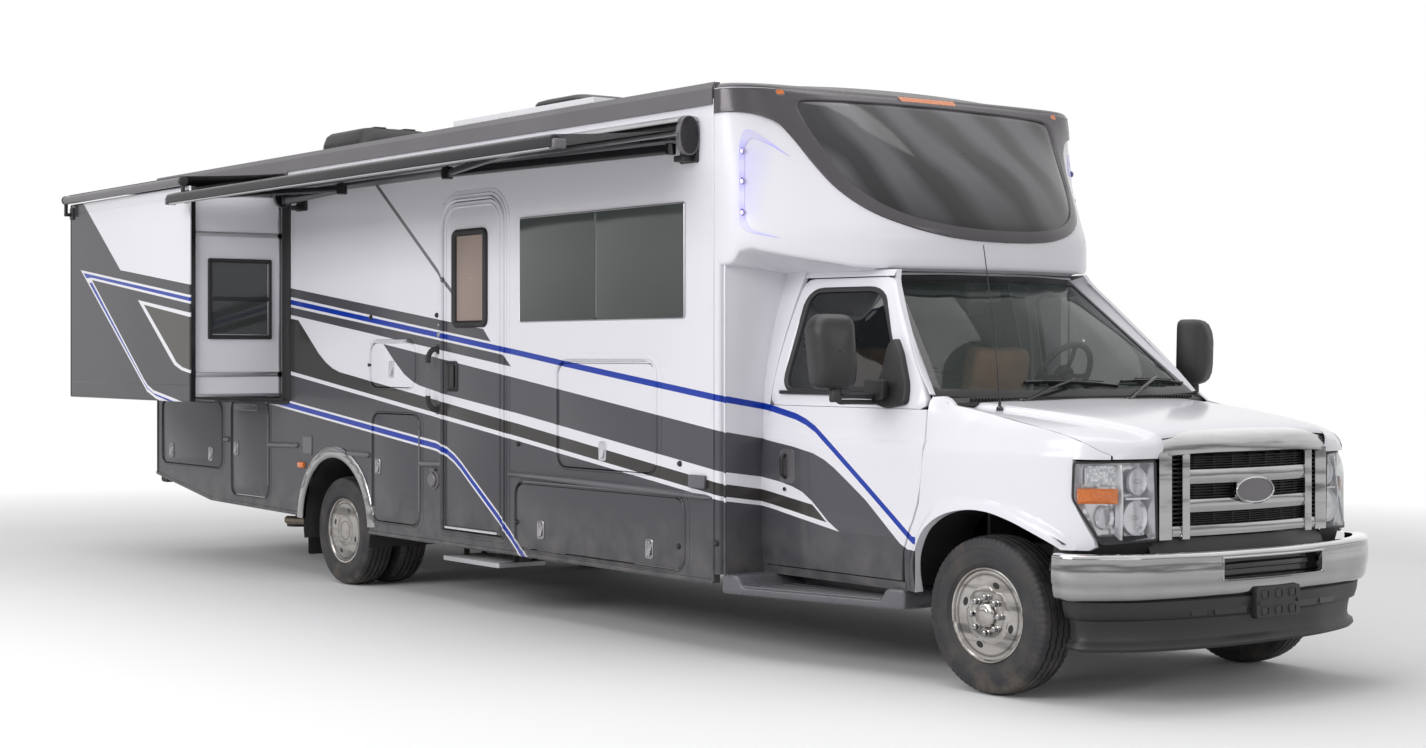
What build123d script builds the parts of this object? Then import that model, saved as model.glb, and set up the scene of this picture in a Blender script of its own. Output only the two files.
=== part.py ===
from build123d import *
import os

# Class C motorhome on a van cutaway chassis.
# Millimetres, +Z up, the front faces -Y and the passenger side is -X.
# Everything is drawn from the front axle's centre on the ground, and moved at the
# end so that the origin is the bottom centre of the whole part.

# ---- driving dimensions: running gear ----
WHEELBASE = 5664
TYRE_RADIUS = 366
TYRE_WIDTH = 215
BEAD_RADIUS = 205
RIM_FLANGE_RADIUS = 221
RIM_THICKNESS = 9
BEAD_HALF = 86
RIM_SEAT_GAP = 0.3
FRONT_TRACK = 1770
REAR_OUTER_TRACK = 2250
DUAL_SPACING = 265
KINGPIN_INSET = 165
KINGPIN_X = FRONT_TRACK / 2 - KINGPIN_INSET
KINGPIN_RADIUS = 18
PIN_CLEARANCE = 0.5
SPINDLE_RADIUS = 30
AXLE_TUBE_RADIUS = 45
HUB_RADIUS = 82
HUB_CLEARANCE = 0.5
STEER_CLEARANCE = 5

# ---- driving dimensions: chassis ----
RAIL_X = 430
RAIL_WIDTH = 76
RAIL_HEIGHT = 190
RAIL_BOTTOM = 470
RAIL_FRONT = -560
RAIL_REAR = 8560
CROSS_WIDTH = 90
CROSS_YS = (-520, 1150, 2700, 4500, 6350, 8300)
LEAF_X = 560
LEAF_WIDTH = 75
LEAF_LENGTH = 1350
ENGINE = (500, 750, 520)
ENGINE_FRONT = -420
ENGINE_BOTTOM = 440
JACK_YS = (655, 7650)
PIPE_X = -680
PIPE_Z = 560
PIPE_RADIUS = 30
PIPE_TIP = (-1000, 6910, 347)

# ---- driving dimensions: house ----
HALF_WIDTH = 1283
WALL = 40
HOUSE_FRONT = 1597
HOUSE_REAR = 8620
ROOF_EDGE = 2943
ROOF_CROWN = 62
ROOF_THICKNESS = 45
FLOOR_BOTTOM = 680
FLOOR_THICKNESS = 80
SKIRT_BOTTOM = 385
SKIRT_LINE = ((6090, 445), (7615, 465))
SKIRT_REAR_BOTTOM = 615
ARCH_RADIUS = 470
ARCH_CENTRE_Z = 400
WHEEL_WELL_TOP = 890
WHEEL_WELL_THICKNESS = 20
PANEL_GAP = 6
HINGE_GAP = 0.5
RAIL_BAND_HEIGHT = 93
RAIL_BAND_DEPTH = 15
RAIL_BAND_LIP = 22

# Doors in the house walls: first and last Y, bottom and top Z.
ENTRY_DOOR = (3583, 4255, 478, 2498)
ENTRY_WINDOW = (3735, 4140, 1720, 2335)
BIG_WINDOW = (1838, 3395, 1757, 2357)
# name: side (-1 passenger, +1 driver), y0, y1, z0, z1, edge that carries the hinge
BAGGAGE_DOORS = {
    "baggage_door_rear": (-1, 7432, 8509, 713, 1202, "top"),
    "baggage_door_tall": (-1, 6670, 7261, 532, 1225, "front"),
    "baggage_door_mid": (-1, 4556, 5145, 476, 1178, "front"),
    "baggage_door_long": (-1, 1846, 3443, 428, 806, "top"),
    "access_door": (-1, 2088, 3008, 924, 1514, "top"),
    "service_door": (-1, 4605, 5171, 1349, 1638, "top"),
    "baggage_door_left": (1, 1846, 3443, 428, 806, "top"),
}
# side, y0, y1, z0, z1
HOUSE_WINDOWS = (
    (-1, *BIG_WINDOW),
    (1, 6900, 7900, 1757, 2357),
)
REAR_WINDOW = (-520, 520, 1757, 2257)
WINDOW_PROUD = 8
WINDOW_DEPTH = 30
FIT_GAP = 0.3

# ---- driving dimensions: slide-outs ----
SLIDE_WALL = 30
SLIDE_FLANGE = 30
SLIDE_FACE = 40
SLIDE_GAP = 8
SLIDE_RUNNER_GAP = 0.5
SLIDE_RIGHT = (6346, 8528, 1240, 2714)
SLIDE_RIGHT_REACH = HALF_WIDTH + 757
SLIDE_RIGHT_DEPTH = 770
SLIDE_LEFT = (1720, 4980, 1010, 2700)
SLIDE_LEFT_REACH = HALF_WIDTH + 47
SLIDE_LEFT_DEPTH = 600
TOPPER_RADIUS = 34
TOPPER_OUT = 45
TOPPER_Z = 2748
TOPPER_BRACKET = 26
TOPPER_FABRIC = 4

# ---- driving dimensions: over-cab cap ----
CAP_SKIN = 30
CAP_BOTTOM = 1995
CAP_NOSE_Y = 790
CAP_NOSE_Z = 2190
CAP_CROWN_Y = 1400
CAP_RETURN_BOTTOM = 430
CAP_GLASS = 8

# ---- driving dimensions: cab ----
CAB_HALF = 1005
CAB_SKIN = 40
CAB_REAR = HOUSE_FRONT
CAB_BOTTOM = 440
CAB_TOP = 1990
NOSE_Y = -690
GRILLE_HALF = 590
GRILLE_BOTTOM = 742
GRILLE_TOP = 1200
HOOD_FRONT_Z = 1222
COWL_Y = 245
COWL_Z = 1338
SHIELD_BASE_Y = 290
SHIELD_BASE_Z = 1365
SHIELD_TOP_Y = 905
SHIELD_TOP_Z = 1965
DOOR_GAP = 6
GLASS_INSET = 14
GLASS_THICKNESS = 6
HOOD_SKIN = 25
CAB_FLOOR = 685
CAB_FLOOR_THICKNESS = 25
SILL_INNER = 700
FLOOR_FRONT = 500
BULKHEAD_Y = 335
BULKHEAD_THICKNESS = 25
BACK_HALF = 780
BACK_TOP = 1930
FRONT_ARCH_RADIUS = 470
BUMPER_BOTTOM = 482
BUMPER_TOP = 690
BUMPER_THICKNESS = 55
VALANCE_BOTTOM = 250
VALANCE_THICKNESS = 30
MIRROR_X = CAB_HALF + 320
MIRROR_Y = 660
MIRROR_SIZE = (270, 90, 370)
MIRROR_Z = 1575

# ---- driving dimensions: roof gear, awning, underside ----
AWNING_Y = (1710, 6335)
AWNING_CASE = (137, 2590, 2800)
AWNING_RAIL_X = HALF_WIDTH + 907
AWNING_RAIL_Z = 2620
AWNING_RAIL_RADIUS = 34
AWNING_ARM = 36
AWNING_ELBOW = (HALF_WIDTH + 517, 2625)
AWNING_ELBOW_INSET = 2000
REAR_BUMPER = (HALF_WIDTH - 83, HOUSE_REAR + 2, HOUSE_REAR + 120, 540, 660)
HITCH_OUTER = 64
HITCH_BORE = 51
HITCH_Z = 470
HITCH_PIN_RADIUS = 8.2
HITCH_PIN_SETBACK = 62


def block(x0, x1, y0, y1, z0, z1):
    """Box between two corners."""
    size = Box(abs(x1 - x0), abs(y1 - y0), abs(z1 - z0))
    return Pos((x0 + x1) / 2, (y0 + y1) / 2, (z0 + z1) / 2) * size


def polygon(points):
    return make_face(Polyline(*points, close=True))


def side_prism(outline, x0, x1):
    """Extrude a YZ outline along X, from x0 to x1."""
    face = Plane.YZ.offset(x0) * outline
    return extrude(face, amount=x1 - x0, dir=(1, 0, 0))


def plan_prism(outline, z0, z1):
    face = Plane.XY.offset(z0) * outline
    return extrude(face, amount=z1 - z0, dir=(0, 0, 1))


def front_prism(outline, y0, y1):
    """Extrude an XZ outline along Y, from y0 to y1."""
    face = Plane.XZ.offset(-y0) * outline
    return extrude(face, amount=y1 - y0, dir=(0, 1, 0))


def rod_x(x0, x1, y, z, radius):
    return Pos((x0 + x1) / 2, y, z) * Rot(0, 90, 0) * Cylinder(radius, abs(x1 - x0))


def rod_y(x, y0, y1, z, radius):
    return Pos(x, (y0 + y1) / 2, z) * Rot(90, 0, 0) * Cylinder(radius, abs(y1 - y0))


def bar(start, end, size):
    """Square bar between two points."""
    line = Line(start, end)
    plane = Plane(origin=start, z_dir=(line @ 1) - (line @ 0))
    return extrude(plane * Rectangle(size, size), amount=line.length)


def both(points):
    """Half outline at +X closed by its mirror image."""
    return list(points) + [(-x, y) for x, y in reversed(points)]


def mirrored(shape):
    return mirror(shape, about=Plane.YZ)


parts = {}


# ---------------------------------------------------------------- chassis
def chassis_frame():
    frame = None
    for side in (-1, 1):
        x = side * RAIL_X
        rail = block(x - RAIL_WIDTH / 2, x + RAIL_WIDTH / 2, RAIL_FRONT, RAIL_REAR,
                     RAIL_BOTTOM, RAIL_BOTTOM + RAIL_HEIGHT)
        frame = rail if frame is None else frame + rail
    for y in CROSS_YS:
        top = RAIL_BOTTOM + RAIL_HEIGHT
        low = RAIL_BOTTOM if y < 0 else top - RAIL_HEIGHT / 2
        frame += block(-RAIL_X, RAIL_X, y, y + CROSS_WIDTH, low, top)
    return frame


def engine_block():
    width, length, height = ENGINE
    body = block(-width / 2, width / 2, ENGINE_FRONT, ENGINE_FRONT + length,
                 ENGINE_BOTTOM + 30, ENGINE_BOTTOM + height)
    gearbox = block(-150, 150, ENGINE_FRONT + length, ENGINE_FRONT + length + 760,
                    ENGINE_BOTTOM + 30, ENGINE_BOTTOM + 240)
    for side in (-1, 1):
        body += block(side * width / 2, side * (RAIL_X - RAIL_WIDTH / 2),
                      -60, 60, RAIL_BOTTOM + 60, RAIL_BOTTOM + 120)
    return body + gearbox


def front_axle():
    axle = block(-KINGPIN_X + 20, KINGPIN_X - 20, -40, 40, TYRE_RADIUS - 36, TYRE_RADIUS + 36)
    for side in (-1, 1):
        boss = Pos(side * KINGPIN_X, 0, TYRE_RADIUS) * Cylinder(38, 90)
        axle += boss
        perch = Pos(side * RAIL_X, 0, (TYRE_RADIUS + RAIL_BOTTOM) / 2) * Cylinder(
            45, RAIL_BOTTOM - TYRE_RADIUS)
        axle += perch
    for side in (-1, 1):
        axle -= Pos(side * KINGPIN_X, 0, TYRE_RADIUS) * Cylinder(KINGPIN_RADIUS + PIN_CLEARANCE, 100)
    return axle


def knuckle(side):
    """Steering knuckle: two arms round the axle's boss, a kingpin and a spindle."""
    x = KINGPIN_X
    half_arm = 45 + STEER_CLEARANCE + 25
    body = block(x + 45, x + 80, -40, 40, TYRE_RADIUS - half_arm, TYRE_RADIUS + half_arm)
    for z in (-1, 1):
        inner = TYRE_RADIUS + z * (45 + STEER_CLEARANCE)
        body += block(x - 30, x + 80, -38, 38, inner, TYRE_RADIUS + z * half_arm)
    body += Pos(x, 0, TYRE_RADIUS) * Cylinder(KINGPIN_RADIUS, 2 * half_arm - 10)
    body += rod_x(x + 75, x + KINGPIN_INSET + 45, 0, TYRE_RADIUS, SPINDLE_RADIUS)
    return body if side > 0 else mirrored(body)


def rear_axle():
    """Tube with the final drive, the leaf packs clamped on it and the propeller shaft."""
    end = REAR_OUTER_TRACK / 2 - 60
    axle = rod_x(-end, end, WHEELBASE, TYRE_RADIUS, AXLE_TUBE_RADIUS)
    axle += rod_x(-95, 95, WHEELBASE, TYRE_RADIUS, 160)
    for side in (-1, 1):
        x = side * LEAF_X
        axle += block(x - LEAF_WIDTH / 2, x + LEAF_WIDTH / 2, WHEELBASE - LEAF_LENGTH / 2,
                      WHEELBASE + LEAF_LENGTH / 2, TYRE_RADIUS + 30, TYRE_RADIUS + 90)
        for end_y in (-1, 1):
            y = WHEELBASE + end_y * (LEAF_LENGTH / 2 - 40)
            axle += block(side * (RAIL_X + RAIL_WIDTH / 2), x + side * LEAF_WIDTH / 2, y - 30, y + 30,
                          TYRE_RADIUS + 60, RAIL_BOTTOM + 120)
    axle += rod_y(0, ENGINE_FRONT + ENGINE[1] + 760, WHEELBASE, TYRE_RADIUS + 130, 42)
    return axle


def tyre(x):
    """Tyre revolved about the axle line: tread, shoulders and bulged side walls."""
    half = TYRE_WIDTH / 2
    crown = TYRE_RADIUS - 5
    bead = BEAD_HALF
    lip = RIM_FLANGE_RADIUS + 3
    outline = Polyline((bead, lip), (bead, BEAD_RADIUS), (-bead, BEAD_RADIUS), (-bead, lip))
    outline += ThreePointArc((-bead, lip), (-half, 300), (-half + 18, TYRE_RADIUS - 20))
    outline += ThreePointArc((-half + 18, TYRE_RADIUS - 20), (-half + 24, crown - 4), (-half + 36, crown))
    outline += ThreePointArc((-half + 36, crown), (0, TYRE_RADIUS), (half - 36, crown))
    outline += ThreePointArc((half - 36, crown), (half - 24, crown - 4), (half - 18, TYRE_RADIUS - 20))
    outline += ThreePointArc((half - 18, TYRE_RADIUS - 20), (half, 300), (bead, lip))
    ring = revolve(Plane.XY * make_face(outline), axis=Axis.X)
    return Pos(x, 0, TYRE_RADIUS) * ring


def rim_outline(disc, out):
    """Barrel with two flanges, joined to a dished disc given as (x, radius) pairs."""
    seat = BEAD_RADIUS - RIM_SEAT_GAP
    half = BEAD_HALF + RIM_SEAT_GAP
    barrel = [(-half - 10, RIM_FLANGE_RADIUS), (-half, RIM_FLANGE_RADIUS), (-half, seat), (half, seat),
              (half, RIM_FLANGE_RADIUS), (half + 10, RIM_FLANGE_RADIUS), (half + 10, seat - RIM_THICKNESS),
              (-half - 10, seat - RIM_THICKNESS)]
    ring = revolve(Plane.XY * polygon(barrel), axis=Axis.X)
    plate = [(out * x, r) for x, r in disc]
    back = [(out * (x - 12), r) for x, r in reversed(disc)]
    return ring + revolve(Plane.XY * polygon(plate + back), axis=Axis.X)


def front_rim(side):
    disc = [(88, 60), (80, 150), (60, 176), (30, BEAD_RADIUS - 5)]
    rim = rim_outline(disc, 1)
    rim += rod_x(-45, 92, 0, 0, HUB_RADIUS)
    rim -= rod_x(-46, 60, 0, 0, SPINDLE_RADIUS + HUB_CLEARANCE)
    rim = Pos(FRONT_TRACK / 2, 0, TYRE_RADIUS) * rim
    return rim if side > 0 else mirrored(rim)


def rear_rims(side):
    """Inner and outer rims of a twin wheel, bolted face to face on one hub."""
    outer_x = REAR_OUTER_TRACK / 2
    inner_x = outer_x - DUAL_SPACING
    meet = DUAL_SPACING / 2
    disc = [(-meet + 12, 60), (-meet + 12, 150), (-70, 178), (-40, BEAD_RADIUS - 5)]
    outer = Pos(outer_x, 0, TYRE_RADIUS) * rim_outline(disc, 1)
    inner = Pos(inner_x, 0, TYRE_RADIUS) * rim_outline(disc, -1)
    hub = rod_x(inner_x - 40, outer_x + 5, 0, TYRE_RADIUS, HUB_RADIUS)
    bore = rod_x(inner_x - 41, outer_x - 45, 0, TYRE_RADIUS, AXLE_TUBE_RADIUS + HUB_CLEARANCE)
    rims = Pos(0, WHEELBASE, 0) * (outer + inner + hub - bore)
    return rims if side > 0 else mirrored(rims)


def levelling_jacks():
    """Four vertical jacks hung beside the frame rails, each with a round foot."""
    jacks = []
    for y in JACK_YS:
        for side in (-1, 1):
            x = side * (RAIL_X + RAIL_WIDTH / 2 + 60)
            leg = Pos(x, y, 500) * Cylinder(38, 340)
            leg += Pos(x, y, 300) * Cylinder(24, 130)
            leg += Pos(x, y, 237) * Cylinder(90, 16)
            leg += block(side * (RAIL_X + RAIL_WIDTH / 2), x, y - 40, y + 40, 520, 600)
            jacks.append(leg)
    return jacks


def tanks():
    """Fuel tank and waste tank slung between the rails."""
    inner = RAIL_X - RAIL_WIDTH / 2
    fuel = block(-inner, inner, 6600, 7700, 400, RAIL_BOTTOM + 90)
    waste = block(-inner, inner, 2950, 4350, 560, 675)
    return [fuel, waste]


def exhaust():
    """Silencer, and a tail pipe that runs over the rear axle to the skirt behind the wheels."""
    tip_x, tip_y, tip_z = PIPE_TIP
    muffler = rod_y(PIPE_X, 2600, 3400, PIPE_Z, 90)
    pipe = rod_y(PIPE_X, 1700, 2650, PIPE_Z, PIPE_RADIUS)
    hanger = block(PIPE_X - 10, -RAIL_X - RAIL_WIDTH / 2, 2980, 3020, PIPE_Z + 40, PIPE_Z + 80)
    route = FilletPolyline((PIPE_X, 3350, PIPE_Z), (PIPE_X, 6230, PIPE_Z), (tip_x, 6480, tip_z + 20),
                           PIPE_TIP, radius=4 * PIPE_RADIUS)
    start = Plane(origin=(PIPE_X, 3350, PIPE_Z), z_dir=(0, 1, 0))
    tail = sweep(start * Circle(PIPE_RADIUS), path=route)
    rear_hanger = block(PIPE_X - 10, -RAIL_X - RAIL_WIDTH / 2, 4680, 4720, PIPE_Z, PIPE_Z + 80)
    return muffler + pipe + hanger + tail + rear_hanger


# ---------------------------------------------------------------- house
def house_floor():
    floor = block(-HALF_WIDTH + WALL, HALF_WIDTH - WALL, HOUSE_FRONT, HOUSE_REAR - WALL,
                  FLOOR_BOTTOM, FLOOR_BOTTOM + FLOOR_THICKNESS)
    y0 = WHEELBASE - ARCH_RADIUS - 30
    y1 = WHEELBASE + ARCH_RADIUS + 30
    for side in (-1, 1):
        inner = side * (LEAF_X + 60)
        outer = side * (HALF_WIDTH - WALL)
        t = WHEEL_WELL_THICKNESS
        floor += block(inner - side * t, outer, y0 - t, y1 + t, FLOOR_BOTTOM, WHEEL_WELL_TOP)
    for side in (-1, 1):
        inner = side * (LEAF_X + 60)
        outer = side * (HALF_WIDTH - WALL)
        floor -= block(inner, outer, y0, y1, FLOOR_BOTTOM - 1, WHEEL_WELL_TOP - WHEEL_WELL_THICKNESS)
    for side in (-1, 1):
        rail = side * RAIL_X
        floor += block(rail - 20, rail + 20, HOUSE_FRONT + 20, HOUSE_REAR - WALL - 80,
                       RAIL_BOTTOM + RAIL_HEIGHT, FLOOR_BOTTOM)
    return floor


def opening(side, y0, y1, z0, z1):
    """Cutter through one side wall."""
    return block(side * (HALF_WIDTH - 3 * WALL), side * (HALF_WIDTH + WALL), y0, y1, z0, z1)


def door_hole(side, y0, y1, z0, z1, hinge):
    """Cutter for a door's hole, with a running gap all round but for the hinged edge."""
    front = HINGE_GAP if hinge == "front" else PANEL_GAP
    top = HINGE_GAP if hinge == "top" else PANEL_GAP
    return opening(side, y0 - front, y1 + PANEL_GAP, z0 - PANEL_GAP, z1 + top)


def slide_box(spec):
    """Y and Z limits of the box behind a slide-out's face."""
    y0, y1, z0, z1 = spec
    return y0 + SLIDE_FLANGE, y1 - SLIDE_FLANGE, z0 + SLIDE_FLANGE, z1 - SLIDE_FLANGE


def slide_hole(side, spec):
    """Cutter for a slide-out's hole: the box rests on runners, with a gap at sides and top."""
    y0, y1, z0, z1 = slide_box(spec)
    return opening(side, y0 - SLIDE_GAP, y1 + SLIDE_GAP, z0 - SLIDE_RUNNER_GAP, z1 + SLIDE_GAP)


def side_wall(side):
    rear = HOUSE_REAR - WALL
    outline = polygon([(HOUSE_FRONT, SKIRT_BOTTOM), (WHEELBASE - ARCH_RADIUS, SKIRT_BOTTOM), *SKIRT_LINE,
                       (rear, SKIRT_REAR_BOTTOM), (rear, ROOF_EDGE), (HOUSE_FRONT, ROOF_EDGE)])
    inner = side * (HALF_WIDTH - WALL)
    outer = side * HALF_WIDTH
    wall = side_prism(outline, min(inner, outer), max(inner, outer))
    wall -= rod_x(inner - 60, inner + 60, WHEELBASE, ARCH_CENTRE_Z, ARCH_RADIUS)
    for window_side, y0, y1, z0, z1 in HOUSE_WINDOWS:
        if window_side == side:
            wall -= opening(side, y0, y1, z0, z1)
    for door in BAGGAGE_DOORS.values():
        if door[0] == side:
            wall -= door_hole(*door)
    wall -= slide_hole(side, SLIDE_RIGHT if side < 0 else SLIDE_LEFT)
    if side < 0:
        wall -= door_hole(side, *ENTRY_DOOR, "front")
    return wall


def rear_wall():
    wall = block(-HALF_WIDTH, HALF_WIDTH, HOUSE_REAR - WALL, HOUSE_REAR, SKIRT_REAR_BOTTOM, ROOF_EDGE)
    x0, x1, z0, z1 = REAR_WINDOW
    return wall - block(x0, x1, HOUSE_REAR - 100, HOUSE_REAR + 100, z0, z1)


def roof():
    half = HALF_WIDTH - WALL
    outline = Polyline((half, ROOF_EDGE), (half, ROOF_EDGE - ROOF_THICKNESS),
                       (-half, ROOF_EDGE - ROOF_THICKNESS), (-half, ROOF_EDGE))
    outline += ThreePointArc((-half, ROOF_EDGE), (0, ROOF_EDGE + ROOF_CROWN), (half, ROOF_EDGE))
    return front_prism(make_face(outline), HOUSE_FRONT, HOUSE_REAR - WALL)


def roof_rails():
    """Dark gutter rail along the top of each side wall."""
    x = HALF_WIDTH
    section = [(x, ROOF_EDGE - RAIL_BAND_HEIGHT), (x + RAIL_BAND_DEPTH, ROOF_EDGE - RAIL_BAND_HEIGHT),
               (x + RAIL_BAND_DEPTH, ROOF_EDGE - 10), (x, ROOF_EDGE + RAIL_BAND_LIP),
               (x - WALL, ROOF_EDGE + RAIL_BAND_LIP), (x - WALL, ROOF_EDGE), (x, ROOF_EDGE)]
    rail = front_prism(polygon(section), HOUSE_FRONT, HOUSE_REAR)
    return [rail, mirrored(rail)]


def house_windows():
    """Framed panes filling the openings, standing a little proud of the wall."""
    panes = []
    for side, y0, y1, z0, z1 in HOUSE_WINDOWS:
        outer = side * (HALF_WIDTH + WINDOW_PROUD)
        inner = side * (HALF_WIDTH - WINDOW_DEPTH)
        g = FIT_GAP
        panes.append(block(inner, outer, y0 + g, y1 - g, z0 + g, z1 - g))
    x0, x1, z0, z1 = REAR_WINDOW
    g = FIT_GAP
    panes.append(block(x0 + g, x1 - g, HOUSE_REAR - WINDOW_DEPTH, HOUSE_REAR + WINDOW_PROUD,
                       z0 + g, z1 - g))
    return panes


def baggage_door(name):
    side, y0, y1, z0, z1, _ = BAGGAGE_DOORS[name]
    return block(side * (HALF_WIDTH - WALL), side * HALF_WIDTH, y0, y1, z0, z1)


def entry_door():
    y0, y1, z0, z1 = ENTRY_DOOR
    door = block(-HALF_WIDTH, -HALF_WIDTH + WALL, y0, y1, z0, z1)
    edges = door.edges().filter_by(Axis.X).sort_by(Axis.Z)[-2:]
    door = fillet(edges, 70)
    w0, w1, v0, v1 = ENTRY_WINDOW
    recess = block(-HALF_WIDTH - 1, -HALF_WIDTH + 6, w0, w1, v0, v1)
    return door - recess


def entry_step():
    """Folding step stowed under the entry door."""
    y0, y1 = ENTRY_DOOR[0], ENTRY_DOOR[1]
    outer = -HALF_WIDTH - 25
    step = block(outer, -HALF_WIDTH + 330, y0 + 20, y1 - 20, 290, 320)
    for y in (y0 + 20, y1 - 45):
        step += block(-HALF_WIDTH + 60, -HALF_WIDTH + 330, y, y + 25, 290, FLOOR_BOTTOM)
    return step


def slide_out(side, spec, reach, depth):
    """Five-sided box with a face that laps over its hole in the wall."""
    y0, y1, z0, z1 = spec
    face = block(side * reach, side * (reach - SLIDE_FACE), y0, y1, z0, z1)
    b0, b1, c0, c1 = slide_box(spec)
    back = side * (reach - depth)
    front = side * (reach - SLIDE_FACE)
    box = block(front, back, b0, b1, c0, c1)
    t = SLIDE_WALL
    box -= block(front, back - side * 1, b0 + t, b1 - t, c0 + t, c1 - t)
    return face + box


def topper(side, spec, reach):
    """Roller on end brackets along the top outer edge of a slide-out."""
    y0, y1 = spec[0], spec[1]
    z1 = spec[3]
    x = side * (reach + TOPPER_OUT)
    tube = rod_y(x, y0, y1, TOPPER_Z, TOPPER_RADIUS)
    for y in (y0, y1 - TOPPER_BRACKET):
        tube += block(side * reach, x + side * 12, y, y + TOPPER_BRACKET, z1 - 90, TOPPER_Z)
    return tube


def topper_fabric():
    """Cloth drawn out over the passenger side slide-out, from the gutter rail to the roller."""
    z = TOPPER_Z + TOPPER_RADIUS + FIT_GAP
    y0, y1 = SLIDE_RIGHT[0], SLIDE_RIGHT[1]
    return block(-HALF_WIDTH - FIT_GAP, -SLIDE_RIGHT_REACH - TOPPER_OUT, y0 + 40, y1 - 40,
                 z, z + TOPPER_FABRIC)


# ---------------------------------------------------------------- over-cab cap
def cap_plan(inset):
    """Half outline of the cap seen from above, rounded round the nose."""
    w = HALF_WIDTH - inset
    nose = CAP_NOSE_Y + inset
    shoulder = (w - 133, 1290 + inset * 0.4)
    cheek = (w - 523 + inset * 0.5, 960 + inset)
    rear = HOUSE_FRONT + (1 if inset else 0)
    outline = Polyline((w, rear), (w, 1560))
    outline += ThreePointArc((w, 1560), (w - 36, 1420), shoulder)
    outline += Line(shoulder, cheek)
    outline += ThreePointArc(cheek, (0, nose), (-cheek[0], cheek[1]))
    outline += Line((-cheek[0], cheek[1]), (-shoulder[0], shoulder[1]))
    outline += ThreePointArc((-shoulder[0], shoulder[1]), (-w + 36, 1420), (-w, 1560))
    outline += Polyline((-w, 1560), (-w, rear), (w, rear))
    return make_face(outline)


def cap_side(inset):
    """Outline of the cap seen from the side: flat sole, short nose and a sloped front."""
    rear = HOUSE_FRONT + (1 if inset else 0)
    return polygon([(rear, CAP_BOTTOM + inset), (CAP_NOSE_Y, CAP_BOTTOM + inset),
                    (CAP_NOSE_Y, CAP_NOSE_Z), (CAP_CROWN_Y + inset, ROOF_EDGE + 22 - inset),
                    (rear, ROOF_EDGE + 40 - inset)])


def cap_body(inset):
    return plan_prism(cap_plan(inset), CAP_BOTTOM - 10, ROOF_EDGE + 100) & side_prism(
        cap_side(inset), -HALF_WIDTH - 10, HALF_WIDTH + 10)


def cap_window_cutter(grow):
    """Prism through the sloped front, wide at the top and rounded at the bottom."""
    top, low = ROOF_EDGE - 70 + grow, CAP_NOSE_Z + 20 - grow
    wide = HALF_WIDTH - 253 + grow
    narrow = wide - 60
    outline = Polyline((-wide, 2560), (-narrow, top), (narrow, top), (wide, 2560))
    outline += ThreePointArc((wide, 2560), (0, low - 60), (-wide, 2560))
    return front_prism(make_face(outline), CAP_NOSE_Y - 50, HOUSE_FRONT - CAP_SKIN - 60)


def front_cap():
    """Moulded cap over the cab, with the panels that close the walls down to the sills."""
    shell = cap_body(0) - cap_body(CAP_SKIN) - cap_window_cutter(0)
    for side in (-1, 1):
        shell += block(side * (CAB_HALF + 2), side * HALF_WIDTH, HOUSE_FRONT - WALL, HOUSE_FRONT,
                       CAP_RETURN_BOTTOM, CAP_BOTTOM + CAP_SKIN)
    return shell


def cap_window():
    inset = 6
    return (cap_body(inset) - cap_body(inset + CAP_GLASS)) & cap_window_cutter(-FIT_GAP)


# ---------------------------------------------------------------- cab
def cab_body(inset, side_inset=None):
    """Van body as three outlines, seen from the side, above and in front, crossed.

    side_inset, where given, draws in the flanks alone and leaves nose and roof.
    """
    rear = CAB_REAR
    side_points = [(rear, CAB_BOTTOM), (-560, CAB_BOTTOM), (-655, 700), (-640, GRILLE_TOP),
                   (-600, HOOD_FRONT_Z), (COWL_Y, COWL_Z), (SHIELD_BASE_Y, SHIELD_BASE_Z),
                   (SHIELD_TOP_Y, SHIELD_TOP_Z), (1150, CAB_TOP), (rear, CAB_TOP)]
    plan_points = both([(CAB_HALF, rear + 5), (CAB_HALF, -80), (945, -480), (620, -640), (300, -690)])
    front_points = both([(CAB_HALF - 15, CAB_BOTTOM - 5), (CAB_HALF, 700), (CAB_HALF, 1150),
                         (990, 1300), (820, CAB_TOP + 5)])
    insets = (inset, inset, inset) if side_inset is None else (0, side_inset, side_inset)
    outlines = [polygon(p) for p in (side_points, plan_points, front_points)]
    side_face, plan_face, front_face = [
        offset(o, amount=-by, kind=Kind.INTERSECTION) if by else o for o, by in zip(outlines, insets)]
    body = side_prism(side_face, -CAB_HALF - 20, CAB_HALF + 20)
    body &= plan_prism(plan_face, CAB_BOTTOM - 50, CAB_TOP + 50)
    body &= front_prism(front_face, -900, CAB_REAR + 50)
    return body


CAB_DOOR = [(1530, 478), (1530, 1150), (1385, 1935), (720, 1935), (392, 1400), (380, 900), (500, 640),
            (525, 478)]
CAB_DOOR_WINDOW = [(1405, 1372), (1315, 1880), (745, 1880), (505, 1400)]
HOOD_PLAN = [(860, 225), (905, -120), (850, -480), (590, -700)]
HEADLAMP = [(612, 722), (930, 715), (935, 1085), (612, 1092)]
SHIELD = [(865, 1385), (695, 1945)]


def door_cutter(points, side, grow):
    outline = polygon(points)
    if grow:
        outline = offset(outline, amount=grow, kind=Kind.INTERSECTION)
    x0, x1 = sorted((side * 700, side * (CAB_HALF + 60)))
    return side_prism(outline, x0, x1)


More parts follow.
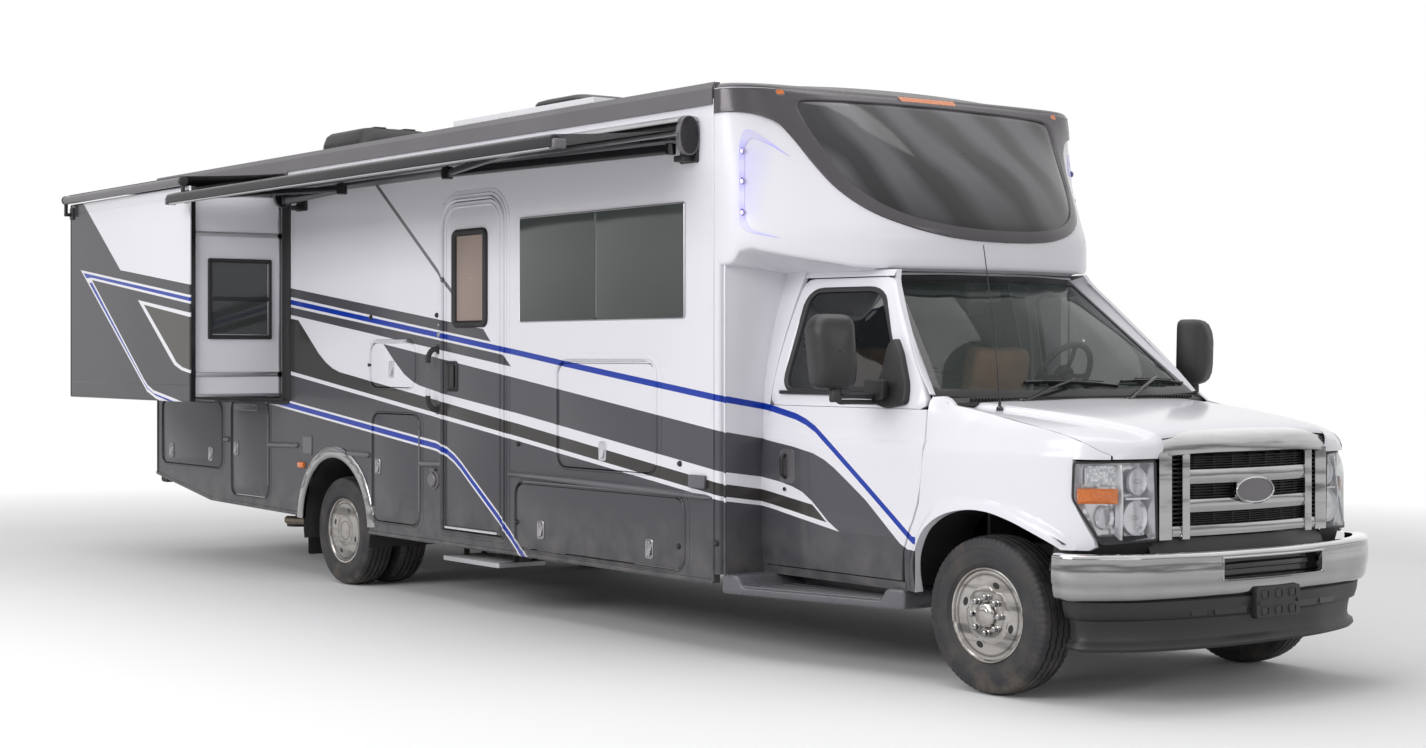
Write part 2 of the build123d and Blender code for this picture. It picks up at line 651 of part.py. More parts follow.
def hood_cutter(grow):
    outline = polygon(both(HOOD_PLAN))
    if grow:
        outline = offset(outline, amount=grow, kind=Kind.INTERSECTION)
        outline &= polygon(both([(CAB_HALF, HOOD_PLAN[0][1] + HINGE_GAP), (CAB_HALF, -900)]))
    return plan_prism(outline, 1150, 1500) & side_prism(
        polygon([(-900, GRILLE_TOP - grow + 2), (-560, GRILLE_TOP - grow + 2), (COWL_Y + 60, 1265),
                 (COWL_Y + 60, 1500), (-900, 1500)]), -CAB_HALF, CAB_HALF)


def headlamp_cutter(side, grow):
    outline = offset(polygon([(side * x, z) for x, z in HEADLAMP]), amount=grow, kind=Kind.INTERSECTION)
    return front_prism(outline, -900, -430)


def shield_cutter(grow):
    outline = polygon(both(SHIELD))
    if grow:
        outline = offset(outline, amount=grow, kind=Kind.INTERSECTION)
    return front_prism(outline, 0, 1200)


CAB_OUTER = cab_body(0)
CAB_WALL = CAB_OUTER - cab_body(CAB_SKIN)
CAB_FLANKS = CAB_OUTER - cab_body(0, CAB_SKIN)


def cab_shell():
    """Fenders, pillars, roof, floor, bulkhead and engine cover."""
    shell = CAB_WALL
    top = CAB_FLOOR + CAB_FLOOR_THICKNESS
    sill = CAB_HALF - CAB_SKIN + 5
    shell -= block(-CAB_HALF - 1, CAB_HALF + 1, -900, FLOOR_FRONT - 20, CAB_BOTTOM - 60, CAB_BOTTOM + 60)
    shell -= block(-SILL_INNER, SILL_INNER, -900, CAB_REAR + 1, CAB_BOTTOM - 60, CAB_FLOOR)
    shell -= block(-BACK_HALF, BACK_HALF, CAB_REAR - CAB_SKIN - 1, CAB_REAR + 1, CAB_FLOOR, BACK_TOP)
    shell += block(-sill, sill, FLOOR_FRONT - 20, CAB_REAR, CAB_FLOOR, top)
    shell += block(-SILL_INNER, SILL_INNER, BULKHEAD_Y, FLOOR_FRONT, CAB_FLOOR, top)
    shell += block(75 - CAB_HALF, CAB_HALF - 75, BULKHEAD_Y, BULKHEAD_Y + BULKHEAD_THICKNESS, 880, COWL_Z - 30)
    shell += block(-SILL_INNER, SILL_INNER, BULKHEAD_Y, BULKHEAD_Y + BULKHEAD_THICKNESS, CAB_FLOOR, 900)
    for side in (-1, 1):
        shell += block(side * (SILL_INNER - 20), side * sill, BULKHEAD_Y, FLOOR_FRONT, 860, 885)
        shell += block(side * (SILL_INNER - 20), side * sill, FLOOR_FRONT - 20, FLOOR_FRONT, CAB_FLOOR, 885)
        shell += block(side * (SILL_INNER - 20), side * SILL_INNER, BULKHEAD_Y, FLOOR_FRONT, CAB_FLOOR, 885)
    shell += block(-250, 250, BULKHEAD_Y, 920, CAB_FLOOR, 1010)
    shell -= block(-225, 225, BULKHEAD_Y + BULKHEAD_THICKNESS, 895, CAB_FLOOR - 1, 985)
    for side in (-1, 1):
        shell -= rod_x(side * SILL_INNER, side * (CAB_HALF + 50), 0, TYRE_RADIUS, FRONT_ARCH_RADIUS)
        shell -= door_cutter(CAB_DOOR, side, DOOR_GAP) & CAB_FLANKS
        shell -= headlamp_cutter(side, 2)
    shell -= hood_cutter(DOOR_GAP)
    shell -= shield_cutter(0)
    shell -= block(-GRILLE_HALF, GRILLE_HALF, -900, -560, GRILLE_BOTTOM, GRILLE_TOP)
    return shell


def cab_door(side):
    panel = CAB_FLANKS & door_cutter(CAB_DOOR, side, 0)
    return panel - door_cutter(CAB_DOOR_WINDOW, side, 0)


def cab_door_glass(side):
    sheet = cab_body(0, GLASS_INSET) - cab_body(0, GLASS_INSET + GLASS_THICKNESS)
    return sheet & door_cutter(CAB_DOOR_WINDOW, side, -FIT_GAP)


def door_mirror(side):
    """Mirror head on two arms from a foot at the door's front corner."""
    w, d, h = MIRROR_SIZE
    head = Pos(MIRROR_X, MIRROR_Y, MIRROR_Z) * Box(w, d, h)
    head = fillet(head.edges().filter_by(Axis.Y), 45)
    for z in (MIRROR_Z - 150, MIRROR_Z - 235):
        head += bar((MIRROR_X - 40, MIRROR_Y, z + 60), (CAB_HALF + 30, 600, 1330 + (z - 1340) * 0.6), 28)
    head += block(CAB_HALF - 8, CAB_HALF + 45, 560, 640, 1180, 1345)
    head -= CAB_OUTER
    head = head.solids().sort_by(SortBy.VOLUME)[-1]
    return head if side > 0 else mirrored(head)


def hood():
    panel = (CAB_OUTER - cab_body(HOOD_SKIN)) & hood_cutter(0)
    return panel.solids().sort_by(SortBy.VOLUME)[-1]


def windshield():
    sheet = cab_body(GLASS_INSET) - cab_body(GLASS_INSET + GLASS_THICKNESS)
    return (sheet & shield_cutter(-FIT_GAP)).solids().sort_by(SortBy.VOLUME)[-1]


def headlamp(side):
    body = (cab_body(2) - cab_body(70)) & headlamp_cutter(side, 0)
    return body.solids().sort_by(SortBy.VOLUME)[-1]


def grille():
    """Surround with three louvre bands between two chrome uprights."""
    g = FIT_GAP
    half = GRILLE_HALF - g
    z0, z1 = GRILLE_BOTTOM + g, GRILLE_TOP - g
    frame = block(-half, half, NOSE_Y - 25, NOSE_Y + 40, z0, z1)
    frame -= block(-half + 35, half - 35, NOSE_Y - 60, NOSE_Y + 60, z0 + 45, z1 - 45)
    for side in (-1, 1):
        frame += block(side * 415, side * 470, NOSE_Y - 30, NOSE_Y + 30, z0 + 20, z1 - 20)
    bands = 3
    pitch = (z1 - z0 - 90) / bands
    for band in range(bands):
        z = z0 + 45 + pitch * (band + 0.5)
        frame += block(-half + 10, half - 10, NOSE_Y - 15, NOSE_Y + 20, z - pitch * 0.28, z + pitch * 0.28)
    return frame


def nose_band(points, thickness, rear, z0, z1):
    """Upright band following a plan outline round the nose, cut off square at the back."""
    outline = polygon(both([(points[0][0], rear + 300)] + points))
    inner = offset(outline, amount=-thickness, kind=Kind.INTERSECTION)
    band = plan_prism(outline, z0, z1) - plan_prism(inner, z0 - 5, z1 + 5)
    return band & block(-1200, 1200, -1000, rear, z0, z1)


def front_bumper():
    plan = [(1060, -540), (820, -730), (400, -825), (150, -850)]
    bar_body = nose_band(plan, BUMPER_THICKNESS, -468, BUMPER_BOTTOM, BUMPER_TOP)
    for side in (-1, 1):
        bar_body += block(side * (RAIL_X - 30), side * (RAIL_X + 30), -790, RAIL_FRONT,
                          RAIL_BOTTOM + 40, RAIL_BOTTOM + 150)
    bar_body -= block(-360, 360, -900, -700, 560, 665)
    return bar_body


def valance():
    plan = [(930, -520), (760, -680), (300, -790)]
    return nose_band(plan, VALANCE_THICKNESS, -462, VALANCE_BOTTOM, BUMPER_BOTTOM)


def dashboard():
    """Dash panel, steering column and wheel on the driver's side."""
    dash = block(75 - CAB_HALF, CAB_HALF - 75, BULKHEAD_Y + BULKHEAD_THICKNESS, 640, 1110, 1345)
    dash = fillet(dash.edges().filter_by(Axis.X).sort_by(Axis.Z)[-1:], 60)
    dash &= cab_body(CAB_SKIN + 6)
    dash = dash.solids().sort_by(SortBy.VOLUME)[-1]
    wheel_at = Pos(430, 790, 1450) * Rot(-62, 0, 0)
    dash += wheel_at * Torus(185, 16)
    for angle in (90, 210, 330):
        dash += wheel_at * Rot(0, 0, angle) * Pos(92, 0, 0) * Box(184, 34, 16)
    dash += wheel_at * Pos(0, 0, 6) * Cylinder(55, 34)
    dash += bar((430, 790, 1450), (430, 560, 1260), 50)
    return dash


def cab_seats():
    """Two high-backed seats on boxes."""
    seats = []
    for side in (-1, 1):
        x = side * 520
        seat = block(x - 200, x + 200, 960, 1330, CAB_FLOOR + CAB_FLOOR_THICKNESS, 930)
        cushion = block(x - 245, x + 245, 860, 1360, 930, 1070)
        cushion = fillet(cushion.edges().filter_by(Axis.X), 40)
        back = Box(480, 130, 620)
        back = Pos(x, 1385, 1330) * Rot(-12, 0, 0) * fillet(back.edges().filter_by(Axis.Y), 50)
        head = Pos(x, 1458, 1705) * Rot(-12, 0, 0) * Box(260, 100, 170)
        seat += cushion
        seat += back
        seat += head
        seats.append(seat)
    return seats


def steps():
    """Moulded step under each cab door, and the folding step stowed under the entry door."""
    boards = [entry_step()]
    for side in (-1, 1):
        board = block(side * 700, side * (CAB_HALF - 5), 505, HOUSE_FRONT - WALL - 2, 335, CAB_BOTTOM)
        board -= block(side * 820, side * (CAB_HALF + 5), 640, HOUSE_FRONT - WALL - 130, 370, CAB_BOTTOM + 5)
        boards.append(board)
    return boards


# ---------------------------------------------------------------- roof gear and awning
def roof_z(x):
    """Height of the crowned roof at a distance from the centre line."""
    half = HALF_WIDTH - WALL
    return ROOF_EDGE + ROOF_CROWN * (1 - (x / half) ** 2)


def roof_units():
    """Vent cover, air conditioner, dish dome and small vent, each on its curb."""
    units = []
    fan = block(-250, 250, 4270, 4830, roof_z(0) - 12, 3275)
    units.append(fillet(fan.edges().group_by(Axis.Z)[-1], 40))
    cooler = block(-330, 330, 6980, 7720, roof_z(0) - 16, 3305)
    units.append(fillet(cooler.edges().group_by(Axis.Z)[-1], 60))
    dome = Pos(-720, 6200, 3010) * Cylinder(200, 120)
    units.append(fillet(dome.edges().group_by(Axis.Z)[-1], 55))
    units.append(block(-700, -400, 7800, 8100, roof_z(400) - 60, 3075))
    units.append(solar_panel())
    shell = roof()
    return [unit - shell for unit in units]


def solar_panel():
    panel = block(-830, -495, 3300, 4880, 3062, 3097)
    for x in (-790, -560):
        for y in (3420, 4700):
            panel += block(x, x + 30, y, y + 60, 2900, 3062)
    return panel


def awning_case():
    depth, z0, z1 = AWNING_CASE
    case = block(-HALF_WIDTH, -HALF_WIDTH - depth, AWNING_Y[0], AWNING_Y[1], z0, z1)
    edges = case.edges().filter_by(Axis.Y).group_by(Axis.X)[0]
    return fillet(edges, 45)


def awning_frame():
    """Lead rail held out by two folding arms from the case."""
    y0, y1 = AWNING_Y
    frame = rod_y(-AWNING_RAIL_X, y0, y1, AWNING_RAIL_Z, AWNING_RAIL_RADIUS)
    ex, ez = AWNING_ELBOW
    root_x = HALF_WIDTH + AWNING_CASE[0]
    for y, way in ((y0 + 150, 1), (y1 - 150, -1)):
        elbow = (-ex, y + way * AWNING_ELBOW_INSET, ez)
        frame += bar((-root_x - 40, y, ez), elbow, AWNING_ARM)
        frame += bar(elbow, (-AWNING_RAIL_X, y + way * 150, AWNING_RAIL_Z), AWNING_ARM)
        frame += Pos(*elbow) * Cylinder(40, 60)
        frame += block(-root_x - 60, -root_x, y - 40, y + 40, ez - 30, ez + 30)
    return frame


def awning_fabric():
    """Cloth from the case to the lead rail, a little lower at the rail."""
    y0, y1 = AWNING_Y
    start = -HALF_WIDTH - AWNING_CASE[0] - FIT_GAP
    z = AWNING_RAIL_Z + AWNING_RAIL_RADIUS
    outline = polygon([(start, z + 70), (start, z + 74), (-AWNING_RAIL_X, z + 4 + FIT_GAP),
                       (-AWNING_RAIL_X, z + FIT_GAP)])
    return front_prism(outline, y0 + 40, y1 - 40)


def rear_bumper():
    half, y0, y1, z0, z1 = REAR_BUMPER
    body = block(-half, half, y0, y1, z0, z1)
    for side in (-1, 1):
        body += block(side * (RAIL_X - 38), side * (RAIL_X + 38), RAIL_REAR, y0, z0, z1 - 50)
    body += block(-RAIL_X, RAIL_X, RAIL_REAR, RAIL_REAR + 60, HITCH_Z + 20, z1 - 60)
    receiver = block(-HITCH_OUTER / 2, HITCH_OUTER / 2, RAIL_REAR, y1 + 20,
                     HITCH_Z - HITCH_OUTER / 2, HITCH_Z + HITCH_OUTER / 2)
    body += receiver
    body -= block(-HITCH_BORE / 2, HITCH_BORE / 2, RAIL_REAR + 70, y1 + 30,
                  HITCH_Z - HITCH_BORE / 2, HITCH_Z + HITCH_BORE / 2)
    body -= rod_x(-HITCH_OUTER, HITCH_OUTER, y1 + 20 - HITCH_PIN_SETBACK, HITCH_Z, HITCH_PIN_RADIUS)
    return body


def tail_lamps():
    lamp = block(HALF_WIDTH - 243, HALF_WIDTH - 43, HOUSE_REAR, HOUSE_REAR + 45, 900, 1350)
    lamp = fillet(lamp.edges().filter_by(Axis.Y), 40)
    return [lamp, mirrored(lamp)]


parts["chassis_frame"] = chassis_frame()
parts["engine_block"] = engine_block()
parts["front_axle"] = front_axle()
parts["rear_axle"] = rear_axle()
parts["levelling_jacks"] = levelling_jacks()
parts["tanks"] = tanks()
parts["exhaust"] = exhaust()
parts["house_floor"] = house_floor()
parts["right_wall"] = side_wall(-1)
parts["left_wall"] = side_wall(1)
parts["rear_wall"] = rear_wall()
parts["roof"] = roof()
parts["roof_rails"] = roof_rails()
parts["house_windows"] = house_windows()
parts["entry_door"] = entry_door()
for door_name in BAGGAGE_DOORS:
    parts[door_name] = baggage_door(door_name)
parts["slide_out_right"] = slide_out(-1, SLIDE_RIGHT, SLIDE_RIGHT_REACH, SLIDE_RIGHT_DEPTH)
parts["slide_out_left"] = slide_out(1, SLIDE_LEFT, SLIDE_LEFT_REACH, SLIDE_LEFT_DEPTH)
parts["topper_roller_right"] = topper(-1, SLIDE_RIGHT, SLIDE_RIGHT_REACH)
parts["topper_roller_left"] = topper(1, SLIDE_LEFT, SLIDE_LEFT_REACH)
parts["topper_fabric"] = topper_fabric()
parts["front_cap"] = front_cap()
parts["cap_window"] = cap_window()
parts["cab_shell"] = cab_shell()
parts["windshield"] = windshield()
parts["hood"] = hood()
parts["lamps"] = [headlamp(-1), headlamp(1)] + tail_lamps()
parts["grille"] = grille()
parts["front_bumper"] = front_bumper()
parts["valance"] = valance()
parts["dashboard"] = dashboard()
parts["cab_seats"] = cab_seats()
parts["steps"] = steps()
parts["roof_units"] = roof_units()
parts["awning_case"] = awning_case()
parts["awning_frame"] = awning_frame()
parts["awning_fabric"] = awning_fabric()
parts["rear_bumper"] = rear_bumper()
for side, word in ((-1, "right"), (1, "left")):
    front_x = side * FRONT_TRACK / 2
    outer_x = side * REAR_OUTER_TRACK / 2
    inner_x = outer_x - side * DUAL_SPACING
    parts["cab_door_" + word] = cab_door(side)
    parts["cab_door_glass_" + word] = cab_door_glass(side)
    parts["door_mirror_" + word] = door_mirror(side)
    parts["knuckle_" + word] = knuckle(side)
    parts["front_tyre_" + word] = tyre(front_x)
    parts["front_rim_" + word] = front_rim(side)
    parts["rear_tyres_" + word] = [Pos(0, WHEELBASE, 0) * tyre(x) for x in (outer_x, inner_x)]
    parts["rear_rims_" + word] = rear_rims(side)


def solid_list(shape):
    pieces = shape if isinstance(shape, list) else [shape]
    return [solid for piece in pieces for solid in piece.solids()]


solids_of = {name: solid_list(shape) for name, shape in parts.items()}
box = Compound([solid for solids in solids_of.values() for solid in solids]).bounding_box()
origin = Vector(box.center().X, box.center().Y, 0)
os.makedirs("parts", exist_ok=True)
for name, solids in solids_of.items():
    moved = [solid.moved(Location(-origin)) for solid in solids]
    export_step(moved[0] if len(moved) == 1 else Compound(moved), f"parts/{name}.step")
print("origin from the front axle", origin, box)
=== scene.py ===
# %% [markdown]
# # A motorhome, from frame to finish
# The motorhome is a plastic-skinned house on a van cab, with a moulded cap over the cab,
# rooms that slide out of the walls, an awning and twin rear wheels. Its solids and joints come
# from the CAD frame. This lesson dresses them: it paints what can stay, and builds in mesh code
# what needs softer forms than the solids have.

# %% Load the frame
import math
import bmesh
import bpy
import numpy as np
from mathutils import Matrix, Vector


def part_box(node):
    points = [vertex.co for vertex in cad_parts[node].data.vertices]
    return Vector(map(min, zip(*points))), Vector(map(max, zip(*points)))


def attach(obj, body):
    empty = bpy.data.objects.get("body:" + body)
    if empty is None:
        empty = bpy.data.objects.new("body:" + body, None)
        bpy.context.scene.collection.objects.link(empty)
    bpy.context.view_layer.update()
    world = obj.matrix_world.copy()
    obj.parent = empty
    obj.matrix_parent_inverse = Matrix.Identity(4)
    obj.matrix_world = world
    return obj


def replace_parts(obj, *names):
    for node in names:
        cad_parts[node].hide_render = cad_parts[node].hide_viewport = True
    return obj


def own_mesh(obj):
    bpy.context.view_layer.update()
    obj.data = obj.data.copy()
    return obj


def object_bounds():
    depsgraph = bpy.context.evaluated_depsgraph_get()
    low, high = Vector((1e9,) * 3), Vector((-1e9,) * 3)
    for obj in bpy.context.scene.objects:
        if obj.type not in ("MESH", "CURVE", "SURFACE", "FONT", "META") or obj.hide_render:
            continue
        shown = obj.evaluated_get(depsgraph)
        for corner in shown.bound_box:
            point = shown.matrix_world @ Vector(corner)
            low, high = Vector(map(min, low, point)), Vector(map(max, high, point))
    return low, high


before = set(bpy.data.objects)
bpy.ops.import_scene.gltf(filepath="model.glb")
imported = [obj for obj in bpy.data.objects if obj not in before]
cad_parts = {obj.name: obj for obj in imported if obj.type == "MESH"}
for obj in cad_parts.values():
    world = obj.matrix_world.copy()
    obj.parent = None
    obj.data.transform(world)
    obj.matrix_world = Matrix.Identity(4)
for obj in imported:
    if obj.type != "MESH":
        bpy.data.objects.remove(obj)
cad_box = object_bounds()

# %% [markdown]
# ## Where things are
# A vehicle is drawn from its front axle: Y runs back from the axle, X is across with the passenger
# side negative, and Z is up from the ground. The frame's origin is elsewhere, under the middle of
# the whole part, so the two front tyres tell how far apart the two origins are.

# %% The front axle's place
right_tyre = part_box("front_tyre_right")
left_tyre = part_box("front_tyre_left")
AXLE = np.array([(right_tyre[0].x + left_tyre[1].x) / 2, (right_tyre[0].y + right_tyre[1].y) / 2, 0.0])
HALF_WIDTH = -(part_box("right_wall")[0].x - AXLE[0])
HOUSE_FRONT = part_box("right_wall")[0].y - AXLE[1]
HOUSE_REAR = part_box("rear_wall")[1].y - AXLE[1]
ROOF_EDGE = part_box("right_wall")[1].z
WHEELBASE = (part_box("rear_tyres_right")[0].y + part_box("rear_tyres_right")[1].y) / 2 - AXLE[1]
TYRE_RADIUS = (right_tyre[1].z - right_tyre[0].z) / 2
SIDES = ("right", -1), ("left", 1)
print("axle at", AXLE.round(3), "half width", round(HALF_WIDTH, 3), "wheelbase", round(WHEELBASE, 3))


def from_axle(node):
    """Lowest and highest corner of a CAD node, from the front axle."""
    low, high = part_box(node)
    return np.array(low) - AXLE, np.array(high) - AXLE


# %% [markdown]
# ## Shapes
# Every piece is a list of points and faces. Four ways of making them cover nearly all of a vehicle:
# a loft through rings, a plate cut to an outline, a section swept along a path, and a turned shape.
# Working with plain lists keeps each shape a formula, so that round corners are real geometry.

# %% Outlines
def arc(u, v, radius, start, end, steps=5):
    """Points on a circle between two angles, in degrees."""
    turn = np.radians(np.linspace(start, end, steps + 1))
    return [(u + radius * math.cos(t), v + radius * math.sin(t)) for t in turn]


def rounded(u0, v0, u1, v1, radius, steps=5):
    """Rectangle with round corners, counter-clockwise."""
    r = radius
    return (arc(u1 - r, v0 + r, r, -90, 0, steps) + arc(u1 - r, v1 - r, r, 0, 90, steps)
            + arc(u0 + r, v1 - r, r, 90, 180, steps) + arc(u0 + r, v0 + r, r, 180, 270, steps))


def softened(points, radius, steps=4, closed=True):
    """A path or outline, in two or three dimensions, with each corner drawn as a small curve."""
    p = [np.array(q, float) for q in points]
    out = []
    for i, corner in enumerate(p):
        if not closed and i in (0, len(p) - 1):
            out.append(corner)
            continue
        back, ahead = p[i - 1] - corner, p[(i + 1) % len(p)] - corner
        cut = min(radius, 0.49 * np.linalg.norm(back), 0.49 * np.linalg.norm(ahead))
        back, ahead = back / np.linalg.norm(back) * cut, ahead / np.linalg.norm(ahead) * cut
        out += [corner + back * (1 - t) ** 2 + ahead * t ** 2 for t in np.linspace(0, 1, steps + 1)]
    return out


def grown(outline, by):
    """A counter-clockwise outline moved outwards by a distance."""
    p = np.array(outline, float)
    before, after = p - np.roll(p, 1, 0), np.roll(p, -1, 0) - p
    n1 = np.stack([before[:, 1], -before[:, 0]], 1)
    n2 = np.stack([after[:, 1], -after[:, 0]], 1)
    n1 /= np.maximum(np.linalg.norm(n1, axis=1, keepdims=True), 1e-9)
    n2 /= np.maximum(np.linalg.norm(n2, axis=1, keepdims=True), 1e-9)
    mitre = (n1 + n2) / np.maximum(1 + (n1 * n2).sum(1, keepdims=True), 0.3)
    return p + by * mitre


# %% Lofts, plates, sweeps and turned shapes
def loft(rings, closed=True, caps=True, wrap=False):
    """Faces through rings of equal length; wrap joins the last ring to the first."""
    n = len(rings[0])
    points = [tuple(p) for ring in rings for p in ring]
    faces = []
    for i in range(len(rings) if wrap else len(rings) - 1):
        a, b = i * n, (i + 1) % len(rings) * n
        for j in range(n if closed else n - 1):
            k = (j + 1) % n
            faces.append((a + j, a + k, b + k, b + j))
    if caps and not wrap:
        faces += [tuple(range(n))[::-1], tuple(range((len(rings) - 1) * n, len(rings) * n))]
    return points, faces


def grid(rows_of):
    """Surface through rows of points, open on all sides."""
    return loft(rows_of, closed=False, caps=False)


def plate(outline, place, low, high, edge=0.0, both=False, steps=3):
    """Plate cut to an outline between two depths, with its face edge rounded."""
    turns = [math.radians(a) for a in np.linspace(0, 90, steps + 1)] if edge else [0]
    front = [(-edge * (1 - math.cos(t)), high - edge * (1 - math.sin(t))) for t in turns]
    back = [(-edge * (1 - math.cos(t)), low + edge * (1 - math.sin(t))) for t in turns[::-1]]
    levels = (back if both else [(0, low)]) + front
    return loft([[place(u, v, depth) for u, v in grown(outline, by)] for by, depth in levels])


def frame_strip(outline, place, section):
    """A section of (outwards, depth) pairs carried round a closed outline."""
    rings = [[place(u, v, depth) for u, v in grown(outline, by)] for by, depth in section]
    return loft(rings, wrap=True)


def unit(v):
    """The same direction, one long."""
    v = np.array(v, float)
    return v / np.linalg.norm(v)


def sweep(path, section, up=(0, 0, 1), closed=False):
    """A section of (sideways, up) pairs carried along a path in space without twisting."""
    p = np.array(path, float)
    ahead = np.roll(p, -1, 0) if closed else np.vstack([p[1:], 2 * p[-1] - p[-2]])
    behind = np.roll(p, 1, 0) if closed else np.vstack([2 * p[0] - p[1], p[:-1]])
    normal = np.array(up, float)
    rings = []
    for point, tangent in zip(p, ahead - behind):
        tangent = unit(tangent)
        normal = unit(normal - tangent * normal.dot(tangent))
        side = np.cross(tangent, normal)
        rings.append([point + side * a + normal * b for a, b in section])
    return loft(rings, caps=not closed, wrap=closed)


def circle(radius, steps=10):
    """Round outline about its own middle."""
    return arc(0, 0, radius, 0, 360 - 360 / steps, steps - 1)


def tube(path, radius, bend=0.0, steps=10, up=(0.1, 0.2, 1)):
    """Round rod along a path whose corners are bent to a radius."""
    route = softened(path, bend, 5, closed=False) if bend else path
    return sweep(route, circle(radius, steps), up)


def turned(profile, centre, axis="x", steps=48):
    """A profile of (along, radius) pairs turned about an axis through a centre."""
    angles = np.radians(np.arange(steps) * 360 / steps)
    rings = []
    for along, radius in profile:
        c, s = np.cos(angles) * radius, np.sin(angles) * radius
        columns = {"x": (along + 0 * c, c, s), "y": (c, along + 0 * c, s), "z": (c, s, along + 0 * c)}[axis]
        rings.append(np.stack(columns, 1) + np.array(centre, float))
    return loft(rings)


def brick(low, high, radius=0.004):
    """Box between two corners with all its edges rounded."""
    low, high = np.minimum(low, high), np.maximum(low, high)
    r = min(radius, 0.45 * min(high - low))
    outline = rounded(low[0], low[1], high[0], high[1], r, 3)
    return plate(outline, lambda u, v, d: (u, v, d), low[2], high[2], r * 0.95, both=True)


def side(sign, x):
    """Placing for a wall across the X axis: (Y, Z, outwards)."""
    return lambda y, z, out: (sign * (x + out), y, z)


def facing(sign, y):
    """Placing for a wall across the Y axis: (X, Z, outwards)."""
    return lambda x, z, out: (x, y + sign * out, z)


def upright(z):
    """Placing for a level surface: (X, Y, upwards)."""
    return lambda x, y, up: (x, y, z + up)


# %% [markdown]
# ## Pieces
# A piece joins some shapes under one paint, and rides on the body that carries it, so that a latch
# follows its door. Normals are made to face outwards, and edges sharper than a limit stay crisp. A
# piece that is finer than a solid of the frame is shown in its place.


def piece(name, paint, body, *shapes, crease=32):
    """Join shapes into one object, drawn from the front axle, and let it ride on a body."""
    points, faces = [], []
    for shape_points, shape_faces in shapes:
        start = len(points)
        points += [tuple(np.array(p, float) + AXLE) for p in shape_points]
        faces += [tuple(start + i for i in face) for face in shape_faces]
    mesh = bpy.data.meshes.new(name)
    mesh.from_pydata(points, [], faces)
    work = bmesh.new()
    work.from_mesh(mesh)
    bmesh.ops.remove_doubles(work, verts=work.verts, dist=1e-6)
    bmesh.ops.dissolve_degenerate(work, edges=work.edges, dist=1e-6)
    bmesh.ops.recalc_face_normals(work, faces=work.faces)
    work.to_mesh(mesh)
    work.free()
    mesh.shade_smooth()
    mesh.set_sharp_from_angle(angle=math.radians(crease))
    mesh.materials.append(paint)
    made = bpy.data.objects.new(name, mesh)
    bpy.context.scene.collection.objects.link(made)
    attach(made, body)
    return made


def dress(paint, *nodes):
    """Give CAD nodes a paint."""
    for node in nodes:
        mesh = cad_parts[node].data
        mesh.materials.clear()
        mesh.materials.append(paint)

# %% [markdown]
# ## Camera
# The camera stands at eye height off the front corner, level, with its picture shifted sideways
# instead of turned, so that uprights stay upright. Its lens and shift come from a fit to the
# wheels and the house, for a frame 1426 pixels wide.

# %% Set up the camera
FRAME_WIDTH, FRAME_HEIGHT = 1426, 748
FOCAL_PIXELS = 2060.2
CENTRE_PIXEL = (539.54, 354.68)
CAMERA_PLACE = np.array([-7.974, -6.669, 1.561])
CAMERA_YAW = 0.59595
view = bpy.data.cameras.new("view")
view.sensor_width = 36
view.lens = view.sensor_width * FOCAL_PIXELS / FRAME_WIDTH
view.shift_x = (FRAME_WIDTH / 2 - CENTRE_PIXEL[0]) / FRAME_WIDTH
view.shift_y = (CENTRE_PIXEL[1] - FRAME_HEIGHT / 2) / FRAME_WIDTH
camera = bpy.data.objects.new("camera", view)
camera.location = CAMERA_PLACE + AXLE
camera.rotation_euler = (math.pi / 2, 0, -CAMERA_YAW)
bpy.context.scene.collection.objects.link(camera)
bpy.context.scene.camera = camera
bpy.context.scene.view_settings.view_transform = "Standard"
print("lens", round(view.lens, 2), "shift", round(view.shift_x, 4), round(view.shift_y, 4))

# %% [markdown]
# ## Shader sums
# A finish is a sum of masks and noises. Written as nodes it is hard to read, so one small class
# wraps a socket and turns Python's own operators into Math nodes. Another adds every other kind of
# node to a tree, and a finish is such a tree with coordinates that start at the front axle.

# %% A socket that can be reckoned with
class Wire:
    """A socket that carries a value, colour or vector inside one tree of nodes."""

    def __init__(self, nodes, socket):
        self.nodes, self.socket = nodes, socket

    def __add__(self, other): return self.nodes.maths("ADD", self, other)
    def __radd__(self, other): return self.nodes.maths("ADD", other, self)
    def __sub__(self, other): return self.nodes.maths("SUBTRACT", self, other)
    def __rsub__(self, other): return self.nodes.maths("SUBTRACT", other, self)
    def __mul__(self, other): return self.nodes.maths("MULTIPLY", self, other)
    def __rmul__(self, other): return self.nodes.maths("MULTIPLY", other, self)
    def __truediv__(self, other): return self.nodes.maths("DIVIDE", self, other)
    def __gt__(self, other): return self.nodes.maths("GREATER_THAN", self, other)
    def __lt__(self, other): return self.nodes.maths("LESS_THAN", self, other)
    def __abs__(self): return self.nodes.maths("ABSOLUTE", self)
    def lowest(self, other): return self.nodes.maths("MINIMUM", self, other)
    def highest(self, other): return self.nodes.maths("MAXIMUM", self, other)
    def root(self): return self.nodes.maths("SQRT", self)

    def ramp(self, start, end, low=0.0, high=1.0):
        """Runs from low to high as this value runs from start to end, and holds beyond."""
        return self.nodes.node("ShaderNodeMapRange", {0: self, 1: start, 2: end, 3: low, 4: high})


def colour(code):
    """Linear colour from the six digits that name it on a screen."""
    parts = [int(code[i:i + 2], 16) / 255 for i in (0, 2, 4)]
    return tuple(c / 12.92 if c <= 0.04045 else ((c + 0.055) / 1.055) ** 2.4 for c in parts) + (1.0,)


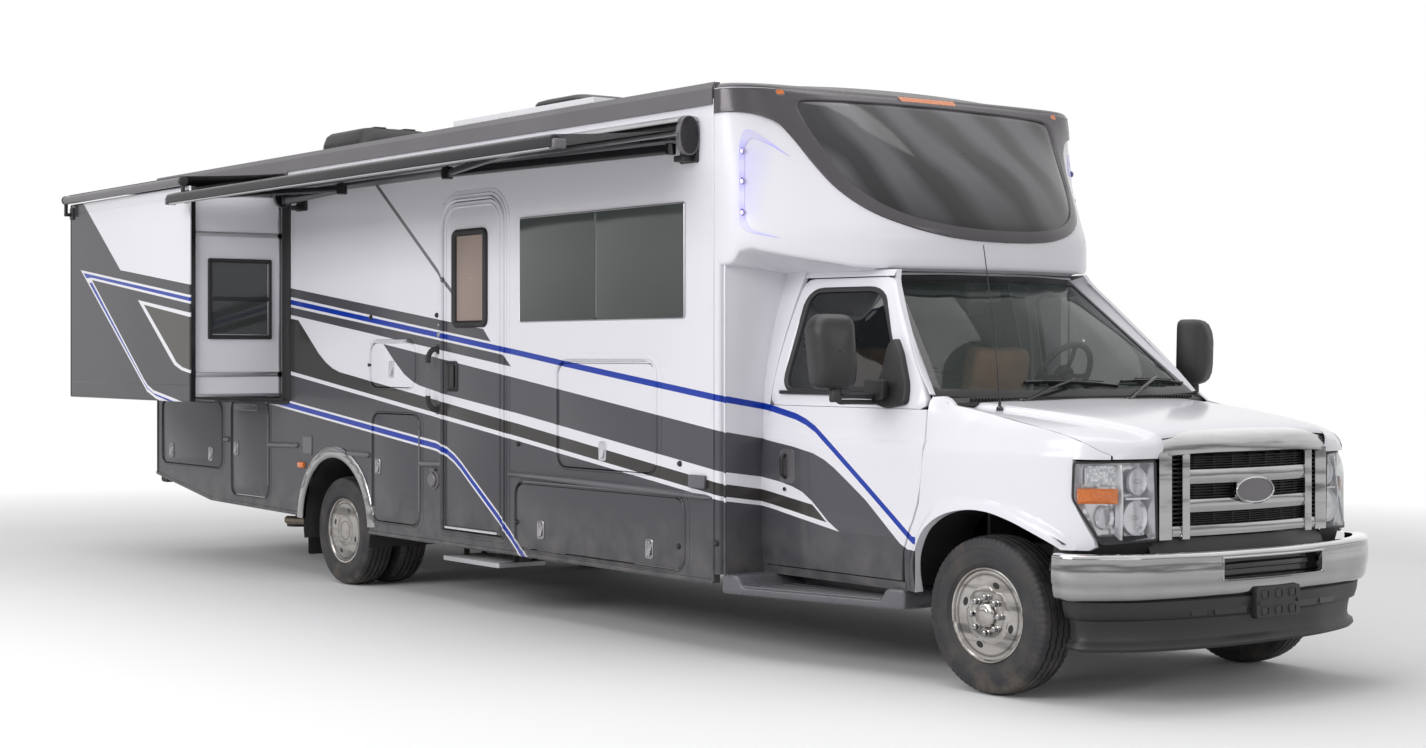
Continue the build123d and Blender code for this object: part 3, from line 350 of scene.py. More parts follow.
# %% Trees of nodes, and finishes
class Nodes:
    """The node tree of a material or world while it is being made."""

    def __init__(self, owner):
        owner.use_nodes = True
        self.tree = owner.node_tree
        self.tree.nodes.clear()

    def node(self, kind, inputs=None, out=0, **settings):
        """Add a node: its settings first, then values or wires into its sockets."""
        made = self.tree.nodes.new(kind)
        for key, value in settings.items():
            setattr(made, key, value)
        for key, value in (inputs or {}).items():
            if isinstance(value, Wire):
                self.tree.links.new(value.socket, made.inputs[key])
            else:
                made.inputs[key].default_value = value
        return Wire(self, made.outputs[out]) if made.outputs else None

    def maths(self, operation, *values):
        """One step of arithmetic on numbers or wires."""
        return self.node("ShaderNodeMath", dict(enumerate(values)), operation=operation)

    def mix(self, mask, a, b):
        """Colour a where the mask is 0, and b where it is 1."""
        return self.node("ShaderNodeMix", {0: mask, 6: a, 7: b}, out=2, data_type="RGBA")

    def watched(self):
        """1 for rays that look: the camera's, mirrors' and glass's. 0 for those that only carry light."""
        camera, glossy, through = (self.node("ShaderNodeLightPath", out=f"Is {kind} Ray")
                                   for kind in ("Camera", "Glossy", "Transmission"))
        return camera.highest(glossy).highest(through)


class Finish(Nodes):
    """A material while it is being made, with its coordinates measured from the front axle."""

    def __init__(self, name, slot=None):
        self.material = bpy.data.materials.new(name)
        super().__init__(self.material)
        place = self.node("ShaderNodeTexCoord", out="Object")
        self.place = self.node("ShaderNodeVectorMath", {0: place, 1: tuple(AXLE)}, operation="SUBTRACT")
        self.x, self.y, self.z = (self.node("ShaderNodeSeparateXYZ", {0: self.place}, out=i) for i in range(3))

    def noise(self, scale, detail=3, stretch=(1, 1, 1), roughness=0.5):
        """Soft random clouds, so many to the metre."""
        spot = self.node("ShaderNodeVectorMath", {0: self.place, 1: stretch}, operation="MULTIPLY")
        return self.node("ShaderNodeTexNoise", {"Vector": spot, "Scale": scale, "Detail": detail,
                                                "Roughness": roughness})

    def cells(self, scale, out=0, **settings):
        """Random cells, so many to the metre."""
        return self.node("ShaderNodeTexVoronoi", {"Vector": self.place, "Scale": scale}, out=out, **settings)

    def lit(self, base, roughness, metallic=0.0, bump=None, depth=0.001, **constants):
        """Close the finish with a Principled surface; bump is a height and depth its size in metres."""
        inputs = {"Base Color": base, "Roughness": roughness, "Metallic": metallic}
        if bump is not None:
            inputs["Normal"] = self.node("ShaderNodeBump", {"Height": bump, "Distance": depth, "Strength": 1.0})
        inputs.update({key.replace("_", " "): value for key, value in constants.items()})
        shader = self.node("ShaderNodeBsdfPrincipled", inputs)
        self.node("ShaderNodeOutputMaterial", {0: shader})
        return self.material


# %% [markdown]
# ## Light and floor
# The studio is plain: a pale floor and a white surround, a large soft lamp overhead, one off the
# passenger side and a weaker one in front. The surround shows as white to the camera and in
# reflections, while it lights the paint at a lower level, so that white panels keep their shape. The
# floor near the vehicle takes its shadow, and further out it turns to the white of the surround.

# %% Surround
WORLD_LEVEL = 0.5
world = bpy.data.worlds.new("surround")
bpy.context.scene.world = world
sky = Nodes(world)
level = sky.watched().ramp(0, 1, WORLD_LEVEL, 1.0)
sky.node("ShaderNodeOutputWorld", {0: sky.node("ShaderNodeBackground", {"Color": (1, 1, 1, 1), "Strength": level})})

# %% Floor and lamps
FLOOR_HALF = 60.0
FADE_FROM, FADE_TO = 7.0, 12.0
middle = (Vector(cad_box[0]) + Vector(cad_box[1])) / 2
corners = [(middle.x + a * FLOOR_HALF, middle.y + b * FLOOR_HALF, 0) for a, b in ((-1, -1), (1, -1), (1, 1), (-1, 1))]
floor_mesh = bpy.data.meshes.new("floor")
floor_mesh.from_pydata(corners, [], [(0, 1, 2, 3)])
floor = bpy.data.objects.new("floor", floor_mesh)
bpy.context.scene.collection.objects.link(floor)
ground = Finish("floor_paper")
spread = ground.node("ShaderNodeVectorMath", {0: ground.node("ShaderNodeTexCoord", out="Object"),
                                              1: tuple(middle)[:2] + (0,)}, out=1, operation="DISTANCE")
paper = ground.node("ShaderNodeBsdfPrincipled", {"Base Color": (0.83, 0.83, 0.835, 1), "Roughness": 0.85})
white = ground.node("ShaderNodeEmission", {"Color": (1, 1, 1, 1), "Strength": 1.0})
mixed = ground.node("ShaderNodeMixShader",
                    {0: spread.ramp(FADE_FROM, FADE_TO) * ground.watched(), 1: paper, 2: white})
ground.node("ShaderNodeOutputMaterial", {0: mixed})
floor_mesh.materials.append(ground.material)


def lamp(name, place, aim, size, power):
    """Large soft lamp at a place, aimed at a point, both from the front axle."""
    light = bpy.data.lights.new(name, "AREA")
    light.shape = "RECTANGLE"
    light.size, light.size_y = size
    light.energy = power
    made = bpy.data.objects.new(name, light)
    made.location = np.array(place) + AXLE
    made.rotation_euler = (Vector(aim) - Vector(place)).to_track_quat("-Z", "Y").to_euler()
    bpy.context.scene.collection.objects.link(made)


lamp("overhead", (-1, 3.5, 9), (0, 3.5, 0), (8, 12), 560)
lamp("side_bank", (-15, 1.5, 7), (-1, 4.5, 1.2), (10, 5), 1080)
lamp("front_bank", (-2, -16, 6), (0, 1, 1.2), (9, 5), 330)

# %% [markdown]
# ## Stripes
# The stripes run along the side, down over the cab door and round the returns beside the cab. Each
# edge of a stripe is a line of short straight runs: a height for every place along the side. The
# place along is Y, plus how far a surface lies inside the house's flank, so that one set of lines
# carries on from the wall across the return to the door. As shader sums the stripes cross door
# gaps without a seam, and they ride with each door. One thin grey line rises on a slant to the
# awning on the passenger side.

# %% Edges of the stripes, as (along, height)
GREY_TOP = [(3.712, 1.635), (3.8, 1.716), (6.3, 2.027), (8.6, 2.31)]
GREY_LOW = [(3.712, 1.635), (6.3, 1.965), (8.6, 2.26)]
BLUE_TOP = [(0.17, 0.695), (0.49, 0.935), (0.735, 1.116), (0.86, 1.204), (0.93, 1.238), (1.005, 1.263),
            (1.19, 1.3), (1.5, 1.347), (2.97, 1.53), (3.4, 1.586), (6.3, 1.946), (8.6, 2.23)]
SECOND_TOP = [(3.497, 1.491), (3.58, 1.563), (6.3, 1.893), (8.6, 2.17)]
SECOND_LOW = [(3.497, 1.491), (6.3, 1.839), (8.6, 2.12)]
BROAD_TOP = [(0.2, 0.631), (0.254, 0.657), (0.487, 0.847), (0.601, 0.923), (0.717, 0.997), (0.79, 1.035),
             (0.872, 1.064), (1.03, 1.093), (1.192, 1.114), (1.5, 1.162), (3.4, 1.418), (5.01, 1.631)]
BROAD_LOW = [(0.68, 0.682), (0.764, 0.73), (0.884, 0.823), (0.956, 0.864), (1.03, 0.888), (1.129, 0.908),
             (1.5, 0.955), (3.4, 1.213), (4.253, 1.317), (4.553, 1.366), (4.653, 1.397), (4.743, 1.437),
             (4.865, 1.519), (5.01, 1.631)]
DARK_TOP = [(0.77, 0.722), (0.878, 0.804), (1.19, 0.851), (3.4, 1.152), (5.5, 1.43), (5.6, 1.443),
            (5.7, 1.468), (5.8, 1.51), (5.9, 1.57), (6.2, 1.801), (8.6, 2.09)]
DARK_LOW = [(0.77, 0.722), (1.18, 0.787), (3.4, 1.077), (6.32, 1.445), (8.6, 1.71)]
SKIRT_TOP = [(0.68, 0.682), (1.18, 0.765), (3.4, 1.051), (6.32, 1.419), (8.6, 1.68)]
LOW_BLUE_TOP = [(3.284, 0.346), (3.405, 0.43), (3.625, 0.603), (3.939, 0.816), (4.05, 0.893), (4.13, 0.94),
                (4.22, 0.978), (4.35, 1.008), (7.043, 1.298), (8.6, 1.46)]
LINE_WIDE, LINE_EDGE = 0.034, 0.014
BOW_END = 0.15
SLANT_FROM, SLANT_SLOPE, SLANT_HALF, SLANT_TOP = (4.144, 1.938), 0.7686, 0.0165, 2.72
WHITE, BLUE = colour("DEDDE3"), colour("00309C")
GREY, DARK_BAND, LOWER = colour("4A494E"), colour("343230"), colour("434247")


def run(along, points):
    """Height of a line of straight runs at a place along the side."""
    height = points[0][1]
    for (a, low), (b, high) in zip(points, points[1:]):
        height = along.ramp(a, b, 0.0, high - low) + height
    return height


def livery(f):
    """The body's colours: stripes over white, and grey below."""
    along = f.y + (abs(f.x) - HALF_WIDTH)
    z = f.z

    def between(low, top):
        return (z > low) * (z < top)

    def blue_line(base, top, where):
        """A blue line with a white edge on both sides."""
        edge, fill = between(top - (LINE_WIDE + LINE_EDGE), top + LINE_EDGE), between(top - LINE_WIDE, top)
        return f.mix(fill * where, f.mix(edge * where, base, WHITE), BLUE)

    broad_top, skirt_top, blue_top, low_blue = (run(along, p) for p in (BROAD_TOP, SKIRT_TOP, BLUE_TOP, LOW_BLUE_TOP))
    front = along > BOW_END
    grey = (between(run(along, GREY_LOW), run(along, GREY_TOP))
            + between(run(along, SECOND_LOW), run(along, SECOND_TOP))
            + between(run(along, BROAD_LOW), broad_top)).lowest(1.0)
    base = f.mix(grey * front, WHITE, GREY)
    base = f.mix(between(run(along, DARK_LOW), run(along, DARK_TOP)), base, DARK_BAND)
    base = f.mix((z < skirt_top.lowest(broad_top)) * front, base, LOWER)
    base = blue_line(base, low_blue, along > LOW_BLUE_TOP[0][0])
    base = blue_line(base, blue_top, front)
    slant = abs(z - (f.y - SLANT_FROM[0]) * SLANT_SLOPE - SLANT_FROM[1]) < SLANT_HALF
    on_flank = f.x < 0.1 - HALF_WIDTH
    return f.mix(slant * (f.y > SLANT_FROM[0] - 0.015) * (z < SLANT_TOP) * on_flank, base, colour("6A686E"))


# %% [markdown]
# ## Body finishes
# House panels are gelcoat: glossy, but never as flat as metal, so a faint long wave goes into the
# bump and breaks up reflections. Road dust greys the panels near their lower edges. The cab is
# painted steel, flatter and with a clear coat.

# %% Body finishes
def dusted(f, base, reach=0.75, most=0.35):
    """Road dust on the lowest part of a panel, patchy."""
    amount = f.z.ramp(0.35, reach, most, 0.0) * f.noise(7, 5).ramp(0.35, 0.7)
    return f.mix(amount, base, colour("8A857E"))


def panel_finish(name, slot, base_of, roughness, wave, coat, specular=0.25):
    """Large glossy panel: its colours from a function, a slow wave in its bump, and a thin coat."""
    f = Finish(name, slot)
    tone = f.noise(0.6, 2).ramp(0.3, 0.7, 0.0, 0.04)
    base = dusted(f, f.mix(tone, base_of(f), colour("9A9AA0")))
    gloss = f.noise(2.5, 3).ramp(0.3, 0.7, roughness * 0.95, roughness * 1.1)
    return f.lit(base, gloss, bump=f.noise(1.1, 1), depth=wave, Coat_Weight=coat, Coat_Roughness=0.05,
                 Specular_IOR_Level=specular)


gelcoat = panel_finish("gelcoat", "white_gelcoat", livery, 0.24, 0.0012, 0.1)


def cap_livery_and_lamp_light(f):
    """The cap is plain, but the lilac light of the small lamps in its flank is painted round them."""
    # Painted lamp light: a lilac wash on the flank round the small lamps.
    level = f.z.ramp(2.2, 2.3) * f.z.ramp(2.58, 2.68, 1.0, 0.0)
    near = f.y.ramp(1.33, 1.425, 0.0, 0.75) * f.y.ramp(1.44, 1.47, 1.0, 0.0) * level * (abs(f.x) > 1.1)
    return f.mix(near, livery(f), colour("CFCDF6"))


cap_coat = panel_finish("cap_coat", "white_gelcoat", cap_livery_and_lamp_light, 0.24, 0.0012, 0.1)
cab_paint = panel_finish("cab_paint", "body_paint", livery, 0.2, 0.0008, 0.2)


# The slide-out's face: a white field above a slanted edge, a blue bar that turns down, and a dart.
FIELD_LOW = [(6.35, 2.042), (7.555, 2.181), (8.26, 2.703), (8.3, 2.75)]
BAR_TOP, BAR_LOW = [(6.35, 1.971), (8.325, 2.207)], [(6.35, 1.911), (8.1, 2.125)]
LEG_OUTER = [(6.59, 1.2), (6.918, 1.251), (7.072, 1.3), (8.325, 2.207)]
LEG_INNER = [(6.35, 1.22), (6.96, 1.31), (7.06, 1.345), (7.13, 1.39), (8.1, 2.125)]
# colour, upper edge, lower edge
DARTS = [("DEDDE3", [(6.35, 1.849), (7.234, 1.955)],
          [(6.35, 1.435), (6.485, 1.455), (6.6, 1.49), (6.66, 1.53), (7.234, 1.955)]),
         ("47443F", [(6.35, 1.82), (7.128, 1.919)],
          [(6.35, 1.457), (6.47, 1.475), (6.57, 1.51), (6.62, 1.55), (7.128, 1.919)])]


def slide_graphics(f):
    """Colours of the slide-out: graphics on its outer face, and plain white round it."""
    line = lambda points: run(f.y, points)

    def strip(edge):
        bar = (f.z < line(BAR_TOP) - edge) * (f.z > line(BAR_LOW) + edge)
        leg = (f.z > line(LEG_OUTER) + edge * 1.2) * (f.z < line(LEG_INNER) - edge * 1.2)
        return bar.highest(leg) * (f.z > line(LEG_OUTER) + edge)

    base = f.mix(f.z > line(FIELD_LOW), colour("3B3A3E"), WHITE)
    base = f.mix(strip(0.017), f.mix(strip(0.0), base, WHITE), BLUE)
    for code, top, low in DARTS:
        base = f.mix((f.z < line(top)) * (f.z > line(low)), base, colour(code))
    return f.mix(abs(f.x) > HALF_WIDTH + 0.7, WHITE, base)


slide_skin = panel_finish("slide_skin", "white_gelcoat", slide_graphics, 0.16, 0.0015, 0.15)


def moulded(name, slot, code, roughness, grain=400, depth=0.0002, spread=0.25, metallic=0.0, blotch=2.5, **constants):
    """A moulded, painted or cast surface: blotches of tone and gloss over a fine grain."""
    f = Finish(name, slot)
    base = colour(code)
    dark = tuple(c * (1 - spread) for c in base[:3]) + (1,)
    light = tuple(min(1, c * (1 + spread) + 0.002) for c in base[:3]) + (1,)
    patch = f.noise(blotch, 5)
    gloss = patch.ramp(0.3, 0.7, roughness * 0.8, min(1.0, roughness * 1.2))
    return f.lit(f.mix(patch.ramp(0.3, 0.7), dark, light), gloss, metallic, bump=f.noise(grain, 2), depth=depth,
                 **constants)


satin_grey = moulded("satin_grey", "grey_trim", "6A676B", 0.34, grain=60, depth=0.0004, spread=0.08, metallic=0.35)
crown_grey = moulded("crown_grey", "grey_trim", "4E4A4E", 0.26, grain=40, depth=0.0004, spread=0.12, metallic=0.3)
skirt_grey = moulded("skirt_grey", "grey_trim", "5C5B60", 0.3, grain=40, depth=0.0006, spread=0.08)
plain_white = moulded("plain_white", "white_gelcoat", "C4C3C8", 0.3, grain=30, depth=0.0005, spread=0.02)
black_plastic = moulded("black_plastic", "black_plastic", "1C1C1E", 0.5, grain=900, depth=0.00025, spread=0.2)
gloss_black = moulded("gloss_black", "black_plastic", "1B1A1D", 0.16, grain=12, depth=0.0006, spread=0.15)
rubber = moulded("rubber", "black_plastic", "1C1C1F", 0.62, grain=300, depth=0.0002, spread=0.2)
awning_metal = moulded("awning_metal", "grey_trim", "2F2D30", 0.3, grain=20, depth=0.0005, spread=0.1, metallic=0.6)
chassis_black = moulded("chassis_black", "chassis_steel", "242322", 0.55, grain=90, depth=0.0006, spread=0.35,
                        blotch=5)
cast_iron = moulded("cast_iron", "cast", "3A3532", 0.7, grain=160, depth=0.0009, spread=0.35, metallic=0.4, blotch=7)
aluminium = moulded("aluminium", "aluminium", "B4B3B6", 0.36, grain=120, depth=0.0002, spread=0.08, metallic=0.9)
zinc = moulded("zinc", "aluminium", "A09EA0", 0.3, grain=80, depth=0.0003, spread=0.12, metallic=0.85)
exhaust_steel = moulded("exhaust_steel", "aluminium", "8B7F73", 0.48, grain=120, depth=0.0003, spread=0.3,
                        metallic=0.7, blotch=9)
roof_skin = moulded("roof_skin", "roof_white", "D2D1D0", 0.6, grain=120, depth=0.0006, spread=0.06)
cabin_plastic = moulded("cabin_plastic", "interior_plastic", "47443F", 0.6, grain=500, depth=0.0003, spread=0.12)
print("finishes so far:", len(bpy.data.materials))

# %% [markdown]
# ## Metal, rubber and cloth
# Chrome shows what surrounds it, and in a white studio that is nothing but white. So a reflection is
# painted into its colour by how far the surface tilts up: pale sky, a dark horizon, grey ground. The
# wheel dishes are polished steel that was turned on a lathe, so fine rings catch the light, under a
# brownish film in patches; painted shade darkens their sunk parts and grooves, and black painted
# shade fills their hand holes. Tyres are dull and dusty. Cloth gets a real weave in its bump.

# %% Bright metal
# Tilt of the surface from down (0) to up (1), and how bright the painted reflection is there.
PAINTED_REFLECTION = (0.0, 0.26), (0.3, 0.34), (0.46, 0.4), (0.52, 0.36), (0.575, 0.13), (0.66, 0.45), (1.0, 0.85)


def painted_sky_reflection(f, tone):
    """Painted reflection of what a bright surface would mirror outdoors: pale sky above, dark ground at its own
    height, grey floor.
    """
    tilt = f.node("ShaderNodeSeparateXYZ", {0: f.node("ShaderNodeNewGeometry", out="Normal")}, out=2)
    tilt = tilt + f.noise(3, 4, (0.45, 0.45, 5)).ramp(0.25, 0.75, -0.22, 0.22)
    strip = f.node("ShaderNodeValToRGB", {0: tilt.ramp(-1, 1)})
    band = strip.socket.node.color_ramp
    for i, (spot, level) in enumerate(PAINTED_REFLECTION):
        stop = band.elements[i] if i < 2 else band.elements.new(spot)
        stop.position, stop.color = spot, (*(level * c for c in tone), 1)
    return strip


def chrome_finish(name, tone, roughness, haze):
    """Plated metal: a painted reflection of sky and ground, with a thin haze in patches."""
    f = Finish(name, "chrome")
    film = f.noise(11, 6)
    base = f.mix(film.ramp(0.45, 0.75, 0.0, haze), painted_sky_reflection(f, tone), colour("6E675F"))
    return f.lit(base, film.ramp(0.3, 0.75, roughness, roughness * 3), 1.0, bump=f.noise(3, 2), depth=0.0006)


chrome = chrome_finish("chrome", (1.0, 0.99, 1.0), 0.05, 0.08)
lamp_silver = moulded("lamp_silver", "chrome", "DCDCE0", 0.2, grain=60, depth=0.0004, spread=0.06, metallic=0.55)
mirror = chrome_finish("mirror", (1.1, 1.12, 1.14), 0.03, 0.02)


# The dish's hand holes: turn of the first, distance from the axle, half size along the radius and round it.
HOLE_TURN, HOLE_SPOT, HOLE_SIZE = math.radians(20), 0.148, (0.021, 0.03)
# Painted shade in rings of the dish, at its grooves and steps: radius, half width, strength.
SHADED_RINGS = (0.187, 0.01, 0.75), (0.206, 0.006, 0.45), (0.1, 0.012, 0.3), (0.062, 0.008, 0.6)


def wheel_steel():
    """Lathe-turned steel with a painted reflection, painted shade where the dish is sunk and in its grooves, and
    black painted shade in the four hand holes of each wheel.
    """
    f = Finish("wheel_steel", "polished_wheel")
    along, up = f.y - (f.y > WHEELBASE / 2) * WHEELBASE, f.z - TYRE_RADIUS
    radius = (along * along + up * up).root()
    rings = f.node("ShaderNodeTexNoise", {"Vector": f.node("ShaderNodeCombineXYZ", {0: radius * 90.0}), "Scale": 9.0,
                                          "Detail": 3})
    film = f.noise(14, 5)
    base = f.mix(film.ramp(0.45, 0.8, 0.0, 0.6), painted_sky_reflection(f, (1.15, 1.1, 1.05)), colour("7C7268"))
    # Painted shade: darker where the dish lies deep inside the wheel, and in rings at its grooves.
    rear, front = abs(f.x).ramp(1.03, 1.17, 0.6, 0.0), abs(f.x).ramp(0.925, 0.965, 0.3, 0.0)
    sunk = (f.y > WHEELBASE / 2) * rear + (f.y < WHEELBASE / 2) * front
    base = f.mix(sunk * (radius > 0.05), base, colour("4A433D"))
    for at, reach, most in SHADED_RINGS:
        base = f.mix(abs(radius - at).ramp(0, reach, most, 0.0), base, colour("3A332E"))
    # Painted shade: the four hand holes are black and not metallic.
    c, s = math.cos(HOLE_TURN), math.sin(HOLE_TURN)
    a, b = abs(along * c + up * s), abs(up * c - along * s)
    inward, around = (a.highest(b) - HOLE_SPOT) / HOLE_SIZE[0], a.lowest(b) / HOLE_SIZE[1]
    hole = (inward * inward + around * around < 0.5) * (abs(radius - HOLE_SPOT) < 0.03)
    base = f.mix(hole, base, colour("0A0A0B"))
    return f.lit(base, film.ramp(0.3, 0.7, 0.14, 0.26), 1.0 - hole, bump=rings, depth=0.0001)


polished = wheel_steel()


# %% Rubber, cloth and leather
def tyre_rubber():
    """Black rubber under road dust, thickest near the ground."""
    f = Finish("tyre_rubber", "tyre")
    dust = f.noise(9, 6).ramp(0.45, 0.75)
    low = f.z.ramp(0.0, 0.2, 0.5, 0.0)
    base = f.mix(dust * 0.35 + low * dust, colour("27272A"), colour("6B6259"))
    return f.lit(base, dust.ramp(0, 1, 0.6, 0.85), bump=f.noise(220, 3), depth=0.0005)


tread_rubber = tyre_rubber()


def woven(name, slot, first, second, threads, axes, roughness=0.8, depth=0.0004, sheen=0.2):
    """Cloth: threads cross over and under, and the tone drifts a little over the width."""
    f = Finish(name, slot)
    place = (f.x, f.y, f.z)
    waves = [f.maths("SINE", place[a] * (threads * 2 * math.pi)) for a in axes]
    weave = waves[0] * waves[1]
    tone = f.noise(2.2, 4).ramp(0.3, 0.7) * 0.6 + weave.ramp(-1, 1) * 0.4
    return f.lit(f.mix(tone, colour(first), colour(second)), roughness, bump=weave, depth=depth,
                 Sheen_Weight=sheen, Sheen_Roughness=0.5)


awning_cloth = woven("awning_cloth", "awning_cloth", "1E1D20", "2B2A2D", 260, (0, 1))
seat_cloth = woven("seat_cloth", "seat_cloth", "3B3A3B", "4C4A4A", 420, (0, 2))


def leather(name, code, second):
    """Hide with a fine grain of cells."""
    f = Finish(name, "seat_cloth")
    grain = f.cells(260, feature="DISTANCE_TO_EDGE")
    base = f.mix(f.noise(5, 4).ramp(0.3, 0.7), colour(code), colour(second))
    return f.lit(base, grain.ramp(0, 0.3, 0.6, 0.42), bump=grain.ramp(0, 0.15), depth=0.0004)


tan_leather = leather("tan_leather", "C3A184", "AE8B6E")
leather_dark = leather("leather_dark", "3A3634", "2C2927")

# %% [markdown]
# ## Glass and lamps
# The house windows are tinted dark, so they can stay closed surfaces with a polished face, with a
# painted reflection that lightens them toward the top. The cap's window has broad soft bands that
# lean, a painted reflection. The cab's panes must show the seats behind them. Their alpha rises at
# grazing angles, as real glass turns from clear to mirror, which costs far less than true
# refraction. The cap's small lamps shine a little of their own; the lilac light they throw on their
# recess is painted into it, with a faint painted glow.

# %% Glass
def tinted(name, top, low, z0, z1, roughness=0.05):
    """Dark glass with a painted reflection: its tone runs from one colour at the bottom to another at the top."""
    f = Finish(name, "tinted_glass")
    # Painted reflection: lighter toward the top, as of sky over ground.
    blend = f.z.ramp(z0, z1) + f.noise(1.3, 2).ramp(0.3, 0.7, -0.12, 0.12)
    base = f.mix(blend.lowest(1.0).highest(0.0), colour(low), colour(top))
    return f.lit(base, f.noise(3, 3).ramp(0.3, 0.7, roughness, roughness * 2), bump=f.noise(0.8, 1), depth=0.004)


house_glass = tinted("house_glass", "4B4F4E", "343736", 1.75, 2.36)


def glass_with_painted_reflection():
    """The cap's window: nearly black, with a painted reflection of broad soft bands that lean as they rise, lighter
    toward the top.
    """
    f = Finish("cap_glass", "tinted_glass")
    # Painted reflection: soft leaning bands, stronger toward the top, where the glass is also lighter.
    sway = f.noise(1.1, 2).ramp(0.3, 0.7, -0.12, 0.12) + f.z.ramp(2.1, 2.9, -0.16, 0.16)
    bands = f.maths("PINGPONG", f.x + sway + 2.0, 0.21).ramp(0.05, 0.15)
    base = f.mix(f.z.ramp(2.15, 2.8), colour("1B1A1C"), colour("39373A"))
    base = f.mix(bands * f.z.ramp(2.2, 2.5, 0.15, 0.6), base, colour("6C6A6E"))
    return f.lit(base, f.noise(3, 3).ramp(0.3, 0.7, 0.04, 0.08), bump=f.noise(0.8, 1), depth=0.004,
                 Specular_IOR_Level=0.35)


cap_glass = glass_with_painted_reflection()


def clear(name, code, through, roughness=0.02):
    """Pane that shows what is behind it, less so at a grazing angle."""
    f = Finish(name, "clear_glass")
    edge_on = f.node("ShaderNodeLayerWeight", {"Blend": 0.35}, out="Facing")
    smear = f.noise(6, 5).ramp(0.4, 0.75, 0.0, 0.05)
    body = (edge_on.ramp(0.25, 1.0, through, 1.0) + smear).lowest(1.0)
    return f.lit(colour(code), roughness, Alpha=body, Specular_IOR_Level=0.8)


cab_glass = clear("cab_glass", "3A4643", 0.24)
side_glass = clear("side_glass", "15181A", 0.86)
lens_glass = clear("lens_glass", "6E7377", 0.06)


def lens(name, code, deep, fine=160):
    """Coloured lens with a pattern of small prisms moulded behind its face."""
    f = Finish(name, "lamp")
    prisms = f.cells(fine, distance="CHEBYCHEV")
    base = f.mix(prisms.ramp(0.0, 0.6), colour(code), colour(deep))
    return f.lit(base, 0.12, bump=prisms, depth=0.0015, Coat_Weight=0.6)


amber = lens("amber_lens", "F08A00", "C85A00")
red = lens("red_lens", "B3161B", "5E0709")
reflector = lens("reflector", "F2F2F4", "A9ACB2", 70)


def glowing(name, code, strength):
    """Small lamp that is lit."""
    f = Finish(name, "lamp")
    spot = f.noise(40, 2).ramp(0.3, 0.7)
    return f.lit(f.mix(spot, colour(code), (1, 1, 1, 1)), 0.3, Emission_Color=colour(code),
                 Emission_Strength=strength)


glow = glowing("lilac_glow", "8F80FF", 2.2)


def lit_recess():
    """Side of the cap's recess: painted lilac light beside each of its three lamps, grey between them, and a faint
    painted glow.
    """
    f = Finish("lit_recess", "white_gelcoat")
    # Painted lamp light: lilac beside each lamp, fading between them; the emission below is a faint painted glow.
    beside = f.maths("PINGPONG", f.z - 2.2875, 0.07875).ramp(0.01, 0.06, 1.0, 0.0)
    base = f.mix(beside * f.noise(30, 2).ramp(0.2, 0.8, 0.85, 1.0), colour("C6C4D8"), colour("A9A6FA"))
    return f.lit(base, 0.35, bump=f.noise(200, 2), depth=0.0001, Emission_Color=colour("A9A6FA"),
                 Emission_Strength=0.12)


recess = lit_recess()

# %% Solar cells and the door's shade
def solar_cells():
    """Dark cells in a grid of thin silver lines."""
    f = Finish("solar_cells", "tinted_glass")
    fine = [f.maths("PINGPONG", axis, step) for axis, step in ((f.x, 0.0785), (f.y, 0.079))]
    line = (fine[0] < 0.003).highest(fine[1] < 0.003)
    base = f.mix(line, f.mix(f.noise(40, 2).ramp(0.4, 0.6), colour("10131C"), colour("1B2030")), colour("8E939B"))
    return f.lit(base, 0.12, bump=line, depth=0.0002, Coat_Weight=0.5)


cells = solar_cells()
door_shade = woven("door_shade", "interior_plastic", "8C7C75", "9B8A82", 120, (1, 2), 0.5, 0.0005, 0.0)
print("finishes:", len(bpy.data.materials))

# %% [markdown]
# ## Paint the frame
# Flat panels, rails and tanks already have the right shape in the CAD frame, so they only need a
# finish. Whatever is rounder or richer on the real vehicle is built further down and stands for
# its node.

# %% Paint the nodes that stay
dress(gelcoat, "right_wall", "left_wall", "rear_wall", "entry_door", "front_cap",
      *[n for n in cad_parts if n.startswith("baggage_door") or n in ("access_door", "service_door")])
dress(slide_skin, "slide_out_right")
dress(gelcoat, "slide_out_left")
dress(cab_paint, "cab_shell", "hood", "cab_door_right", "cab_door_left")
dress(roof_skin, "roof")
dress(satin_grey, "roof_rails", "steps")
dress(house_glass, "house_windows")
dress(cap_glass, "cap_window")
dress(cab_glass, "windshield")
dress(side_glass, "cab_door_glass_right", "cab_door_glass_left")
dress(chassis_black, "chassis_frame", "levelling_jacks", "house_floor", "rear_bumper")
dress(cast_iron, "engine_block", "front_axle", "rear_axle", "knuckle_right", "knuckle_left")
dress(black_plastic, "tanks", "valance", "door_mirror_right", "door_mirror_left", "roof_units", "awning_frame")
dress(exhaust_steel, "exhaust")
dress(awning_metal, "awning_case", "topper_roller_right", "topper_roller_left")
dress(awning_cloth, "awning_fabric", "topper_fabric")
dress(reflector, "lamps")
dress(chrome, "grille", "front_bumper")
dress(cabin_plastic, "dashboard")
dress(seat_cloth, "cab_seats")
for word, _ in SIDES:
    dress(tread_rubber, "front_tyre_" + word, "rear_tyres_" + word)
    dress(polished, "front_rim_" + word, "rear_rims_" + word)
print("painted", sum(bool(o.data.materials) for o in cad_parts.values()), "nodes")

# %% [markdown]
# ## Wheels
# A tyre is a turned shape, but its tread isn't: the grooves zigzag and the shoulders are notched.
# So the profile is turned in small steps while each point asks how deep it lies at that angle. The
# dishes are turned steel covers. Their hand holes are pressed in by the same trick, with a dark
# plug at the bottom of each, as painted shade inside the hole.

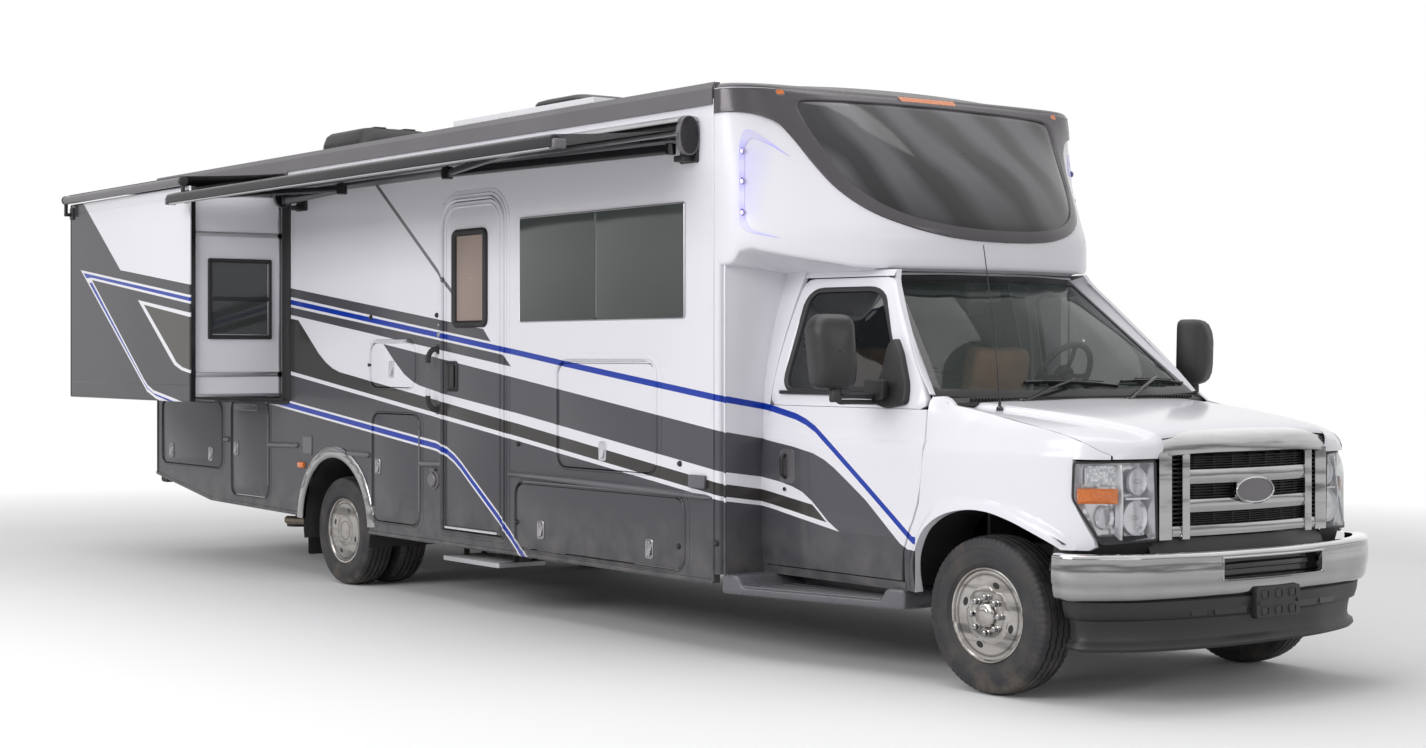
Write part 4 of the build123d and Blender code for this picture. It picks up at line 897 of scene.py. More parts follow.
# %% Tyres
BEAD_HALF, TREAD_HALF, TYRE_HALF = 0.086, 0.088, 0.1075
BEAD_RADIUS = 0.222
GROOVES = (-0.055, -0.019, 0.019, 0.055)
GROOVE_HALF, GROOVE_DEPTH = 0.0042, 0.009
ZIGZAGS, ZIGZAG_REACH = 40, 0.0035
NOTCHES = 72


def tyre(centre):
    """Tyre with zigzag grooves and notched shoulders, turned about X."""
    side_line = [(BEAD_HALF - 0.004, BEAD_RADIUS - 0.004), (BEAD_HALF + 0.004, BEAD_RADIUS + 0.003), (0.0985, 0.236),
                 (0.1, 0.2385), (0.1015, 0.237), (0.1045, 0.255), (TYRE_HALF - 0.0005, 0.278), (TYRE_HALF, 0.29),
                 (0.1045, 0.306), (0.106, 0.3075), (0.1045, 0.309), (0.101, 0.326), (0.099, 0.332), (0.0955, 0.344),
                 (0.0915, 0.352), (TREAD_HALF - 0.003, 0.3575)]
    flank = [(a, r, 0) for a, r in side_line]
    across = []
    crown = lambda a: TYRE_RADIUS - a * a
    for g in reversed(GROOVES):
        for a, deep in ((g + GROOVE_HALF + 0.001, 0), (g + GROOVE_HALF, 1), (g - GROOVE_HALF, 1),
                        (g - GROOVE_HALF - 0.001, 0)):
            across.append((a, crown(a) - GROOVE_DEPTH * deep, 1))
    profile = flank + across + [(-a, r, z) for a, r, z in reversed(flank)]
    steps = NOTCHES * 4
    rings = []
    for along, radius, zigzag in profile:
        turn = np.arange(steps) * 2 * math.pi / steps
        wave = np.abs((turn * ZIGZAGS / math.pi) % 2 - 1) * 2 - 1
        a = along + zigzag * ZIGZAG_REACH * wave
        notched = (np.arange(steps) % 4 == 0) & (0.33 < radius < 0.3585) & (abs(along) > 0.08)
        r = radius - 0.005 * notched
        rings.append(np.stack([a, np.cos(turn) * r, np.sin(turn) * r], 1) + centre)
    return loft(rings, caps=False, wrap=True)


FRONT_OUT, REAR_OUT, REAR_IN = 0.885, 1.125, 0.86
REAR_AXLE = np.array([0, WHEELBASE, TYRE_RADIUS])
FRONT_AXLE = np.array([0, 0, TYRE_RADIUS])
for word, sign in SIDES:
    front = piece("front_tyre_tread_" + word, tread_rubber, "front_wheel_" + word,
                  tyre(FRONT_AXLE + [sign * FRONT_OUT, 0, 0]))
    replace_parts(front, "front_tyre_" + word)
    rear = piece("rear_tyre_treads_" + word, tread_rubber, "rear_wheels_" + word,
                 *[tyre(REAR_AXLE + [sign * x, 0, 0]) for x in (REAR_OUT, REAR_IN)])
    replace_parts(rear, "rear_tyres_" + word)
print("tyre faces:", len(front.data.polygons))

# %% Wheel dishes
HOLE_COUNT, HOLE_DEPTH = 4, 0.02
LUG_COUNT, LUG_SPOT, LUG_RADIUS, LUG_LENGTH = 8, 0.0825, 0.0145, 0.03
RIM_EDGE = [(0.0, 0.2), (0.07, 0.206), (0.079, 0.21), (0.084, 0.2175), (0.088, 0.2205), (0.0905, 0.2175),
            (0.0885, 0.2105), (0.08, 0.205)]
FRONT_DISH = [(0.058, 0.201), (0.045, 0.195), (0.041, 0.187), (0.046, 0.178), (0.059, 0.169), (0.069, 0.158),
              (0.0755, 0.146), (0.08, 0.134), (0.083, 0.122), (0.0845, 0.11), (0.0845, 0.066), (0.087, 0.062),
              (0.092, 0.0605)]
FRONT_CAP = [(0.102, 0.058), (0.11, 0.05), (0.1125, 0.043), (0.1125, 0.038), (0.115, 0.034), (0.1175, 0.02),
             (0.118, 0.002)]
REAR_DISH = [(0.05, 0.201), (-0.02, 0.197), (-0.055, 0.19), (-0.077, 0.179), (-0.09, 0.166), (-0.097, 0.152),
             (-0.1, 0.136), (-0.101, 0.12), (-0.101, 0.105), (-0.101, 0.066), (-0.099, 0.062), (-0.095, 0.06)]
REAR_CAP = [(-0.03, 0.058), (-0.018, 0.055), (-0.01, 0.047), (-0.006, 0.034), (-0.005, 0.002)]


def dish(profile, centre, sign, steps=144):
    """Turned wheel cover with pressed hand holes."""
    turn = np.arange(steps) * 2 * math.pi / steps
    gap = (turn * HOLE_COUNT / (2 * math.pi) + 0.5) % 1 - 0.5
    rings = []
    for along, radius in profile:
        around = gap * 2 * math.pi / HOLE_COUNT * radius / HOLE_SIZE[1]
        inward = (radius - HOLE_SPOT) / HOLE_SIZE[0]
        inside = np.clip(1.25 - np.hypot(around, inward), 0, 0.4) / 0.4
        a = along - HOLE_DEPTH * inside ** 2 * (3 - 2 * inside)
        t = turn + HOLE_TURN
        rings.append(np.stack([sign * a, np.cos(t) * radius, np.sin(t) * radius], 1) + centre)
    return loft(rings, caps=False)


def dense(profile, most=0.006):
    """The same profile with more points, so that pressed shapes come out round."""
    out = []
    for a, b in zip(profile, profile[1:]):
        count = max(1, int(math.dist(a, b) / most))
        out += [tuple(np.array(a) + (np.array(b) - a) * i / count) for i in range(count)]
    return out + [profile[-1]]


def around_hub(centre, sign, spot, count, along, offset=0.0):
    """Points at even turns round a wheel's axle."""
    turns = np.radians(offset + np.arange(count) * 360 / count)
    return [centre + [sign * along, spot * math.cos(t), spot * math.sin(t)] for t in turns]


def wheel(word, sign, out, axle, kind, body, profile, cap, lug_at, hole_at):
    """Dish with its rim and centre cap, lug covers and hand holes of one wheel, with a dark plug of painted shade in
    each hole.
    """
    centre = axle + [sign * out, 0, 0]
    barrel = turned([(-sign * a, r) for a, r in RIM_EDGE[::-1]] + [(sign * a, r) for a, r in RIM_EDGE[1:]], centre,
                    steps=72)
    covers = piece(f"{kind}_wheel_dish_{word}", polished, body, barrel, dish(dense(profile), centre, sign),
                   turned([(sign * a, r) for a, r in profile[-1:] + cap], centre, steps=48), crease=40)
    lug = [(0.0, 0.0165), (0.004, 0.0165), (0.005, LUG_RADIUS), (LUG_LENGTH - 0.005, LUG_RADIUS - 0.001),
           (LUG_LENGTH, 0.009), (LUG_LENGTH + 0.001, 0.001)]
    piece(f"{kind}_lug_covers_{word}", chrome, body,
          *[turned([(sign * a, r) for a, r in lug], p, steps=12)
            for p in around_hub(centre, sign, LUG_SPOT, LUG_COUNT, lug_at)])
    # A dark plug in each hand hole stands for the shade inside it.
    plug = [(0, 0.0001), (0.0, 0.017), (-0.002, 0.0185)]
    piece(f"{kind}_hand_hole_shade_{word}", gloss_black, body,
          *[turned([(sign * a, r) for a, r in plug], p, steps=16)
            for p in around_hub(centre, sign, HOLE_SPOT - 0.001, HOLE_COUNT, hole_at, math.degrees(HOLE_TURN))])
    return covers


for word, sign in SIDES:
    made = wheel(word, sign, FRONT_OUT, FRONT_AXLE, "front", "front_wheel_" + word, FRONT_DISH, FRONT_CAP, 0.0845,
                 0.0575)
    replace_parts(made, "front_rim_" + word)
    made = wheel(word, sign, REAR_OUT, REAR_AXLE, "rear", "rear_wheels_" + word, REAR_DISH, REAR_CAP, -0.101, -0.1165)
    inner = REAR_AXLE + [sign * REAR_IN, 0, 0]
    piece("inner_rim_" + word, polished, "rear_wheels_" + word,
          turned([(-sign * 0.088, 0.2205), (sign * 0.07, 0.2), (sign * 0.088, 0.2205), (sign * 0.05, 0.19),
                  (sign * 0.1, 0.17), (sign * 0.105, 0.08), (sign * 0.16, 0.075)], inner, steps=48))
    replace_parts(made, "rear_rims_" + word)
print("wheel dish faces:", len(made.data.polygons))

# %% [markdown]
# ## Hatches in the house walls
# Each locker door is a leaf cut from the wall panel, so the stripes run across it. It closes into a
# thin frame with round corners and a raised bead, and hangs from a plain hinge strip. The frame is
# one section carried round the leaf's outline. Its flange also hides the square cut behind it. At
# the hinge edge the frame stands off a little, so that the leaf can swing past its bead.

# %% Hatch leaves and frames
WALL_DEPTH = 0.03
LEAF_CORNER = 0.075
BEAD = [(0.0045, -0.006), (0.0045, 0.006), (0.008, 0.0105), (0.012, 0.0105), (0.016, 0.006), (0.017, 0.0025),
        (0.049, 0.0012), (0.05, -0.004)]
SWING_ROOM, STRIP_CLEAR, STRIP_RADIUS = 0.009, 0.0155, 0.0062
right_face, left_face = side(-1, HALF_WIDTH), side(1, HALF_WIDTH)
METAL, PLAIN = (satin_grey, zinc), (plain_white, plain_white)
# node: (hinge edge, finishes of its strip and latches, places of its latches as (Y, Z))
HATCHES = {
    "baggage_door_rear": ("top", METAL, [(8.337, 0.813), (7.623, 0.81)]),
    "baggage_door_tall": ("front", METAL, [(7.186, 0.87)]),
    "baggage_door_mid": ("front", METAL, [(5.075, 0.83)]),
    "baggage_door_long": ("top", METAL, [(3.179, 0.548), (2.142, 0.519)]),
    "access_door": ("top", PLAIN, [(2.572, 1.028)]),
    "service_door": ("top", PLAIN, [(4.9, 1.466)]),
    "baggage_door_left": ("top", METAL, [(3.179, 0.548), (2.142, 0.548)]),
}


def latch(place, y, z):
    """Paddle latch: a round-cornered frame, a shallow dish, a flap and a lock."""
    outline = rounded(y - 0.034, z - 0.055, y + 0.034, z + 0.055, 0.016, 4)
    flap = rounded(y - 0.017, z - 0.036, y + 0.017, z + 0.012, 0.006, 3)
    lifted = lambda u, v, d: place(u, v, d + 0.006 + 0.22 * (z + 0.012 - v))
    return [frame_strip(outline, place,
                        [(0.0, 0.0), (-0.001, 0.006), (-0.005, 0.009), (-0.01, 0.007), (-0.013, 0.001)]),
            rings_to_middle(grown(outline, -0.01), place, 0.0025, (1.0, 0.5, 0.02)),
            plate(flap, lifted, -0.004, 0.002, 0.0015),
            plate(circle_at(y, z + 0.033, 0.009), place, 0.001, 0.008, 0.0015)]


def circle_at(u, v, radius, steps=18):
    """Outline of a disc at a place on a surface."""
    return arc(u, v, radius, 0, 360 - 360 / steps, steps - 1)


def rings_to_middle(outline, place, depth, shares=(1, 0.98, 0.8, 0.6, 0.4, 0.2, 0.02)):
    """A pane that follows a surface: its outline drawn in toward its middle."""
    middle = np.mean(outline, axis=0)
    return loft([[place(*(middle + (np.array(p) - middle) * s), depth) for p in outline] for s in shares], caps=False)


for node, (hinge, (strip_paint, latch_paint), latches) in HATCHES.items():
    low, high = from_axle(node)
    sign = 1 if low[0] > 0 else -1
    place, body = side(sign, HALF_WIDTH), node + "_leaf"
    outline = rounded(low[1] + 0.002, low[2] + 0.002, high[1] - 0.002, high[2] - 0.002, LEAF_CORNER, 6)
    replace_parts(piece(node + "_panel", gelcoat, body, plate(outline, place, -WALL_DEPTH, 0.0015, 0.004)), node)
    room_y, room_z = (0, SWING_ROOM) if hinge == "top" else (SWING_ROOM, 0)
    surround = rounded(low[1] + 0.002 - room_y, low[2] + 0.002, high[1] - 0.002, high[2] - 0.002 + room_z,
                       LEAF_CORNER, 6)
    piece(node + "_frame", gelcoat, "vehicle", frame_strip(surround, place, BEAD), crease=50)
    if hinge == "top":
        strip = [place(y, high[2] + STRIP_CLEAR, 0.008) for y in (low[1] + 0.09, high[1] - 0.09)]
    else:
        strip = [place(low[1] - STRIP_CLEAR, z, 0.008) for z in (low[2] + 0.09, high[2] - 0.09)]
    piece(node + "_hinge", strip_paint, "vehicle", tube(strip, STRIP_RADIUS, steps=10))
    piece(node + "_latches", latch_paint, body, *[s for at in latches for s in latch(place, *at)])
print("hatches:", len(HATCHES))

# %% [markdown]
# ## Entry door
# The house door has a rounded top, a bead on its edge and a moulded frame round it. Its window is a
# black rubber frame round a woven blind, and beside it a clear grab bar stands on two black feet.

# %% Entry door
low, high = from_axle("entry_door")
DOOR_CORNER = 0.15


def round_topped(y0, z0, y1, z1, radius, foot=0.008):
    """Outline of a door with a wide radius at its head and a small one at its foot."""
    return (arc(y1 - foot, z0 + foot, foot, -90, 0, 2) + arc(y1 - radius, z1 - radius, radius, 0, 90, 9)
            + arc(y0 + radius, z1 - radius, radius, 90, 180, 9) + arc(y0 + foot, z0 + foot, foot, 180, 270, 2))


entry_outline = round_topped(low[1] + 0.003, low[2] + 0.004, high[1] - 0.003, high[2] - 0.003, DOOR_CORNER)
entry_leaf = piece("entry_door_panel", gelcoat, "entry_door_leaf",
                   plate(entry_outline, right_face, -WALL_DEPTH, 0.003, 0.004),
                   frame_strip(grown(entry_outline, -0.022), right_face,
                               [(0.0, 0.002), (-0.001, 0.007), (-0.006, 0.009), (-0.011, 0.007), (-0.012, 0.002)]),
                   crease=50)
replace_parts(entry_leaf, "entry_door")
DOOR_SWING_ROOM = 0.0105
DOOR_FRAME = [(0.0055, -0.006), (0.0055, 0.011), (0.0105, 0.018), (0.0155, 0.018), (0.0195, 0.012), (0.021, 0.006),
              (0.034, 0.006), (0.036, 0.009), (0.041, 0.009), (0.044, 0.004), (0.066, 0.002), (0.067, -0.004)]
surround = round_topped(low[1] + 0.003 - DOOR_SWING_ROOM, low[2] + 0.004, high[1] - 0.003, high[2] - 0.003,
                        DOOR_CORNER)
piece("entry_door_frame", gelcoat, "vehicle", frame_strip(surround, right_face, DOOR_FRAME), crease=50)
window = rounded(3.746, 1.727, 4.138, 2.328, 0.05, 6)
RUBBER = [(0.0, 0.002), (0.0, 0.014), (-0.008, 0.024), (-0.022, 0.026), (-0.034, 0.021), (-0.04, 0.012),
          (-0.042, 0.003)]
piece("entry_window_frame", rubber, "entry_door_leaf", frame_strip(window, right_face, RUBBER), crease=50)
piece("entry_window_blind", door_shade, "entry_door_leaf", rings_to_middle(grown(window, -0.04), right_face, 0.0048))
piece("entry_threshold", plain_white, "entry_door_leaf",
      brick((-HALF_WIDTH - 0.012, 3.64, 0.486), (-HALF_WIDTH, 4.23, 0.5), 0.003))
handle_outline = rounded(4.09, 1.335, 4.212, 1.52, 0.018, 4)
flap = rounded(4.115, 1.36, 4.15, 1.495, 0.01, 3)
piece("entry_handle", black_plastic, "entry_door_leaf",
      frame_strip(handle_outline, right_face,
                  [(0.002, 0.002), (0.001, 0.01), (-0.006, 0.014), (-0.014, 0.009), (-0.018, 0.003)]),
      rings_to_middle(grown(handle_outline, -0.014), right_face, 0.0045, (1, 0.5, 0.02)),
      plate(flap, right_face, 0.004, 0.02, 0.004))
piece("entry_lock", zinc, "vehicle", plate(circle_at(4.31, 1.686, 0.017), right_face, 0.0, 0.01, 0.003),
      plate(circle_at(4.302, 1.747, 0.011), right_face, 0, 0.014, 0.004))
feet = [sweep(softened([(-HALF_WIDTH + 0.005, 4.315, z), (-HALF_WIDTH - 0.04, 4.33, z),
                        (-HALF_WIDTH - 0.062, 4.345, z + way * 0.045), (-HALF_WIDTH - 0.062, 4.345, z + way * 0.085)],
                       0.03, 5, False),
              rounded(-0.016, -0.014, 0.016, 0.014, 0.007, 3), up=(0, 1, 0)) for z, way in ((1.595, -1), (1.22, 1))]
piece("grab_bar_feet", black_plastic, "vehicle", *feet,
      *[plate(rounded(4.29, z - 0.03, 4.34, z + 0.03, 0.012, 3), right_face, 0, 0.008, 0.003) for z in (1.595, 1.22)])
piece("grab_bar", lens_glass, "vehicle",
      tube([(-HALF_WIDTH - 0.062, 4.345, 1.29), (-HALF_WIDTH - 0.062, 4.345, 1.525)], 0.013, steps=16))

# %% [markdown]
# ## Windows, mouldings and wheel arches
# The big side window is two frameless panes side by side, which only a thin bright edge sets off
# from the wall. Grey rub mouldings run between the hatches, the skirt ends in a rolled edge, and the
# rear arches wear a polished flare. All are sections carried along a line on the wall.

# %% Windows
WINDOW_GAP = 0.004
big = (1.84, 1.757, 3.393, 2.357)
divider = 2.631
panes = [plate(rounded(y0, big[1], y1, big[3], 0.012, 3), right_face, -0.01, 0.009, 0.003)
         for y0, y1 in ((big[0], divider - WINDOW_GAP), (divider + WINDOW_GAP, big[2]))]
left_window, rear_window = (6.902, 1.757, 7.898, 2.357), (-0.518, 1.759, 0.518, 2.255)
rear_face = facing(1, HOUSE_REAR)
panes += [plate(rounded(*left_window, 0.05, 5), left_face, -0.01, 0.006, 0.003),
          plate(rounded(*rear_window, 0.05, 5), rear_face, -0.01, 0.006, 0.003)]
glass = piece("house_panes", house_glass, "vehicle", *panes)
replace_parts(glass, "house_windows")
EDGE = [(-0.002, 0.0), (-0.001, 0.008), (0.002, 0.0105), (0.006, 0.008), (0.007, 0.0)]
piece("big_window_edge", aluminium, "vehicle", frame_strip(rounded(*big, 0.012, 3), right_face, EDGE),
      brick((-HALF_WIDTH - 0.006, divider - 0.003, big[1] + 0.01),
            (-HALF_WIDTH + 0.004, divider + 0.003, big[3] - 0.01), 0.001))
SEAL = [(0.012, 0.0), (0.011, 0.009), (0.004, 0.013), (-0.012, 0.012), (-0.018, 0.006), (-0.019, 0.0)]
piece("window_seals", rubber, "vehicle", frame_strip(rounded(*left_window, 0.05, 5), left_face, SEAL),
      frame_strip(rounded(*rear_window, 0.05, 5), rear_face, SEAL),
      brick((HALF_WIDTH, 7.39, 1.76), (HALF_WIDTH + 0.01, 7.41, 2.35), 0.003))

# %% Mouldings and beads
RAILS = [(6.652, 0.917, 6.2, 0.926), (5.485, 0.902, 5.185, 0.9), (4.548, 0.873, 4.268, 0.88),
         (7.39, 0.93, 7.295, 0.932)]
LONG_RAIL = [(3.53, 0.857, 0.004), (3.5, 0.857, 0.017), (3.0, 0.851, 0.02), (2.5, 0.842, 0.023), (2.0, 0.832, 0.019),
             (1.66, 0.823, 0.014), (1.61, 0.822, 0.004)]


def moulding(place, stations, proud=0.022):
    """Half-round moulding through (Y, Z, half height)."""
    angles = np.radians(np.linspace(0, 180, 9))
    return loft([[place(y, z + half * math.cos(a), proud * math.sin(a) * min(1, half / 0.012) - 0.002)
                  for a in angles] for y, z, half in stations])


short_rails = [moulding(right_face,
                        [(y0, z0, 0.006), (y0 - 0.012, z0, 0.02), (y1 + 0.012, z1, 0.02), (y1, z1, 0.006)])
               for y0, z0, y1, z1 in RAILS]
piece("rub_mouldings", skirt_grey, "vehicle", *short_rails, moulding(right_face, LONG_RAIL, 0.028),
      moulding(left_face, [(6.6, 0.86, 0.006), (6.58, 0.86, 0.02), (5.62, 0.86, 0.02), (5.6, 0.86, 0.006)]),
      moulding(left_face, LONG_RAIL, 0.028),
      brick((-HALF_WIDTH - 0.022, 1.655, 0.868), (-HALF_WIDTH, 1.79, 0.936), 0.006))
SKIRT_RUNS = ([(1.6, 0.392), (WHEELBASE - 0.475, 0.392)],
              [(WHEELBASE + 0.475, 0.45), (7.62, 0.474), (HOUSE_REAR, 0.624)])
rolled = [moulding(place, [(y, z, 0.014) for y, z in run_of], 0.012) for place in (right_face, left_face)
          for run_of in SKIRT_RUNS]
beads = [brick((s * (HALF_WIDTH - 0.004), y - 0.006, z0), (s * (HALF_WIDTH + 0.0075), y + 0.006, z1), 0.004)
         for s in (-1, 1)
         for y, z0, z1 in ((HOUSE_FRONT + 0.003, 0.39, 2.88), (1.507, 0.43, 2.02), (HOUSE_REAR - 0.012, 0.63, 2.88))]
piece("wall_beads", gelcoat, "vehicle", *rolled, *beads)

# %% Arch flares
ARCH_RADIUS, ARCH_HEIGHT = 0.468, 0.4
FLARE_SECTION = [(0.004, -0.03), (-0.008, 0.0), (-0.008, 0.012), (0.0, 0.018), (0.02, 0.02), (0.05, 0.017),
                 (0.068, 0.012), (0.074, 0.006), (0.075, 0.0)]
flares = []
for place in (right_face, left_face):
    turn = np.radians(np.linspace(3, 177, 53))
    flares.append(loft([[place(WHEELBASE + math.cos(t) * (ARCH_RADIUS + r),
                               ARCH_HEIGHT + math.sin(t) * (ARCH_RADIUS + r), out) for r, out in FLARE_SECTION]
                        for t in turn], caps=False))
piece("arch_flares", chrome, "vehicle", *flares, crease=60)
wells = []
for sign in (-1, 1):
    turn = np.radians(np.linspace(-14, 194, 33))
    hoop = [(WHEELBASE + math.cos(t) * ARCH_RADIUS, ARCH_HEIGHT + math.sin(t) * ARCH_RADIUS) for t in turn]
    wells.append(grid([[(sign * x, y, z) for y, z in hoop]
                       for x in (HALF_WIDTH - 0.004, HALF_WIDTH - 0.2, HALF_WIDTH - 0.62)]))
    wells.append(grid([[(sign * (HALF_WIDTH - 0.62), WHEELBASE + (y - WHEELBASE) * s,
                         ARCH_HEIGHT + (z - ARCH_HEIGHT) * s) for y, z in hoop] for s in (1, 0.6, 0.3)]))
piece("rear_wheel_wells", chassis_black, "vehicle", *wells)

# %% Lamps, catches and small parts on the walls
catches = [(3.416, 1.038), (1.88, 0.988), (5.186, 1.493), (3.432, 0.577), (1.888, 0.553), (5.168, 1.807),
           (1.575, 0.592), (4.335, 1.807)]
dome = [(-0.001, 0.016), (0.007, 0.015), (0.013, 0.011), (0.016, 0.001)]
black_bits = [turned([(-a, r) for a, r in dome], (-HALF_WIDTH, y, z), "x", 14) for y, z in catches]
tiny = rounded(5.995, 0.868, 6.152, 1.0, 0.012, 3)
small_grey = [frame_strip(tiny, right_face, [(0.002, 0.0), (0.001, 0.006), (-0.004, 0.007), (-0.007, 0.001)]),
              rings_to_middle(grown(tiny, -0.007), right_face, 0.002, (1, 0.5, 0.02)),
              frame_strip(rounded(6.83, 1.15, 7.23, 1.2, 0.02, 4), right_face,
                          [(0.0, 0.0), (-0.002, 0.006), (-0.008, 0.006), (-0.01, 0.001)])]
piece("wall_catches", black_plastic, "vehicle", *black_bits)
piece("wall_fittings", skirt_grey, "vehicle", *small_grey)
inlet = [(0.0, 0.062), (-0.006, 0.061), (-0.009, 0.055), (-0.009, 0.048), (-0.022, 0.044), (-0.026, 0.038),
         (-0.026, 0.012), (-0.024, 0.001)]
piece("power_inlet", satin_grey, "vehicle", turned(inlet, (-HALF_WIDTH, 4.372, 0.778), "x", 32),
      brick((-HALF_WIDTH - 0.02, 4.345, 0.835), (-HALF_WIDTH, 4.4, 0.85), 0.004))
piece("entry_lights", lens_glass, "vehicle",
      plate(rounded(6.84, 1.155, 7.22, 1.195, 0.016, 4), right_face, 0, 0.006, 0.003),
      plate(circle_at(5.961, 0.805, 0.019), right_face, 0, 0.012, 0.006))
side_marker = rounded(6.105, 0.772, 6.19, 0.815, 0.012, 3)
piece("side_markers", amber, "vehicle",
      *[plate(side_marker, place, 0, 0.018, 0.007) for place in (right_face, left_face)])

# %% Rear wall
TAIL_INNER, TAIL_OUTER = HALF_WIDTH - 0.243, HALF_WIDTH - 0.043
housings, reds, ambers, clears = [], [], [], []
for sign in (-1, 1):
    x0, x1 = sorted((sign * TAIL_INNER, sign * TAIL_OUTER))
    outline = rounded(x0, 0.9, x1, 1.35, 0.05, 5)
    housings.append(plate(outline, rear_face, 0, 0.018, 0.008))
    for z, into, radius in ((1.255, reds, 0.07), (1.115, ambers, 0.055), (0.99, clears, 0.055)):
        disc = circle_at((x0 + x1) / 2, z, radius, 28)
        into.append(plate(disc, rear_face, 0.012, 0.036, 0.012))
        housings.append(frame_strip(disc, rear_face, [(0.012, 0.012), (0.009, 0.026), (0.002, 0.028), (0.0, 0.02)]))
reds += [plate(rounded(x - 0.05, 2.84, x + 0.05, 2.865, 0.01, 3), rear_face, 0, 0.018, 0.006)
         for x in (-1.1, -0.16, 0, 0.16, 1.1)]
reds += [brick((s * (HALF_WIDTH - 0.02), HOUSE_REAR - 0.02, 0.665),
               (s * (HALF_WIDTH - 0.09), HOUSE_REAR + 0.012, 0.735), 0.008) for s in (-1, 1)]
lamps_made = piece("tail_lamp_housings", chrome, "vehicle", *housings)
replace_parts(lamps_made, "lamps")
piece("tail_lamps_red", red, "vehicle", *reds)
piece("tail_lamps_amber", amber, "vehicle", *ambers)
piece("reversing_lamps", reflector, "vehicle", *clears)
number_plate = rounded(-0.17, 0.79, 0.17, 0.93, 0.012, 3)
piece("rear_plate_recess", black_plastic, "vehicle",
      frame_strip(rounded(-0.2, 0.76, 0.2, 0.96, 0.03, 4), rear_face,
                  [(0.0, 0.0), (-0.002, 0.016), (-0.01, 0.018), (-0.02, 0.002)]),
      plate(number_plate, rear_face, 0, 0.004, 0.001),
      brick((-0.06, HOUSE_REAR, 0.965), (0.06, HOUSE_REAR + 0.03, 0.985), 0.006))
seams = [brick((x - 0.004, HOUSE_REAR - 0.003, 0.64), (x + 0.004, HOUSE_REAR + 0.003, 2.9), 0.002)
         for x in (-HALF_WIDTH + 0.02, HALF_WIDTH - 0.02)]
piece("rear_wall_beads", gelcoat, "vehicle", *seams,
      *[brick((-HALF_WIDTH, HOUSE_REAR - 0.004, z), (HALF_WIDTH, HOUSE_REAR + 0.006, z + 0.016), 0.004)
        for z in (0.62, 1.45)])

# %% [markdown]
# ## Cap over the cab
# The cap is one large glass-fibre moulding. Its plan is bowed low down and nearly straight at the
# roof, and it leans back between the two, so it could be carved, but a formula is easier: a plan
# curve that turns into another one with height. A place on it is then how far round and how high,
# and the window, its ring and the lamps are all drawn in those two measures, so they follow the skin.

# %% Smooth curves
def through(points, steps=8):
    """Smooth curve that passes through points, in any number of dimensions."""
    p = np.array(points, float)
    p = np.concatenate([[2 * p[0] - p[1]], p, [2 * p[-1] - p[-2]]])
    out = []
    for a, b, c, d in zip(p, p[1:], p[2:], p[3:]):
        for t in np.arange(steps) / steps:
            out.append(0.5 * (2 * b + (c - a) * t + (2 * a - 5 * b + 4 * c - d) * t ** 2
                              + (3 * b - a - 3 * c + d) * t ** 3))
    return np.array(out + [p[-2]])


def both_sides(half):
    """A plan curve from its half, given from the middle outwards, as (X, Y)."""
    return [(-x, y) for x, y in half[:0:-1]] + list(half)


# %% The cap's skin
CAP_REAR = HOUSE_FRONT + 0.002
CAP_LOW_PLAN = through(both_sides([(0, 0.79), (0.35, 0.812), (0.74, 0.935), (1.0, 1.13), (1.18, 1.32), (1.262, 1.45),
                                   (HALF_WIDTH, 1.53), (HALF_WIDTH, CAP_REAR)]))
CAP_TOP_PLAN = through(both_sides([(0, 1.385), (0.36, 1.387), (0.72, 1.395), (0.98, 1.408), (1.13, 1.432),
                                   (1.235, 1.482), (HALF_WIDTH, 1.545), (HALF_WIDTH, CAP_REAR)]))
CAP_LEAN_FROM, CAP_TOP, CAP_FOOT = 2.13, 2.935, 1.995
CAP_BULGE = 0.045
CAP_EDGE_RADIUS = 0.045
step_lengths = np.linalg.norm(np.diff(CAP_LOW_PLAN, axis=0), axis=1)
CAP_ROUND = np.concatenate([[0], np.cumsum(step_lengths)]) - step_lengths.sum() / 2
CAP_END = CAP_ROUND[-1]


def cap_skin(round_to, z):
    """Point of the cap: a distance round it from the middle of the front, and a height."""
    low, top = ([np.interp(round_to, CAP_ROUND, plan[:, i]) for i in (0, 1)] for plan in (CAP_LOW_PLAN, CAP_TOP_PLAN))
    lean = min(max((z - CAP_LEAN_FROM) / (CAP_TOP - CAP_LEAN_FROM), -0.02), 1)
    ease = max(lean, 0) ** 2 / 0.2256 if lean < 0.12 else (lean - 0.06) / 0.94
    bow = CAP_BULGE * math.sin(math.pi * max(lean, 0)) * max(0, 1 - (round_to / 1.3) ** 2)
    x, y = (a + (b - a) * ease for a, b in zip(low, top))
    return np.array([x, y - bow, z])


def cap_place(round_to, z, out):
    """Point that far outside the cap's skin."""
    here = cap_skin(round_to, z)
    tangent = cap_skin(min(round_to + 0.01, CAP_END), z) - cap_skin(max(round_to - 0.01, -CAP_END), z)
    rise = cap_skin(round_to, z + 0.01) - cap_skin(round_to, z - 0.01)
    return here + unit(np.cross(tangent, rise)) * out


def cap_foot(round_to):
    """Height of the cap's lower edge: level in front, rising over the doors, and down at the returns."""
    y = cap_skin(round_to, 2.0)[1]
    return np.interp(y, [0.9, 1.0, 1.38, 1.43, 1.47], [CAP_FOOT, CAP_FOOT + 0.005, 2.1, 2.085, 2.02])


